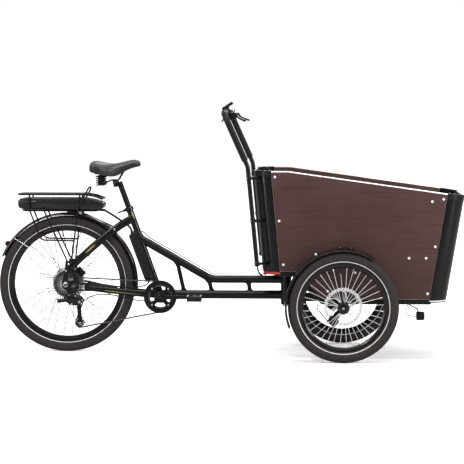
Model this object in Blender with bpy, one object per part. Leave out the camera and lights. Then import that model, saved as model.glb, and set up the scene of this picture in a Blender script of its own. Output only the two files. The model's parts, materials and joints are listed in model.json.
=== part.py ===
"""Electric cargo tricycle: a steering two-wheeled box in front, a hub-motor wheel behind.

X points forward, Y to the rider's left and Z up, in metres. The origin lies on the ground,
midway between the rear tyre's back and the box's front edge. Stations along the bike are
distances ahead of the rear axle, and station() turns them into X.
"""
import math

import bmesh
import bpy
from mathutils import Matrix, Vector

for leftover in list(bpy.data.objects):
    bpy.data.objects.remove(leftover, do_unlink=True)

# Fits
GAP = 0.0003               # between pieces that touch
RUN = 0.0005               # between pieces that turn or slide past each other

# Wheels
WHEELBASE = 1.338
TRACK = 0.800
REAR_TYRE_R = 0.331
REAR_TYRE_W = 0.052
REAR_TYRE_H = 0.048
REAR_RIM_DEPTH = 0.026
FRONT_TYRE_R = 0.258
FRONT_TYRE_W = 0.054
FRONT_TYRE_H = 0.051
FRONT_RIM_DEPTH = 0.020
RIM_W = 0.032
SPOKES = 36
SPOKE_R = 0.0011

# Rear hub, brake and gears
MOTOR_R = 0.060
MOTOR_W = 0.056
MOTOR_OFFSET = 0.010       # the motor's middle, towards the left
FLANGE = 0.006
DROPOUT_SPACING = 0.135
DROPOUT_T = 0.006
REAR_AXLE_R = 0.006
REAR_ROTOR_R = 0.080
FRONT_ROTOR_R = 0.090
ROTOR_T = 0.0018
ROTOR_BAND = 0.015
ROTOR_OUT = 0.014          # rear disc, from the motor's left face
FRONT_ROTOR_IN = 0.0421    # front disc, inboard of the wheel's middle
CALIPER_ANGLE = 235.0      # of the front calipers, degrees round the axle
COG_TEETH = (11, 13, 15, 17, 20, 24, 28, 34)
CHAIN_COG = 3              # the cog that carries the chain
COG_PITCH = 0.0048
COG_T = 0.0018
CHAIN_PITCH = 0.0127
CHAIN_H = 0.008
CHAIN_W = 0.007
CHAINLINE = 0.0475
RING_TEETH = 36
PULLEY_TEETH = 11
PULLEY_AHEAD = 0.060       # the guide pulley, ahead of the rear axle
PULLEY_BELOW = 0.0785
CAGE_DROP = 0.1090         # from the guide pulley to the tension pulley
CAGE_FORWARD = 0.007
KNUCKLE_L = 0.104          # derailleur's body and adjuster, end to end

# Cranks
CRANK_LENGTH = 0.170
CRANK_W = 0.026
CRANK_T = 0.014
GUARD_TO_SEAT_TUBE = 0.06326   # from the rear mudguard to the seat tube's middle
BB_DROP = 0.059
BB_SHELL_R = 0.022
BB_SHELL_W = 0.073
BB_CUP_R = 0.0172
SPINDLE_R = 0.0085
PEDAL_PIN_R = 0.0045
GUARD_R = 0.080
GUARD_T = 0.003
GUARD_BAND = 0.020
SPIDER_ARMS = 4
PEDAL_L = 0.070
PEDAL_W = 0.094
PEDAL_H = 0.028
PEDAL_Y = 0.080            # its inner end, from the middle

# Frame
SEAT_LEAN = math.radians(20.0)
SEAT_TUBE_R = 0.0165
SEAT_TUBE_L = 0.460
UPPER_TUBE_R = 0.019
LOWER_TUBE_R = 0.021
LOWER_TUBE_RISE = 0.008    # above the bottom bracket
TUBE_SPACING = 0.0745      # between the level stretches of the two main tubes
UPPER_BEND_AHEAD = 0.699
UPPER_SLOPE = math.radians(30.0)
STRUT_W = 0.020
STRUT_FLARE = 0.036
STRUTS = ((0.533, 0.572), (0.689, 0.706), (0.881, 0.891))
KINGPIN_AHEAD = 1.0635
HEAD_R = 0.025
HEAD_H = 0.139
HEAD_BELOW = 0.0125        # the head tube's foot, under the lower tube
KINGPIN_R = 0.0125
CUP_FLANGE = 0.004
STAY_H = (0.040, 0.031)    # seat stay, at its top and its foot
CHAINSTAY_H = (0.034, 0.026)
STAY_W = 0.016
STAY_BELOW_TOP = 0.060     # where the seat stays meet the seat tube, under its top
STAY_BULGE = 0.014         # of the seat stays, above a straight line
BRIDGE_SHARE = 0.80        # of the seat stays' length, at the mudguard's bridge
DROPOUT = ((-0.018, 0.012), (-0.016, -0.018), (0.004, -0.030), (0.026, -0.052), (0.036, -0.052),
           (0.040, -0.032), (0.135, -0.032), (0.135, 0.000), (0.070, 0.012), (0.042, 0.070),
           (0.034, 0.115), (0.000, 0.115), (-0.004, 0.065))

# Seat
POST_R = 0.0136
POST_INSIDE = 0.130
POST_OUTSIDE = 0.130
POST_TRAVEL = 0.040
CLAMP_R = 0.013
SADDLE_L = 0.243
HEAD_BACK = 0.017          # seat clamp's middle, behind the post's top
HEAD_RISE = 0.002
HEAD_DROP = 0.028          # clamp's block, under its middle
SADDLE_NOSE_AHEAD = 0.120  # of the seat clamp
SADDLE_H = 0.104           # top over the seat clamp
SADDLE_DEPTH = 0.080       # crown to skirt
SADDLE_W = 0.196
RAIL_R = 0.0035
RAIL_SPREAD = 0.022
RAIL_RISE = 0.006          # over the seat clamp's middle
RAIL_ANCHOR = (0.040, 0.018, 0.052)    # front end, from the seat clamp
RAIL_BENDS = (0.014, -0.022)           # ends of the level stretch, from the seat clamp
SPRING_WIRE_R = 0.003
SPRING_R = 0.0195
SPRING_TURNS = 4
SPRING_POINTS = 9          # per turn
SPRING_SPREAD = 0.050
SPRING_H = 0.046
SPRING_BACK = 0.071        # behind the seat clamp
SPRING_DROP = 0.013        # their seats, under the seat clamp
SPRING_RIM = 0.002         # of their seats, beyond the springs

# Controller case
CASE_W = 0.060
CASE_TO_GUARD = 0.0173
CASE_FOOT = 0.088          # up the seat tube from the bottom bracket
CASE_OVER_TUBE = 0.047     # its top, above where the upper tube meets the seat tube

# Rear mudguard
MUDGUARD_GAP = 0.015
MUDGUARD_W = 0.060
MUDGUARD_T = 0.002
MUDGUARD_FROM = -5.0       # degrees above the horizontal, ahead of the axle
MUDGUARD_TO = 157.0
MUDGUARD_STEPS = 20
STAY_WIRE_R = 0.002

# Tail light
TAIL_AT = 146.0            # degrees round the mudguard
TAIL_W = 0.031
TAIL_H = 0.022
TAIL_D = 0.008

# Rack and battery
RACK_REAR = -0.234
RACK_FRONT = 0.180
RACK_NOSE_DROP = 0.022
RACK_NOSE_L = 0.085
RACK_TUBE_R = 0.005
RACK_CLEARANCE = 0.0116    # platform tube's middle over the battery
RISER_REAR = -0.175
RISER_FRONT = 0.070
RACK_STAY_Y = 0.044
RACK_STAY_R = 0.004
RACK_STAY_SHARE = 0.689    # of the seat stays' length, where it meets them
CLIP_UP = 0.016            # the clip's hinge, over the dock
CLIP_WIRE_R = 0.004
BATTERY_L = 0.420
BATTERY_W = 0.110
BATTERY_H = 0.057
BATTERY_OVER_TYRE = 0.031
DOCK_H = 0.008

# Box
BOX_TO_WHEEL = 0.080       # from its side to the front wheel's middle
PLY = 0.009
CORNER_R = 0.083
CORNER_STEPS = 6
BOX_REAR_AHEAD = 0.9583    # outer rear face, at the raised floor
BOX_FRONT_AHEAD = 1.8238   # outer front face, at the low floor
REAR_LEAN = math.radians(5.2)
FRONT_LEAN = math.radians(9.5)
REAR_WALL_H = 0.470
TOP_SLOPE = math.radians(7.92)
TOP_LEVEL_L = 0.079        # level part of the side's top edge, before it slopes
LOW_FLOOR_OVER_AXLE = 0.032
STEP_AHEAD = 1.1145        # where the raised floor starts down
STEP_RUN = 0.130
BENCH_OVER_FLOOR = 0.198
BENCH_AHEAD = 1.585
BENCH_DEPTH = 0.200
REFLECTOR_H = 0.016

# Subframe
RAIL_W = 0.030
RAIL_H = 0.024
BEAM = 0.040
BEAM_INSET = 0.055         # axle beam's end, inboard of the wheel's middle
PLATE_T = 0.008
PLATE_OVERLAP = 0.0035     # of the head plate into the cross rail
STUB_R = 0.0075

# Front mudguards
FENDER_GAP = 0.015
FENDER_T = 0.0025
FENDER_W = 0.062
FENDER_FROM = 58.0
FENDER_TO = 201.0

# Handlebar, over the raised floor
BAR_R = 0.0105
BAR_HALF_W = 0.335
BAR_FOOT = (0.9353, 0.026)
BAR_BEND = (0.8907, 0.491)
BAR_TOP = (0.7790, 0.740)
BEND_R = 0.080
ELBOW_R = 0.060
CLIP_R = 0.007
GRIP_R = 0.0145
GRIP_START = 0.030         # beyond the bend
GRIP_BARE = 0.125          # half the bare middle of the crossbar
CLIP_HEIGHTS = (0.0365, 0.2375, 0.437)
LEVER_AT = 0.100           # of the lever clamps, from the middle
LEVER_REACH = 0.042
LEVER_L = 0.135
LEVER_FALL = 0.028         # lever's tip, under its pivot

# Headlight
LAMP = 0.040
LAMP_AHEAD = 1.7135
LAMP_DROP = 0.090          # lamp's middle under the subframe

# Bell and display
BELL_AXIS = Vector((0.95, 0, 0.30)).normalized()
DISPLAY_RISE = 0.030
DISPLAY_TILT = 34.0

# Derived stations, heights and radii
BOX_W = TRACK - 2 * BOX_TO_WHEEL
MUDGUARD_R = REAR_TYRE_R + MUDGUARD_GAP
BB_AHEAD = (MUDGUARD_R + GUARD_TO_SEAT_TUBE + BB_DROP * math.sin(SEAT_LEAN)) / math.cos(SEAT_LEAN)
REAR_AXLE_Z = REAR_TYRE_R
FRONT_AXLE_Z = FRONT_TYRE_R
BB_Z = REAR_AXLE_Z - BB_DROP
LOWER_TUBE_Z = BB_Z + LOWER_TUBE_RISE
UPPER_TUBE_Z = LOWER_TUBE_Z + TUBE_SPACING
HEAD_FOOT_Z = LOWER_TUBE_Z - LOWER_TUBE_R - HEAD_BELOW
HEAD_TOP_Z = HEAD_FOOT_Z + HEAD_H
UPPER_PLATE_Z = HEAD_TOP_Z + CUP_FLANGE + 2 * GAP
RAISED_FLOOR_Z = UPPER_PLATE_Z + PLATE_T - PLATE_OVERLAP + RAIL_H + GAP
LOW_FLOOR_Z = FRONT_AXLE_Z + LOW_FLOOR_OVER_AXLE
BOX_TOP_Z = RAISED_FLOOR_Z + REAR_WALL_H
TOP_SLOPE_AHEAD = BOX_REAR_AHEAD - REAR_WALL_H * math.tan(REAR_LEAN) + CORNER_R + TOP_LEVEL_L


def top_edge(ahead, foot_z, lean):
    """Where a wall line that leans forward from (ahead, foot_z) meets the box's top edge."""
    slope, run = math.tan(TOP_SLOPE), math.tan(lean)
    level = ahead + (BOX_TOP_Z - foot_z) * run
    if level <= TOP_SLOPE_AHEAD:
        return level, BOX_TOP_Z
    rise = (BOX_TOP_Z - foot_z - slope * (ahead - TOP_SLOPE_AHEAD)) / (1 + slope * run)
    return ahead + rise * run, foot_z + rise


BOX_REACH = top_edge(BOX_FRONT_AHEAD, LOW_FLOOR_Z, FRONT_LEAN)[0]
REAR_AXLE_X = (REAR_TYRE_R - BOX_REACH) / 2


def station(ahead):
    return REAR_AXLE_X + ahead


FRONT_AXLE_X = station(WHEELBASE)
BB_X = station(BB_AHEAD)
KINGPIN_X = station(KINGPIN_AHEAD)


def pitch_radius(teeth):
    return CHAIN_PITCH / (2 * math.sin(math.pi / teeth))


def cog_radius(teeth):
    """A cog's body under the chain, its teeth left off."""
    return pitch_radius(teeth) - CHAIN_H / 2 - RUN


def seat_axis(distance):
    """Point on the seat tube's axis, up from the bottom bracket."""
    return Vector((BB_X - distance * math.sin(SEAT_LEAN), 0, BB_Z + distance * math.cos(SEAT_LEAN)))


def upper_tube_z(ahead):
    return UPPER_TUBE_Z + max(0.0, UPPER_BEND_AHEAD - ahead) * math.tan(UPPER_SLOPE)


REAR_HUB = Vector((REAR_AXLE_X, 0, REAR_AXLE_Z))
CRANK_HUB = Vector((BB_X, 0, BB_Z))
FRONT_HUB = Vector((FRONT_AXLE_X, 0, FRONT_AXLE_Z))

# Rear frame, from the axle and the seat tube
SEAT_UP = (seat_axis(1) - seat_axis(0)).normalized()
SEAT_BACK = Vector((-SEAT_UP.z, 0, SEAT_UP.x))
SEAT_MEETS = (math.tan(UPPER_SLOPE) * (UPPER_BEND_AHEAD - BB_AHEAD) + UPPER_TUBE_Z - BB_Z) / (
    math.cos(SEAT_LEAN) - math.sin(SEAT_LEAN) * math.tan(UPPER_SLOPE))
STAY_TOP = SEAT_TUBE_L - STAY_BELOW_TOP
DROPOUT_IN = DROPOUT_SPACING / 2
DROPOUT_OUT = DROPOUT_IN + DROPOUT_T
DROPOUT_Y = (DROPOUT_IN + DROPOUT_OUT) / 2
CASE_TOP = SEAT_MEETS + CASE_OVER_TUBE
CASE_D = GUARD_TO_SEAT_TUBE - CASE_TO_GUARD

# Rear hub and gears
ROTOR_Y = MOTOR_OFFSET + MOTOR_W / 2 + ROTOR_OUT
COG_IN = CHAINLINE - (len(COG_TEETH) - 1 - CHAIN_COG) * COG_PITCH - COG_T / 2
GUIDE = Vector((REAR_AXLE_X + PULLEY_AHEAD, -CHAINLINE, REAR_AXLE_Z - PULLEY_BELOW))
TENSION = GUIDE + Vector((CAGE_FORWARD, 0, -CAGE_DROP))

# Rack and battery
BATTERY_FOOT_Z = 2 * REAR_TYRE_R + BATTERY_OVER_TYRE
DOCK_Z = BATTERY_FOOT_Z - GAP
RACK_TOP_Z = BATTERY_FOOT_Z + BATTERY_H + RACK_CLEARANCE + RACK_TUBE_R
RACK_HALF_W = BATTERY_W / 2 + RACK_TUBE_R + 0.0015
STRUT_R = 0.8 * RACK_TUBE_R
CLIP_OUT = RACK_TUBE_R + 0.005

# Seat
POST_TOP = SEAT_TUBE_L + POST_OUTSIDE
SEAT_HEAD = seat_axis(POST_TOP) + Vector((-HEAD_BACK, 0, HEAD_RISE))
RAIL_Z = SEAT_HEAD.z + RAIL_RISE
SPRING_X = SEAT_HEAD.x - SPRING_BACK
SPRING_FOOT_Z = SEAT_HEAD.z - SPRING_DROP
FLEX_AT = SEAT_HEAD + Vector((RAIL_ANCHOR[0], 0, RAIL_ANCHOR[2]))

# Box and subframe
HALF = BOX_W / 2
STEP_FOOT_AHEAD = STEP_AHEAD + STEP_RUN
RAIL_OUTER = HALF - 0.002
BEAM_END = TRACK / 2 - BEAM_INSET
HEAD_PLATE_TOP = HEAD_FOOT_Z - CUP_FLANGE - 2 * GAP     # of the lower head plate


# Plain solids, each a pair of points and faces

def loft(rings, closed=False):
    """Skin through rings of equal length, capped at both ends unless it closes on itself."""
    size = len(rings[0])
    points = [Vector(p) for ring in rings for p in ring]
    faces = []
    spans = len(rings) if closed else len(rings) - 1
    for i in range(spans):
        here, there = i * size, (i + 1) % len(rings) * size
        for j in range(size):
            k = (j + 1) % size
            faces.append((here + j, here + k, there + k, there + j))
    if not closed:
        faces.append(tuple(range(size)))
        faces.append(tuple(range((len(rings) - 1) * size, len(rings) * size)))
    return points, faces


def prism(outline, low, high, axis="Y"):
    """Extrude an outline: (x, z) along Y, (x, y) along Z or (y, z) along X."""
    place = {"X": lambda a, b, t: (t, a, b), "Y": lambda a, b, t: (a, t, b),
             "Z": lambda a, b, t: (a, b, t)}[axis]
    return loft([[place(a, b, t) for a, b in outline] for t in (low, high)])


def block(x, y, z):
    """Box from three (low, high) pairs."""
    return prism([(x[0], z[0]), (x[1], z[0]), (x[1], z[1]), (x[0], z[1])], y[0], y[1])


def basis(axis):
    """Two unit vectors square to an axis: X and Z for an axis along Y."""
    axis = Vector(axis).normalized()
    first = Vector((1, 0, 0)) if abs(axis.x) < 0.9 else Vector((0, 1, 0))
    first = (first - axis * first.dot(axis)).normalized()
    return first, first.cross(axis)


def circle(centre, axis, radius, sides):
    """Ring of points with a flat towards each axis direction."""
    u, v = basis(axis)
    angles = [(k + 0.5) * 2 * math.pi / sides for k in range(sides)]
    return [Vector(centre) + u * radius * math.cos(a) + v * radius * math.sin(a) for a in angles]


def to_flats(radius, sides):
    """Corner radius of a polygon whose flats lie at the given radius."""
    return radius / math.cos(math.pi / sides)


def turned(profile, centre, axis=(0, 1, 0), sides=16):
    """Solid turned about an axis from (radius, offset) points, capped at both ends."""
    along = Vector(axis).normalized()
    return loft([circle(Vector(centre) + along * t, axis, r, sides) for r, t in profile])


def hoop(profile, centre, axis=(0, 1, 0), sides=24):
    """Ring turned about an axis from a closed (radius, offset) outline round its own middle."""
    along = Vector(axis).normalized()
    rings = [circle(Vector(centre) + along * t, axis, r, sides) for r, t in profile]
    return loft([[ring[k] for ring in rings] for k in range(sides)], closed=True)


def washer(inner, outer, centre, low, high, axis=(0, 1, 0), sides=24):
    hole = to_flats(inner, sides)
    return hoop([(hole, low), (outer, low), (outer, high), (hole, high)], centre, axis, sides)


def rod(start, end, radius, sides=8):
    axis = Vector(end) - Vector(start)
    return loft([circle(start, axis, radius, sides), circle(end, axis, radius, sides)])


def oval(half_w, half_h, sides):
    angles = [(k + 0.5) * 2 * math.pi / sides for k in range(sides)]
    return [(half_w * math.cos(a), half_h * math.sin(a)) for a in angles]


def swept(path, sections, side=None, closed=False):
    """Sweep (u, v) sections along a path; u follows a fixed side direction or is carried along."""
    path = [Vector(p) for p in path]
    count = len(path)
    rings, carried = [], None
    for i, here in enumerate(path):
        before = path[i - 1] if closed or i else None
        after = path[(i + 1) % count] if closed or i < count - 1 else None
        ahead = (after - here).normalized() if after is not None else (here - before).normalized()
        behind = (here - before).normalized() if before is not None else ahead
        along = (ahead + behind).normalized()
        stretch = 1 / max(along.dot(ahead), 0.5)
        if side is not None:
            u = Vector(side)
        elif carried is None:
            u = basis(along)[0]
        else:
            u = carried
        u = (u - along * u.dot(along)).normalized()
        carried = u
        v = along.cross(u) * (stretch if side is not None else 1)
        section = sections[i] if isinstance(sections[0], list) else sections
        rings.append([here + u * a + v * b for a, b in section])
    return loft(rings, closed)


def tube(path, radius, sides=8):
    return swept(path, oval(radius, radius, sides))


def pipe(path, inner, outer, sides=10):
    """Hollow tube along a path, open at both ends."""
    skins = [swept(path, oval(r, r, sides)) for r in (inner, outer)]
    (bore, faces), (skin, _) = skins
    size = len(bore)
    walls = faces[:-2] + [tuple(i + size for i in face) for face in faces[:-2]]
    for end in (0, size - sides):
        for j in range(sides):
            k = (j + 1) % sides
            walls.append((end + j, end + k, end + k + size, end + j + size))
    return bore + skin, walls


def eased(corners, radius, steps=4):
    """Path through corners, each inner one replaced by an arc."""
    corners = [Vector(c) for c in corners]
    path = [corners[0]]
    for a, b, c in zip(corners, corners[1:], corners[2:]):
        back, on = (a - b).normalized(), (c - b).normalized()
        half = back.angle(on) / 2
        cut = radius / math.tan(half)
        centre = b + (back + on).normalized() * radius / math.sin(half)
        first, last = b + back * cut - centre, b + on * cut - centre
        turn = first.angle(last)
        for i in range(steps + 1):
            t = i / steps
            mix = first * math.sin((1 - t) * turn) + last * math.sin(t * turn)
            path.append(centre + mix / math.sin(turn))
    path.append(corners[-1])
    return path


def smooth(points, per_span=3):
    """Catmull-Rom curve through hand-set points."""
    points = [Vector(p) for p in points]
    points = [points[0] * 2 - points[1]] + points + [points[-1] * 2 - points[-2]]
    path = []
    for a, b, c, d in zip(points, points[1:], points[2:], points[3:]):
        for i in range(per_span):
            t = i / per_span
            path.append(0.5 * (2 * b + (c - a) * t + (2 * a - 5 * b + 4 * c - d) * t * t
                               + (3 * b - a - 3 * c + d) * t ** 3))
    return path + [points[-2]]


def spun(solid, centre, degrees):
    """Turn a solid about the Y direction through a centre, counter-clockwise from the right."""
    turn = Matrix.Rotation(-math.radians(degrees), 4, "Y")
    return [turn @ (p - Vector(centre)) + Vector(centre) for p in solid[0]], solid[1]


def to_mesh(name, solids):
    mesh = bpy.data.meshes.new(name)
    body = bmesh.new()
    for points, faces in solids:
        made = [body.verts.new(p) for p in points]
        for face in faces:
            body.faces.new([made[i] for i in face])
    bmesh.ops.recalc_face_normals(body, faces=body.faces)
    body.to_mesh(mesh)
    body.free()
    return mesh


def combine(first, others, operation):
    """Exact Boolean of one solid with others, in turn."""
    base = bpy.data.objects.new("base", to_mesh("base", [first]))
    bpy.context.scene.collection.objects.link(base)
    tools = []
    for other in others:
        tool = bpy.data.objects.new("tool", to_mesh("tool", [other]))
        bpy.context.scene.collection.objects.link(tool)
        change = base.modifiers.new("change", "BOOLEAN")
        change.operation = operation
        change.solver = "EXACT"
        change.object = tool
        tools.append(tool)
    graph = bpy.context.evaluated_depsgraph_get()
    mesh = base.evaluated_get(graph).to_mesh()
    points = [v.co.copy() for v in mesh.vertices]
    faces = [tuple(p.vertices) for p in mesh.polygons]
    for obj in [base] + tools:
        bpy.data.objects.remove(obj, do_unlink=True)
    return points, faces


def fuse(*solids):
    return combine(solids[0], solids[1:], "UNION")


def cut(solid, *cutters):
    return combine(solid, cutters, "DIFFERENCE")


def common(solid, other):
    return combine(solid, [other], "INTERSECT")


# Finishes: colour, roughness, metallic
FINISHES = {
    "frame_black": ((0.012, 0.012, 0.013), 0.35, 0.0),
    "satin_black": ((0.020, 0.020, 0.021), 0.50, 0.0),
    "plastic": ((0.015, 0.015, 0.016), 0.45, 0.0),
    "gloss_black": ((0.008, 0.008, 0.009), 0.15, 0.0),
    "tyre": ((0.030, 0.026, 0.025), 0.85, 0.0),
    "rubber": ((0.025, 0.025, 0.026), 0.75, 0.0),
    "plywood": ((0.072, 0.036, 0.034), 0.40, 0.0),
    "steel": ((0.55, 0.55, 0.56), 0.30, 1.0),
    "aluminium": ((0.60, 0.60, 0.61), 0.35, 1.0),
    "saddle": ((0.022, 0.022, 0.023), 0.42, 0.0),
    "red_lens": ((0.55, 0.01, 0.015), 0.20, 0.0),
    "screen": ((0.020, 0.022, 0.024), 0.12, 0.0),
}


def finish_of(name):
    """Material of a finish, made once."""
    if name in bpy.data.materials:
        return bpy.data.materials[name]
    colour, roughness, metallic = FINISHES[name]
    material = bpy.data.materials.new(name)
    material.use_nodes = True
    shader = material.node_tree.nodes["Principled BSDF"]
    shader.inputs["Base Color"].default_value = (*colour, 1.0)
    shader.inputs["Roughness"].default_value = roughness
    shader.inputs["Metallic"].default_value = metallic
    return material


def pivot(name, at):
    """Empty on a joint's axis, which carries a moving body's pieces."""
    empty = bpy.data.objects.new(name, None)
    empty.location = at
    bpy.context.scene.collection.objects.link(empty)
    return empty


def add(name, solids, finish, carrier=None, bevel=0.0):
    """Make one named piece from solids in world coordinates."""
    mesh = to_mesh(name, solids)
    mesh.shade_smooth()
    mesh.set_sharp_from_angle(angle=math.radians(35))
    mesh.materials.append(finish_of(finish))
    piece = bpy.data.objects.new(name, mesh)
    bpy.context.scene.collection.objects.link(piece)
    if carrier is not None:
        mesh.transform(Matrix.Translation(-carrier.location))
        piece.parent = carrier
    if bevel:
        edge = piece.modifiers.new("edge", "BEVEL")
        edge.width = bevel
        edge.segments = 2
        edge.limit_method = "ANGLE"
        edge.angle_limit = math.radians(40)
    return piece


# Shared shapes

def on_circle(centre_x, centre_z, radius, degrees, y=0.0):
    angle = math.radians(degrees)
    return Vector((centre_x + radius * math.cos(angle), y, centre_z + radius * math.sin(angle)))


def tyre(centre, radius, width, height, sides):
    """Tyre round its rim, with flats at the ground."""
    bead = radius - height
    shape = [(bead, 0.30), (bead + 0.55 * height, 0.50), (radius, 0.20)]
    outline = [(r, -w) for r, w in shape] + [(r, w) for r, w in reversed(shape)]
    return hoop([(to_flats(r, sides), w * width) for r, w in outline], centre, sides=sides)


def rim(centre, outer, depth, sides):
    inner = outer - depth
    shape = [(inner, 0.26), (outer, 0.50)]
    outline = [(r, -w) for r, w in shape] + [(r, w) for r, w in reversed(shape)]
    return hoop([(to_flats(r, sides), w * RIM_W) for r, w in outline], centre, sides=sides)


def spokes(centre, hub_r, flanges, rim_r, lean, rim_sides, spread=0.0):
    """Spokes from two flanges to the rim, leaning forwards and backwards in turn."""
    wires = []
    facet = 360 / rim_sides
    for k in range(SPOKES):
        at_rim = (k + 0.5) * 360 / SPOKES
        off_flat = (at_rim + facet / 2) % facet - facet / 2
        reach = rim_r / math.cos(math.radians(off_flat)) - 1.5 * GAP
        at_hub = at_rim + lean * (1 if k // 2 % 2 else -1)
        across = spread if k // 2 % 2 else -spread
        near = on_circle(centre[0], centre[2], hub_r - 0.004, at_hub, centre[1] + flanges[k % 2] + across)
        far = on_circle(centre[0], centre[2], reach, at_rim, centre[1] + 0.06 * flanges[k % 2])
        wires.append(rod(near, far, SPOKE_R, 3))
    return wires


def rotor(centre, radius, hole, arms=5, sides=20):
    """Brake disc: a band carried on arms by its middle."""
    half = ROTOR_T / 2
    band = washer(radius - ROTOR_BAND, radius, centre, -half, half, sides=sides)
    middle = washer(hole, hole + 0.010, centre, -half, half, sides=10)
    spans = []
    for k in range(arms):
        angle = k * 360 / arms
        arm = block((centre[0] + hole + 0.004, centre[0] + radius - ROTOR_BAND + 0.004),
                    (centre[1] - 0.8 * half, centre[1] + 0.8 * half),
                    (centre[2] - 0.005, centre[2] + 0.005))
        spans.append(spun(arm, centre, angle))
    return [band, middle] + spans


def caliper(centre, side, degrees, rotor_r, inner, outer, rotor_y):
    """Brake caliper round a disc's edge; inner and outer are distances from the middle."""
    body = block((centre[0] + rotor_r - 0.026, centre[0] + rotor_r + 0.014),
                 sorted((side * inner, side * outer)),
                 (centre[2] - 0.024, centre[2] + 0.024))
    middle = (centre[0], side * rotor_y, centre[2])
    slot = turned([(rotor_r + 0.003, -ROTOR_T), (rotor_r + 0.003, ROTOR_T)], middle, sides=36)
    return cut(spun(body, centre, degrees), slot)


def belt(wheels):
    """Closed path round wheels of (x, z, radius, sense), sense 1 being counter-clockwise."""
    count = len(wheels)
    headings = []
    for i, (x, z, r, s) in enumerate(wheels):
        x2, z2, r2, s2 = wheels[(i + 1) % count]
        across = math.hypot(x2 - x, z2 - z)
        headings.append(math.atan2(z2 - z, x2 - x) + math.asin((s * r - s2 * r2) / across))
    path = []
    for i, (x, z, r, s) in enumerate(wheels):
        start = headings[i - 1] - s * math.pi / 2
        sweep = (s * (headings[i] - headings[i - 1])) % (2 * math.pi)
        steps = max(2, math.ceil(math.degrees(sweep) / 11))
        for k in range(steps + 1):
            angle = start + s * sweep * k / steps
            path.append(Vector((x + r * math.cos(angle), -CHAINLINE, z + r * math.sin(angle))))
    return path


# Rear frame

def main_frame():
    top = seat_axis(SEAT_TUBE_L)
    seat_tube = rod(CRANK_HUB, top, SEAT_TUBE_R, 14)
    down_slope = Vector((math.cos(UPPER_SLOPE), 0, -math.sin(UPPER_SLOPE)))
    meeting = seat_axis(SEAT_MEETS) + down_slope * 0.009
    head_end = Vector((KINGPIN_X, 0, UPPER_TUBE_Z))
    bend = Vector((station(UPPER_BEND_AHEAD), 0, UPPER_TUBE_Z))
    upper = tube(eased([meeting, bend, head_end], 0.10, 3), UPPER_TUBE_R, 10)
    lower = rod((BB_X + 0.004, 0, LOWER_TUBE_Z), (KINGPIN_X, 0, LOWER_TUBE_Z), LOWER_TUBE_R, 12)
    half = BB_SHELL_W / 2
    shell = turned([(BB_SHELL_R, -half), (BB_SHELL_R, half)], CRANK_HUB, sides=20)
    cup_foot, cup_top = HEAD_FOOT_Z - GAP - CUP_FLANGE, HEAD_TOP_Z + GAP + CUP_FLANGE
    head = turned([(HEAD_R - 0.002, cup_foot), (HEAD_R, cup_foot + 0.002), (HEAD_R, cup_top - 0.002),
                   (HEAD_R - 0.002, cup_top)], (KINGPIN_X, 0, 0), (0, 0, 1), 20)
    struts = []
    for above, below in STRUTS:
        start = Vector((station(above), 0, upper_tube_z(above)))
        end = Vector((station(below), 0, LOWER_TUBE_Z))
        shares = (0.0, 0.28, 0.5, 0.72, 1.0)
        flares = (STRUT_FLARE, STRUT_W, STRUT_W, STRUT_W, STRUT_FLARE)
        sections = [oval(STRUT_W / 2, flare / 2, 8) for flare in flares]
        struts.append(swept([start.lerp(end, t) for t in shares], sections, side=(0, 1, 0)))
    welded = fuse(seat_tube, upper, lower, shell, head, *struts)
    bore_end = SEAT_TUBE_L - POST_INSIDE - POST_TRAVEL - 0.010
    post_bore = rod(seat_axis(bore_end), seat_axis(SEAT_TUBE_L + 0.02), to_flats(POST_R + GAP, 16), 16)
    cups = turned([(to_flats(BB_CUP_R + GAP, 20), -half - 0.01), (to_flats(BB_CUP_R + GAP, 20), half + 0.01)],
                  CRANK_HUB, sides=20)
    bore = to_flats(KINGPIN_R + RUN, 20)
    steerer = turned([(bore, cup_foot - 0.01), (bore, cup_top + 0.01)], (KINGPIN_X, 0, 0), (0, 0, 1), 20)
    add("main_frame", [cut(welded, post_bore, cups, steerer)], "frame_black")


def seat_stay_point(share, y):
    """Point on a seat stay, a share of its length up from the dropout."""
    foot = Vector((REAR_AXLE_X + 0.018, 0, REAR_AXLE_Z + 0.080))
    top = seat_axis(STAY_TOP) + Vector((0.004, 0, 0.004))
    bulge = STAY_BULGE if 0 < share < 1 else 0.0
    return foot.lerp(top, share) + Vector((0, y, bulge))


def chain_stay_point(share, y, drop):
    """Point a share of the way from the rear axle to the bottom bracket."""
    return Vector((REAR_AXLE_X + share * BB_AHEAD, y, REAR_AXLE_Z - drop))


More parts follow.
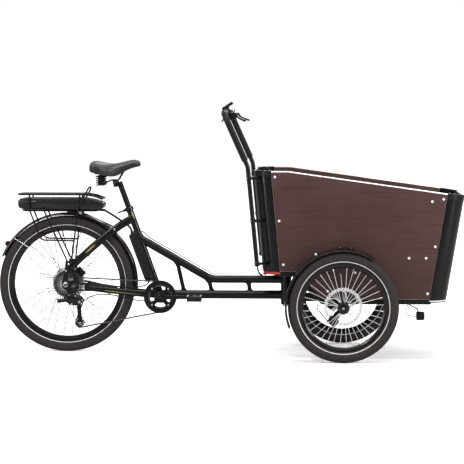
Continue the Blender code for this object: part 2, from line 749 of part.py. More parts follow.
def rear_triangle():
    solids = []
    for side in (-1, 1):
        seat_stay = [seat_stay_point(1.0, side * 0.018), seat_stay_point(0.757, side * 0.040),
                     seat_stay_point(0.398, side * 0.058), seat_stay_point(0.0, side * DROPOUT_Y)]
        heights = [STAY_H[0] + (STAY_H[1] - STAY_H[0]) * t for t in (0, 0.28, 0.6, 1)]
        widths = (STAY_W, STAY_W, STAY_W - 0.001, 0.010)
        sections = [oval(w / 2, h / 2, 10) for w, h in zip(widths, heights)]
        solids.append(swept(seat_stay, sections, side=(0, 1, 0)))
        chain_stay = [(BB_X + 0.004, side * 0.026, BB_Z + 0.006),
                      chain_stay_point(0.766, side * 0.044, 0.044),
                      chain_stay_point(0.525, side * 0.058, 0.032),
                      (REAR_AXLE_X + 0.110, side * DROPOUT_Y, REAR_AXLE_Z - 0.017)]
        heights = [CHAINSTAY_H[0] + (CHAINSTAY_H[1] - CHAINSTAY_H[0]) * t for t in (0, 0.2, 0.6, 1)]
        solids.append(swept(chain_stay, [oval(STAY_W / 2, h / 2, 10) for h in heights], side=(0, 1, 0)))
        outline = [(REAR_AXLE_X + x, REAR_AXLE_Z + z) for x, z in DROPOUT]
        solids.append(prism(outline, *sorted((side * DROPOUT_IN, side * DROPOUT_OUT))))
    bridges = [rod(p - Vector((0, 0.040, 0)), p + Vector((0, 0.040, 0)), 0.007, 8) for p in (
        seat_stay_point(BRIDGE_SHARE, 0), chain_stay_point(0.814, 0, 0.046))]
    welded = fuse(*solids, *bridges)
    seat_cut = rod(seat_axis(0.05), seat_axis(SEAT_TUBE_L), to_flats(SEAT_TUBE_R + GAP, 16), 16)
    shell_cut = turned([(to_flats(BB_SHELL_R + GAP, 20), -0.06), (to_flats(BB_SHELL_R + GAP, 20), 0.06)],
                       CRANK_HUB, sides=20)
    lower_cut = rod(CRANK_HUB + Vector((0, 0, LOWER_TUBE_RISE)), (BB_X + 0.2, 0, LOWER_TUBE_Z),
                    to_flats(LOWER_TUBE_R + GAP, 12), 12)
    axle_cut = turned([(to_flats(REAR_AXLE_R + GAP, 12), -0.09), (to_flats(REAR_AXLE_R + GAP, 12), 0.09)],
                      REAR_HUB, sides=12)
    add("rear_triangle", [cut(welded, seat_cut, shell_cut, lower_cut, axle_cut)], "frame_black")


def bottom_bracket():
    """Cartridge in the frame's shell, a flange at each end."""
    end = BB_SHELL_W / 2
    hole = to_flats(SPINDLE_R + RUN, 16)
    outline = [(hole, -end - 0.003), (0.021, -end - 0.003), (0.021, -end - GAP), (BB_CUP_R, -end - GAP),
               (BB_CUP_R, end + GAP), (0.021, end + GAP), (0.021, end + 0.003), (hole, end + 0.003)]
    add("bottom_bracket", [hoop(outline, CRANK_HUB, sides=16)], "steel")


def rear_axle():
    """Hub axle with its nuts outside the dropouts and its collars inside them."""
    nut = DROPOUT_OUT + GAP
    inside = DROPOUT_IN - GAP
    right_collar = CHAINLINE + CHAIN_COG * COG_PITCH + COG_T / 2 + 0.002 + RUN
    left_collar = ROTOR_Y + 0.0035
    profile = [(REAR_AXLE_R, -nut - 0.014), (REAR_AXLE_R, -nut - 0.008), (0.0105, -nut - 0.008),
               (0.0105, -nut), (REAR_AXLE_R, -nut),
               (REAR_AXLE_R, -inside), (0.0095, -inside), (0.0095, -right_collar),
               (REAR_AXLE_R, -right_collar),
               (REAR_AXLE_R, left_collar), (0.0095, left_collar), (0.0095, inside), (REAR_AXLE_R, inside),
               (REAR_AXLE_R, nut), (0.0105, nut), (0.0105, nut + 0.008), (REAR_AXLE_R, nut + 0.008),
               (REAR_AXLE_R, nut + 0.014)]
    add("rear_axle", [turned(profile, REAR_HUB, sides=10)], "steel")


def seat_clamp():
    low, high = SEAT_TUBE_L - 0.018, SEAT_TUBE_L - 0.001
    ring = washer(SEAT_TUBE_R + GAP, SEAT_TUBE_R + 0.0045, seat_axis(0), low, high, SEAT_UP, 16)
    middle = seat_axis((low + high) / 2) + SEAT_BACK * (SEAT_TUBE_R + 0.009)
    ear = rod(middle + Vector((0, -0.012, 0)), middle + Vector((0, 0.014, 0)), 0.0065, 8)
    add("seat_clamp", [fuse(ring, ear)], "satin_black")
    hinge = middle + Vector((0, -0.012 - GAP - 0.006, 0))
    carrier = pivot("clamp_lever_pivot", hinge)
    head = rod(hinge - SEAT_UP * 0.006, hinge + SEAT_UP * 0.006, 0.006, 12)
    blade = rod(hinge + SEAT_BACK * 0.002, hinge + SEAT_BACK * 0.030, 0.0038, 6)
    add("clamp_lever", [fuse(head, blade)], "satin_black", carrier)


def controller_case():
    """Motor controller behind the seat tube, wrapped round half of it."""
    corners = [(0, 0.0), (0, 1.0), (0.22, 1.0), (1, 0.93), (1, 0.04), (0.8, 0.0)]
    outline = []
    for back, rise in corners:
        p = seat_axis(CASE_FOOT + (CASE_TOP - CASE_FOOT) * rise) + SEAT_BACK * CASE_D * back
        outline.append((p.x, p.z))
    body = prism(outline, -CASE_W / 2, CASE_W / 2)
    groove = rod(seat_axis(0), seat_axis(SEAT_TUBE_L), to_flats(SEAT_TUBE_R + GAP, 16), 16)
    add("controller_case", [fuse(cut(body, groove), *wiring())], "plastic")


def rear_mudguard():
    solids = []
    outer, half = MUDGUARD_R, MUDGUARD_W / 2
    top = [(outer - 0.010, -half), (outer, -0.55 * half), (outer, 0.55 * half), (outer - 0.010, half)]
    under = [(r - MUDGUARD_T, y) for r, y in reversed(top)]
    rings = []
    for k in range(MUDGUARD_STEPS + 1):
        angle = MUDGUARD_FROM + (MUDGUARD_TO - MUDGUARD_FROM) * k / MUDGUARD_STEPS
        rings.append([on_circle(REAR_AXLE_X, REAR_AXLE_Z, r, angle, y) for r, y in top + under])
    solids.append(loft(rings))
    for side in (-1, 1):
        start = on_circle(REAR_AXLE_X, REAR_AXLE_Z, outer - 0.0095, 139.0, side * (half - 0.0010))
        eyelet = Vector((REAR_AXLE_X + 0.004, side * (DROPOUT_OUT + 0.0025), REAR_AXLE_Z + 0.066))
        solids.append(tube([start, eyelet + Vector((-0.034, 0, 0.0205)), eyelet], STAY_WIRE_R, 6))
    bridge = seat_stay_point(BRIDGE_SHARE, 0)
    toward = (REAR_HUB - bridge).normalized()
    foot = REAR_HUB - toward * (outer - 0.001)
    solids.append(rod(bridge + toward * (0.007 + GAP), foot, 0.006, 8))
    add("rear_mudguard", [fuse(*solids)], "satin_black")


def tail_light():
    """Upright lamp on a wedge over one facet of the rear mudguard."""
    facet = (MUDGUARD_TO - MUDGUARD_FROM) / MUDGUARD_STEPS
    middle = MUDGUARD_FROM + (math.floor((TAIL_AT - MUDGUARD_FROM) / facet) + 0.5) * facet
    centre = on_circle(REAR_AXLE_X, REAR_AXLE_Z, MUDGUARD_R, TAIL_AT)
    foot = []
    for z in (centre.z + TAIL_H / 2, centre.z - TAIL_H / 2):
        flat = MUDGUARD_R * math.cos(math.radians(facet / 2)) + GAP
        rise = z - REAR_AXLE_Z
        lean = math.radians(middle)
        foot.append((REAR_AXLE_X + (flat - rise * math.sin(lean)) / math.cos(lean), z))
    back = foot[1][0] - 0.0005
    wedge = foot + [(back, foot[1][1]), (back, foot[0][1])]
    base = prism(wedge, -TAIL_W / 2 + 0.001, TAIL_W / 2 - 0.001)
    lens = block((back - TAIL_D, back + 0.0001), (-TAIL_W / 2, TAIL_W / 2), (foot[1][1], foot[0][1]))
    add("tail_light", [fuse(base, lens)], "red_lens")


def clip_hinge(y):
    return Vector((station(RISER_FRONT) - 0.005, y, DOCK_Z + CLIP_UP))


def rack_nose(across):
    """Points down the platform's drooping front end."""
    front, z = station(RACK_FRONT), RACK_TOP_Z
    knee = front - 0.45 * RACK_NOSE_L
    return [(front, across, z - RACK_NOSE_DROP), (knee, across, z - 0.35 * RACK_NOSE_DROP),
            (front - RACK_NOSE_L, across, z)]


def rack_stay(side):
    """Stay from under the dock forward to the seat stay, with the tab that it hangs on."""
    here, before = seat_stay_point(RACK_STAY_SHARE, 0), seat_stay_point(RACK_STAY_SHARE - 0.05, 0)
    up = Vector((0, 1, 0)).cross(here - before).normalized()
    up = up if up.z > 0 else -up
    half_h = (STAY_H[1] + (STAY_H[0] - STAY_H[1]) * RACK_STAY_SHARE) / 2
    y = side * RACK_STAY_Y
    tip = here + up * (half_h + 0.65 * RACK_STAY_R)
    low = DOCK_Z - 0.023
    x = station(RISER_FRONT)
    path = [(x - 0.064, y, DOCK_Z - 0.010), (x + 0.018, y, low - 0.004), (tip.x, y, tip.z)]
    tab = block((x - 0.006, x + 0.006), (y - 0.003, y + 0.003), (low - 0.002, DOCK_Z - 0.006))
    return [tube(eased(path, 0.05, 1), RACK_STAY_R, 6), tab]


def rear_rack():
    """Platform over the battery, its dock, side struts, bag hoops and front stays, welded as one."""
    front, rear = station(RACK_FRONT), station(RACK_REAR)
    y, z, r = RACK_HALF_W, RACK_TOP_Z, RACK_TUBE_R
    corners = rack_nose(y) + [(rear + r, y, z), (rear + r, -y, z)] + rack_nose(-y)[::-1]
    tubes = [tube(eased(corners, 0.022, 2), r, 6)]
    tip = Vector(rack_nose(0)[0]) + Vector((-0.002, 0, 0.001))
    tubes.append(rod(tip - Vector((0, y, 0)), tip + Vector((0, y, 0)), STRUT_R, 6))
    for at in (RISER_REAR, RISER_FRONT):
        tubes.append(rod((station(at), -y, z), (station(at), y, z), STRUT_R, 6))
        tubes.append(rod((station(at), -y, DOCK_Z - 0.006), (station(at), y, DOCK_Z - 0.006), STRUT_R, 6))
    for inner in (-y / 3, y / 3):
        tubes.append(tube(eased(rack_nose(inner) + [(rear + r, inner, z)], 0.022, 1), 0.7 * r, 6))
    for side in (-1, 1):
        tubes += rack_side(side)
    dock = block((rear + 0.020, front - 0.010), (-0.030, 0.030), (DOCK_Z - DOCK_H, DOCK_Z))
    add("rear_rack", [fuse(*tubes, dock)], "satin_black")


def rack_side(side):
    """Struts from the dropout's eyelet, the bag hoop, the clip's lug and the front stay on one side."""
    y, z = side * RACK_HALF_W, RACK_TOP_Z
    eyelet = Vector((REAR_AXLE_X + 0.016, side * (DROPOUT_OUT + 0.008), REAR_AXLE_Z + 0.100))
    second = eyelet + Vector((0.013, 0, 0.004))
    boss = rod((eyelet.x, side * (DROPOUT_OUT + GAP), eyelet.z), eyelet, 0.0048, 8)
    knee = Vector((station(RISER_FRONT) - 0.010, y, DOCK_Z - 0.006))
    front_strut = tube(eased([(station(RISER_FRONT), y, z), knee, second], 0.03, 2), STRUT_R, 6)
    middle = Vector((REAR_AXLE_X - 0.106, y, DOCK_Z - 0.004))
    rear_x = station(RISER_REAR)
    rear_struts = [rod(middle + Vector((-0.004, 0, 0.012)), eyelet, STRUT_R, 6),
                   rod((rear_x, y, z), (rear_x, y, DOCK_Z - 0.006), STRUT_R, 6),
                   rod((rear_x, y, DOCK_Z), middle + Vector((0.010, 0, 0)), STRUT_R, 6),
                   rod(eyelet, second, STRUT_R, 6)]
    meets = knee.lerp(second, (knee.z - REAR_AXLE_Z - 0.2125) / (knee.z - second.z))
    hoop_rear = Vector((REAR_AXLE_X - 0.118, meets.y, meets.z + 0.003))
    bag_hoop = tube(eased([(rear_x, y, DOCK_Z), hoop_rear, meets], 0.03, 2), STRUT_R, 6)
    lug = clip_hinge(y)
    lug = rod(lug, lug + Vector((0, side * (CLIP_OUT - CLIP_WIRE_R - GAP), 0)), 0.004, 6)
    return [boss, front_strut, *rear_struts, bag_hoop, lug, *rack_stay(side)]


def battery():
    """Rack battery, which slides out rearwards."""
    z, h = BATTERY_FOOT_Z, BATTERY_H
    rear = station(RACK_REAR) + 0.002
    front = rear + BATTERY_L
    outline = [(rear + 0.030, z), (front - 0.030, z), (front - 0.004, z + 0.16 * h), (front, z + 0.45 * h),
               (front - 0.016, z + 0.66 * h), (front - 0.100, z + h), (rear + 0.040, z + h),
               (rear, z + 0.78 * h), (rear, z + 0.30 * h)]
    carrier = pivot("battery_runner", (rear, 0, z))
    add("battery", [prism(outline, -BATTERY_W / 2, BATTERY_W / 2)], "plastic", carrier, bevel=0.007)


def rack_clip():
    """Sprung bail that holds luggage on the platform."""
    y = RACK_HALF_W + CLIP_OUT
    hinge = clip_hinge(0)
    knee = hinge + Vector((0.042, 0, 0.078))
    carrier = pivot("clip_pivot", hinge)
    corners = [hinge + Vector((0, -y, 0)), knee + Vector((0, -y, 0)), knee + Vector((0.004, -0.6 * y, 0.012)),
               knee + Vector((0.004, 0.6 * y, 0.012)), knee + Vector((0, y, 0)), hinge + Vector((0, y, 0))]
    bail = tube(eased(corners, 0.014, 2), CLIP_WIRE_R, 6)
    add("rack_clip", [bail], "rubber", carrier)


# Rear wheel and drive

def rear_wheel():
    carrier = pivot("rear_wheel_axle", REAR_HUB)
    seat = REAR_TYRE_R - REAR_TYRE_H
    sides = 36
    add("rear_tyre", [tyre(REAR_HUB, REAR_TYRE_R, REAR_TYRE_W, REAR_TYRE_H, sides)], "tyre", carrier)
    add("rear_rim", [rim(REAR_HUB, seat - GAP, REAR_RIM_DEPTH, sides)], "satin_black", carrier)
    right, left = MOTOR_OFFSET - MOTOR_W / 2, MOTOR_OFFSET + MOTOR_W / 2
    flange_r = MOTOR_R + FLANGE
    wires = spokes(REAR_HUB, flange_r, (right + 0.002, left - 0.002), seat - GAP - REAR_RIM_DEPTH, 20, sides,
                   0.0016)
    hole = to_flats(REAR_AXLE_R + RUN, 12)
    inner = -COG_IN + RUN + 0.0007
    shell = [(hole, inner), (0.016, inner), (0.030, right - 0.003), (flange_r, right),
             (flange_r, right + 0.004), (MOTOR_R, right + 0.006), (MOTOR_R, left - 0.006),
             (flange_r, left - 0.004), (flange_r, left), (0.045, left + 0.006), (0.019, left + 0.008),
             (0.019, ROTOR_Y + 0.0021), (hole, ROTOR_Y + 0.0021)]
    disc = rotor(REAR_HUB + Vector((0, ROTOR_Y, 0)), REAR_ROTOR_R, 0.013)
    add("hub_motor", [fuse(hoop(shell, REAR_HUB, sides=20), *disc, *wires)], "plastic", carrier)


def cassette():
    """Stack of cogs, largest beside the motor."""
    carrier = pivot("cassette_axle", REAR_HUB)
    hole = to_flats(REAR_AXLE_R + RUN, 12)
    profile = [(hole, -COG_IN), (cog_radius(COG_TEETH[-1]), -COG_IN)]
    for index in range(len(COG_TEETH) - 1, 0, -1):
        outer_face = -CHAINLINE + (index - CHAIN_COG) * COG_PITCH - COG_T / 2 - 0.0002
        profile += [(cog_radius(COG_TEETH[index]), outer_face),
                    (cog_radius(COG_TEETH[index - 1]), outer_face)]
    end = -CHAINLINE - CHAIN_COG * COG_PITCH - COG_T / 2
    profile += [(cog_radius(COG_TEETH[0]), end), (0.014, end - 0.002), (hole, end - 0.002)]
    add("cassette", [hoop(profile, REAR_HUB, sides=16)], "steel", carrier)


def chain():
    pulley = pitch_radius(PULLEY_TEETH)
    path = belt([(BB_X, BB_Z, pitch_radius(RING_TEETH), -1), (TENSION.x, TENSION.z, pulley, -1),
                 (GUIDE.x, GUIDE.z, pulley, 1),
                 (REAR_AXLE_X, REAR_AXLE_Z, pitch_radius(COG_TEETH[CHAIN_COG]), -1)])
    half_w, half_h = CHAIN_W / 2, CHAIN_H / 2
    section = [(-half_w, -half_h), (half_w, -half_h), (half_w, half_h), (-half_w, half_h)]
    add("chain", [swept(path, section, side=(0, 1, 0), closed=True)], "steel")


def derailleur():
    plates = []
    for near in (-0.0075, 0.0055):
        outline = []
        for centre, angles in ((GUIDE, (20, 60, 100, 140, 180)), (TENSION, (200, 240, 280, 320, 360))):
            for angle in angles:
                p = on_circle(centre.x, centre.z, 0.011, angle)
                outline.append((p.x, p.z))
        plates.append(prism(outline, -CHAINLINE + near, -CHAINLINE + near + 0.002))
    pins = [rod(centre + Vector((0, -0.0065, 0)), centre + Vector((0, 0.0065, 0)), 0.003, 8)
            for centre in (GUIDE, TENSION)]
    outer = -CHAINLINE - 0.0060
    body = [(-0.67, 0.18), (-0.48, 0.32), (-0.20, 0.33), (0.05, 0.17), (0.17, 0.03), (0.14, -0.13),
            (0.02, -0.22), (-0.30, -0.22), (-0.60, -0.05)]
    body = [(GUIDE.x + x * KNUCKLE_L, GUIDE.z + z * KNUCKLE_L) for x, z in body]
    knuckle = prism(body, outer - 0.024, outer - 0.0002)
    adjuster = rod(GUIDE + Vector((-0.55 * KNUCKLE_L, -0.018, 0.02 * KNUCKLE_L)),
                   GUIDE + Vector((-0.98 * KNUCKLE_L, -0.018, -0.02 * KNUCKLE_L)), 0.0075, 8)
    hanger_cut = prism([(REAR_AXLE_X + x, REAR_AXLE_Z + z) for x, z in grown(DROPOUT, GAP)],
                       -DROPOUT_OUT - GAP, -DROPOUT_IN + GAP)
    cable = [(BB_X - 0.020, -0.030, BB_Z - 0.024), chain_stay_point(0.858, -0.035, 0.081),
             chain_stay_point(0.748, -0.046, 0.077), chain_stay_point(0.525, -0.066, 0.052),
             (REAR_AXLE_X + 0.165, -0.082, REAR_AXLE_Z - 0.046),
             (GUIDE.x + 0.060, -0.088, GUIDE.z + 0.020), (GUIDE.x + 0.034, -0.080, GUIDE.z + 0.004),
             (GUIDE.x + 0.0125, -0.070, GUIDE.z)]
    casing = tube(smooth(cable, 2), 0.002, 6)
    add("derailleur", [cut(fuse(*plates, *pins, knuckle, adjuster, casing), hanger_cut)], "plastic")
    for name, centre in (("guide_pulley", GUIDE), ("tension_pulley", TENSION)):
        wheel = washer(0.003 + RUN, cog_radius(PULLEY_TEETH), centre, -0.0011, 0.0011, sides=16)
        add(name, [wheel], "plastic", pivot(name + "_pin", centre))


def grown(outline, by):
    """Outline moved outwards by a margin at each corner."""
    count = len(outline)
    area = sum(outline[i - 1][0] * outline[i][1] - outline[i][0] * outline[i - 1][1] for i in range(count))
    sense = 1 if area > 0 else -1
    result = []
    for i in range(count):
        a, b, c = (Vector(outline[(i + k) % count]) for k in (-1, 0, 1))
        first, second = (b - a).normalized(), (c - b).normalized()
        n1, n2 = Vector((first.y, -first.x)) * sense, Vector((second.y, -second.x)) * sense
        corner = (n1 + n2) / max(0.3, 1 + n1.dot(n2))
        result.append(tuple(b + corner * by))
    return result


def cranks():
    carrier = pivot("crank_axle", CRANK_HUB)
    hub = CRANK_HUB
    ring = washer(pitch_radius(RING_TEETH) - 0.020, cog_radius(RING_TEETH), hub, -CHAINLINE - 0.0012,
                  -CHAINLINE + 0.0012, sides=24)
    outer = -CHAINLINE - CHAIN_W / 2 - 0.002
    guard = washer(GUARD_R - GUARD_BAND, GUARD_R, hub, outer - GUARD_T, outer, sides=24)
    boss = turned([(0.018, -0.0765), (0.024, -0.074), (0.024, -0.045)], hub, sides=16)
    arms = []
    for k in range(SPIDER_ARMS):
        arm = block((BB_X + 0.015, BB_X + GUARD_R - GUARD_BAND + 0.004),
                    (outer - 0.8 * GUARD_T, -CHAINLINE + 0.0008), (BB_Z - 0.009, BB_Z + 0.009))
        arms.append(spun(arm, hub, 45 + k * 360 / SPIDER_ARMS))
    spindle = turned([(SPINDLE_R, -0.070), (SPINDLE_R, 0.070)], hub, sides=12)
    left_boss = turned([(0.018, 0.045), (0.018, 0.0765)], hub, sides=16)
    levers = []
    for side, forward in ((-1, 1), (1, -1)):
        ends = []
        for centre, half, angles in ((0, CRANK_W / 2, (90, 130, 180, 230, 270)),
                                     (CRANK_LENGTH, 0.42 * CRANK_W, (-90, -45, 0, 45, 90))):
            for angle in angles:
                p = on_circle(centre, 0, half, angle)
                ends.append((BB_X + forward * p.x, BB_Z + p.z))
        levers.append(prism(ends, *sorted((side * 0.061, side * (0.061 + CRANK_T)))))
        end = Vector((BB_X + forward * CRANK_LENGTH, 0, BB_Z))
        levers.append(turned([(PEDAL_PIN_R, side * 0.070), (PEDAL_PIN_R, side * (PEDAL_Y + PEDAL_W - 0.008))],
                             end, sides=8))
    add("crank_set", [fuse(boss, guard, ring, spindle, left_boss, *arms, *levers)], "satin_black", carrier)
    for name, side, forward in (("pedal_right", -1, 1), ("pedal_left", 1, -1)):
        centre = Vector((BB_X + forward * CRANK_LENGTH, 0, BB_Z))
        ys = sorted((side * PEDAL_Y, side * (PEDAL_Y + PEDAL_W)))
        body = block((centre.x - PEDAL_L / 2, centre.x + PEDAL_L / 2), ys,
                     (centre.z - PEDAL_H / 2, centre.z + PEDAL_H / 2))
        bore = turned([(to_flats(PEDAL_PIN_R + RUN, 8), side * (PEDAL_Y - 0.01)),
                       (to_flats(PEDAL_PIN_R + RUN, 8), side * (PEDAL_Y + PEDAL_W - 0.007))], centre, sides=8)
        windows = []
        for offset in (-1, 1):
            middle = centre.x + offset * 0.27 * PEDAL_L
            windows.append(block((middle - 0.008, middle + 0.008),
                                 sorted((side * (PEDAL_Y + 0.012), side * (PEDAL_Y + PEDAL_W - 0.012))),
                                 (centre.z - PEDAL_H, centre.z + PEDAL_H)))
        middle = centre + Vector((0, side * (PEDAL_Y + PEDAL_W / 2), 0))
        add(name, [cut(body, bore, *windows)], "rubber", pivot(name + "_pin", middle))



def wiring():
    """The controller's leads: to the hub motor, to the battery's dock and along the upper tube."""
    end_y = DROPOUT_OUT + GAP + 0.014 + GAP
    stay_y = DROPOUT_IN + 0.011
    motor = [(0.0, -end_y, 0.0), (0.0, -end_y - 0.008, 0.0), (0.015, -end_y - 0.010, 0.002),
             (0.045, -end_y - 0.002, 0.005), (0.085, -stay_y - 0.002, 0.006), (0.125, -stay_y + 0.006, 0.008),
             (0.180, -0.066, 0.002)]
    motor = [REAR_HUB + Vector(p) for p in motor]
    motor += [chain_stay_point(0.525, -0.056, 0.008), chain_stay_point(0.700, -0.046, 0.016),
              chain_stay_point(0.8206, -0.030, 0.008), chain_stay_point(0.8665, -0.018, -0.004)]
    foot = seat_axis(CASE_FOOT + 0.004) + SEAT_BACK * 0.026
    motor.append(Vector((foot.x, -0.012, foot.z)))
    solids = [tube(smooth(motor, 1), 0.003, 5)]
    start_x = station(RACK_FRONT) - 0.010 + GAP
    case_top = seat_axis(CASE_TOP - 0.016) + SEAT_BACK * 0.028
    for y in (-0.0075, 0.0075):
        above = Vector((case_top.x - 0.014, y, case_top.z + 0.034))
        start = Vector((start_x + 0.020, y * 1.5, DOCK_Z - 0.009))
        lead = [(start_x, y * 1.6, DOCK_Z - 0.004), (start_x + 0.008, y * 1.6, DOCK_Z - 0.0043), start,
                start.lerp(above, 0.5) + Vector((0, 0, 0.003)), above, (case_top.x, y, case_top.z)]
        solids.append(tube(smooth(lead, 2), 0.0025, 5))
    offset = UPPER_TUBE_R + 0.0062
    along = Vector((math.cos(UPPER_SLOPE), 0, -math.sin(UPPER_SLOPE)))
    above = Vector((math.sin(UPPER_SLOPE), 0, math.cos(UPPER_SLOPE)))
    side = Vector((0, 1, 0))
    bend = Vector((station(UPPER_BEND_AHEAD) + offset * math.tan(UPPER_SLOPE / 2), 0, UPPER_TUBE_Z + offset))
    end = Vector((station(UPPER_BEND_AHEAD + 0.255), 0, UPPER_TUBE_Z + offset))
    upper = [seat_axis(SEAT_MEETS + 0.0126) + SEAT_BACK * 0.004 + side * 0.0225,
             seat_axis(SEAT_MEETS + 0.0186) - SEAT_BACK * 0.006 + side * 0.0228,
             seat_axis(SEAT_MEETS + 0.0306) - SEAT_BACK * 0.020 + side * 0.016,
             seat_axis(SEAT_MEETS) + above * offset + along * 0.035, bend, end,
             end + Vector((0.014, 0, -0.0035))]
    solids.append(tube(eased(upper, 0.012, 2), 0.0022, 6))
    return solids


def rear_caliper():
    body = caliper(REAR_HUB, 1, 42.0, REAR_ROTOR_R, 0.0445, DROPOUT_IN - GAP, ROTOR_Y)
    add("rear_caliper", [body], "satin_black")


# Seat

def rails():
    paths = []
    ahead, spread, rise = RAIL_ANCHOR
    for side in (-1, 1):
        corners = [(SEAT_HEAD.x + ahead, side * spread, SEAT_HEAD.z + rise)]
        corners += [(SEAT_HEAD.x + at, side * RAIL_SPREAD, RAIL_Z) for at in RAIL_BENDS]
        corners.append((SPRING_X + 0.004, side * (RAIL_SPREAD + 0.003), SPRING_FOOT_Z - 0.004))
        paths.append(eased(corners, 0.014, 2))
    return paths


def seat():
    carrier = pivot("seat_post_runner", seat_axis(SEAT_TUBE_L))
    post = rod(seat_axis(SEAT_TUBE_L - POST_INSIDE), seat_axis(POST_TOP), POST_R, 16)
    head = rod(SEAT_HEAD + Vector((0, -0.034, -0.004)), SEAT_HEAD + Vector((0, 0.034, -0.004)), CLAMP_R, 12)
    bracket = block((SEAT_HEAD.x - 0.011, SEAT_HEAD.x + HEAD_BACK), (-0.016, 0.016),
                    (SEAT_HEAD.z - HEAD_DROP, SEAT_HEAD.z - 0.004))
    saddle_clamp = fuse(post, head, bracket)
    grooves = [tube(path, to_flats(RAIL_R + GAP, 8), 8) for path in rails()]
    add("seat_post", [cut(saddle_clamp, *grooves)], "satin_black", carrier)
    wires = [tube(path, RAIL_R, 8) for path in rails()]
    rim = SPRING_R + SPRING_RIM
    plate = block((SPRING_X - rim, SPRING_X + rim), (-SPRING_SPREAD - rim, SPRING_SPREAD + rim),
                  (SPRING_FOOT_Z - 0.006, SPRING_FOOT_Z - 0.002))
    add("saddle_rails", [fuse(plate, *wires)], "satin_black", carrier)
    for name, side in (("saddle_spring_right", -1), ("saddle_spring_left", 1)):
        coil = spring_path(Vector((SPRING_X, side * SPRING_SPREAD, SPRING_FOOT_Z)))
        print(name, "least gap to itself", round(least_gap(coil, SPRING_WIRE_R) * 1000, 2), "mm")
        add(name, [tube(coil, SPRING_WIRE_R, 6)], "satin_black", carrier)
    spring_top = SPRING_FOOT_Z + SPRING_H
    base = block((SPRING_X - rim - 0.003, SPRING_X + rim + 0.003),
                 (-SPRING_SPREAD - rim - 0.002, SPRING_SPREAD + rim + 0.002),
                 (spring_top, spring_top + 0.016))
    sockets = []
    for path in rails():
        deep = path[0] + (path[0] - path[1]).normalized() * RUN
        sockets.append(tube([path[1], deep], RAIL_R + 2 * RUN, 8))
    add("saddle", [cut(fuse(cushion(), base), *sockets)], "saddle", pivot("saddle_flex", FLEX_AT))


def spring_path(foot):
    """Coil spring: a helix whose ends run straight for one wire diameter, level with its seats."""
    low, high = SPRING_WIRE_R - 0.0017, SPRING_H - SPRING_WIRE_R - 0.0003
    steps = SPRING_TURNS * SPRING_POINTS
    path = []
    for k in range(steps + 1):
        angle = 2 * math.pi * k / SPRING_POINTS
        rise = low + (high - low) * k / steps
        path.append(foot + Vector((SPRING_R * math.cos(angle), SPRING_R * math.sin(angle), rise)))
    ends = Vector((0, 2 * SPRING_WIRE_R, 0))
    return [path[0] - ends] + path + [path[-1] + ends]


def least_gap(path, radius):
    """Least gap between turns, measured on points at least half a turn apart."""
    apart = SPRING_POINTS // 2
    reach = [(path[i] - path[j]).length for i in range(len(path)) for j in range(i + apart, len(path))]
    return min(reach) - 2 * radius


# Saddle stations as shares: of its length from the nose, of its half width, and of its depth
# below the top, at the crown and at the skirt
SADDLE_SHAPE = ((0.000, 0.102, 0.212, 0.338), (0.020, 0.194, 0.075, 0.388), (0.070, 0.255, 0.012, 0.425),
                (0.160, 0.286, 0.000, 0.500), (0.280, 0.316, 0.075, 0.650), (0.400, 0.378, 0.162, 0.850),
                (0.500, 0.480, 0.212, 0.988), (0.600, 0.633, 0.206, 1.000), (0.700, 0.827, 0.162, 0.938),
                (0.800, 0.969, 0.100, 0.862), (0.890, 1.000, 0.062, 0.788), (0.950, 0.918, 0.100, 0.738),
                (0.985, 0.755, 0.175, 0.675), (1.000, 0.551, 0.275, 0.600))


def cushion():
    """Comfort saddle: crowned top, drawn-in sides and a skirt with a hollow underside."""
    nose = SEAT_HEAD.x + SADDLE_NOSE_AHEAD
    top = SEAT_HEAD.z + SADDLE_H
    rings = []
    for share, wide, crown, skirt in SADDLE_SHAPE:
        half, crown, skirt = wide * SADDLE_W / 2, -crown * SADDLE_DEPTH, -skirt * SADDLE_DEPTH
        depth = crown - skirt
        hollow = 0.22 * depth if 0.05 < share < 0.97 else 0.012 * SADDLE_DEPTH
        section = [(0, crown - 0.019 * wide * SADDLE_DEPTH), (0.35, crown), (0.68, crown - 0.10 * depth),
                   (0.90, crown - 0.28 * depth), (1.00, crown - 0.52 * depth), (0.98, crown - 0.78 * depth),
                   (0.92, skirt), (0.80, skirt), (0.62, skirt + hollow), (0.30, skirt + hollow),
                   (0, skirt + hollow)]
        x = nose - share * SADDLE_L
        right = [Vector((x, -half * w, top + z)) for w, z in section]
        left = [Vector((x, half * w, top + z)) for w, z in reversed(section[1:-1])]
        rings.append(right + left)
    return loft(rings)


# Cargo box

def wall_x(ahead, foot_z, lean, z):
    return station(ahead) + (z - foot_z) * math.tan(lean)


def rear_face(z):
    return wall_x(BOX_REAR_AHEAD, RAISED_FLOOR_Z, -REAR_LEAN, z)


def front_face(z):
    return wall_x(BOX_FRONT_AHEAD, LOW_FLOOR_Z, FRONT_LEAN, z)


def on_top_edge(ahead, foot_z, lean):
    x, z = top_edge(ahead, foot_z, lean)
    return station(x), z


def side_outline():
    """Side panel between the corner profiles."""
    inset = CORNER_R + GAP
    return [(rear_face(RAISED_FLOOR_Z) + inset, RAISED_FLOOR_Z), (station(STEP_AHEAD), RAISED_FLOOR_Z),
            (station(STEP_FOOT_AHEAD), LOW_FLOOR_Z), (front_face(LOW_FLOOR_Z) - inset, LOW_FLOOR_Z),
            on_top_edge(BOX_FRONT_AHEAD - inset, LOW_FLOOR_Z, FRONT_LEAN),
            (station(TOP_SLOPE_AHEAD), BOX_TOP_Z), (rear_face(BOX_TOP_Z) + inset, BOX_TOP_Z)]


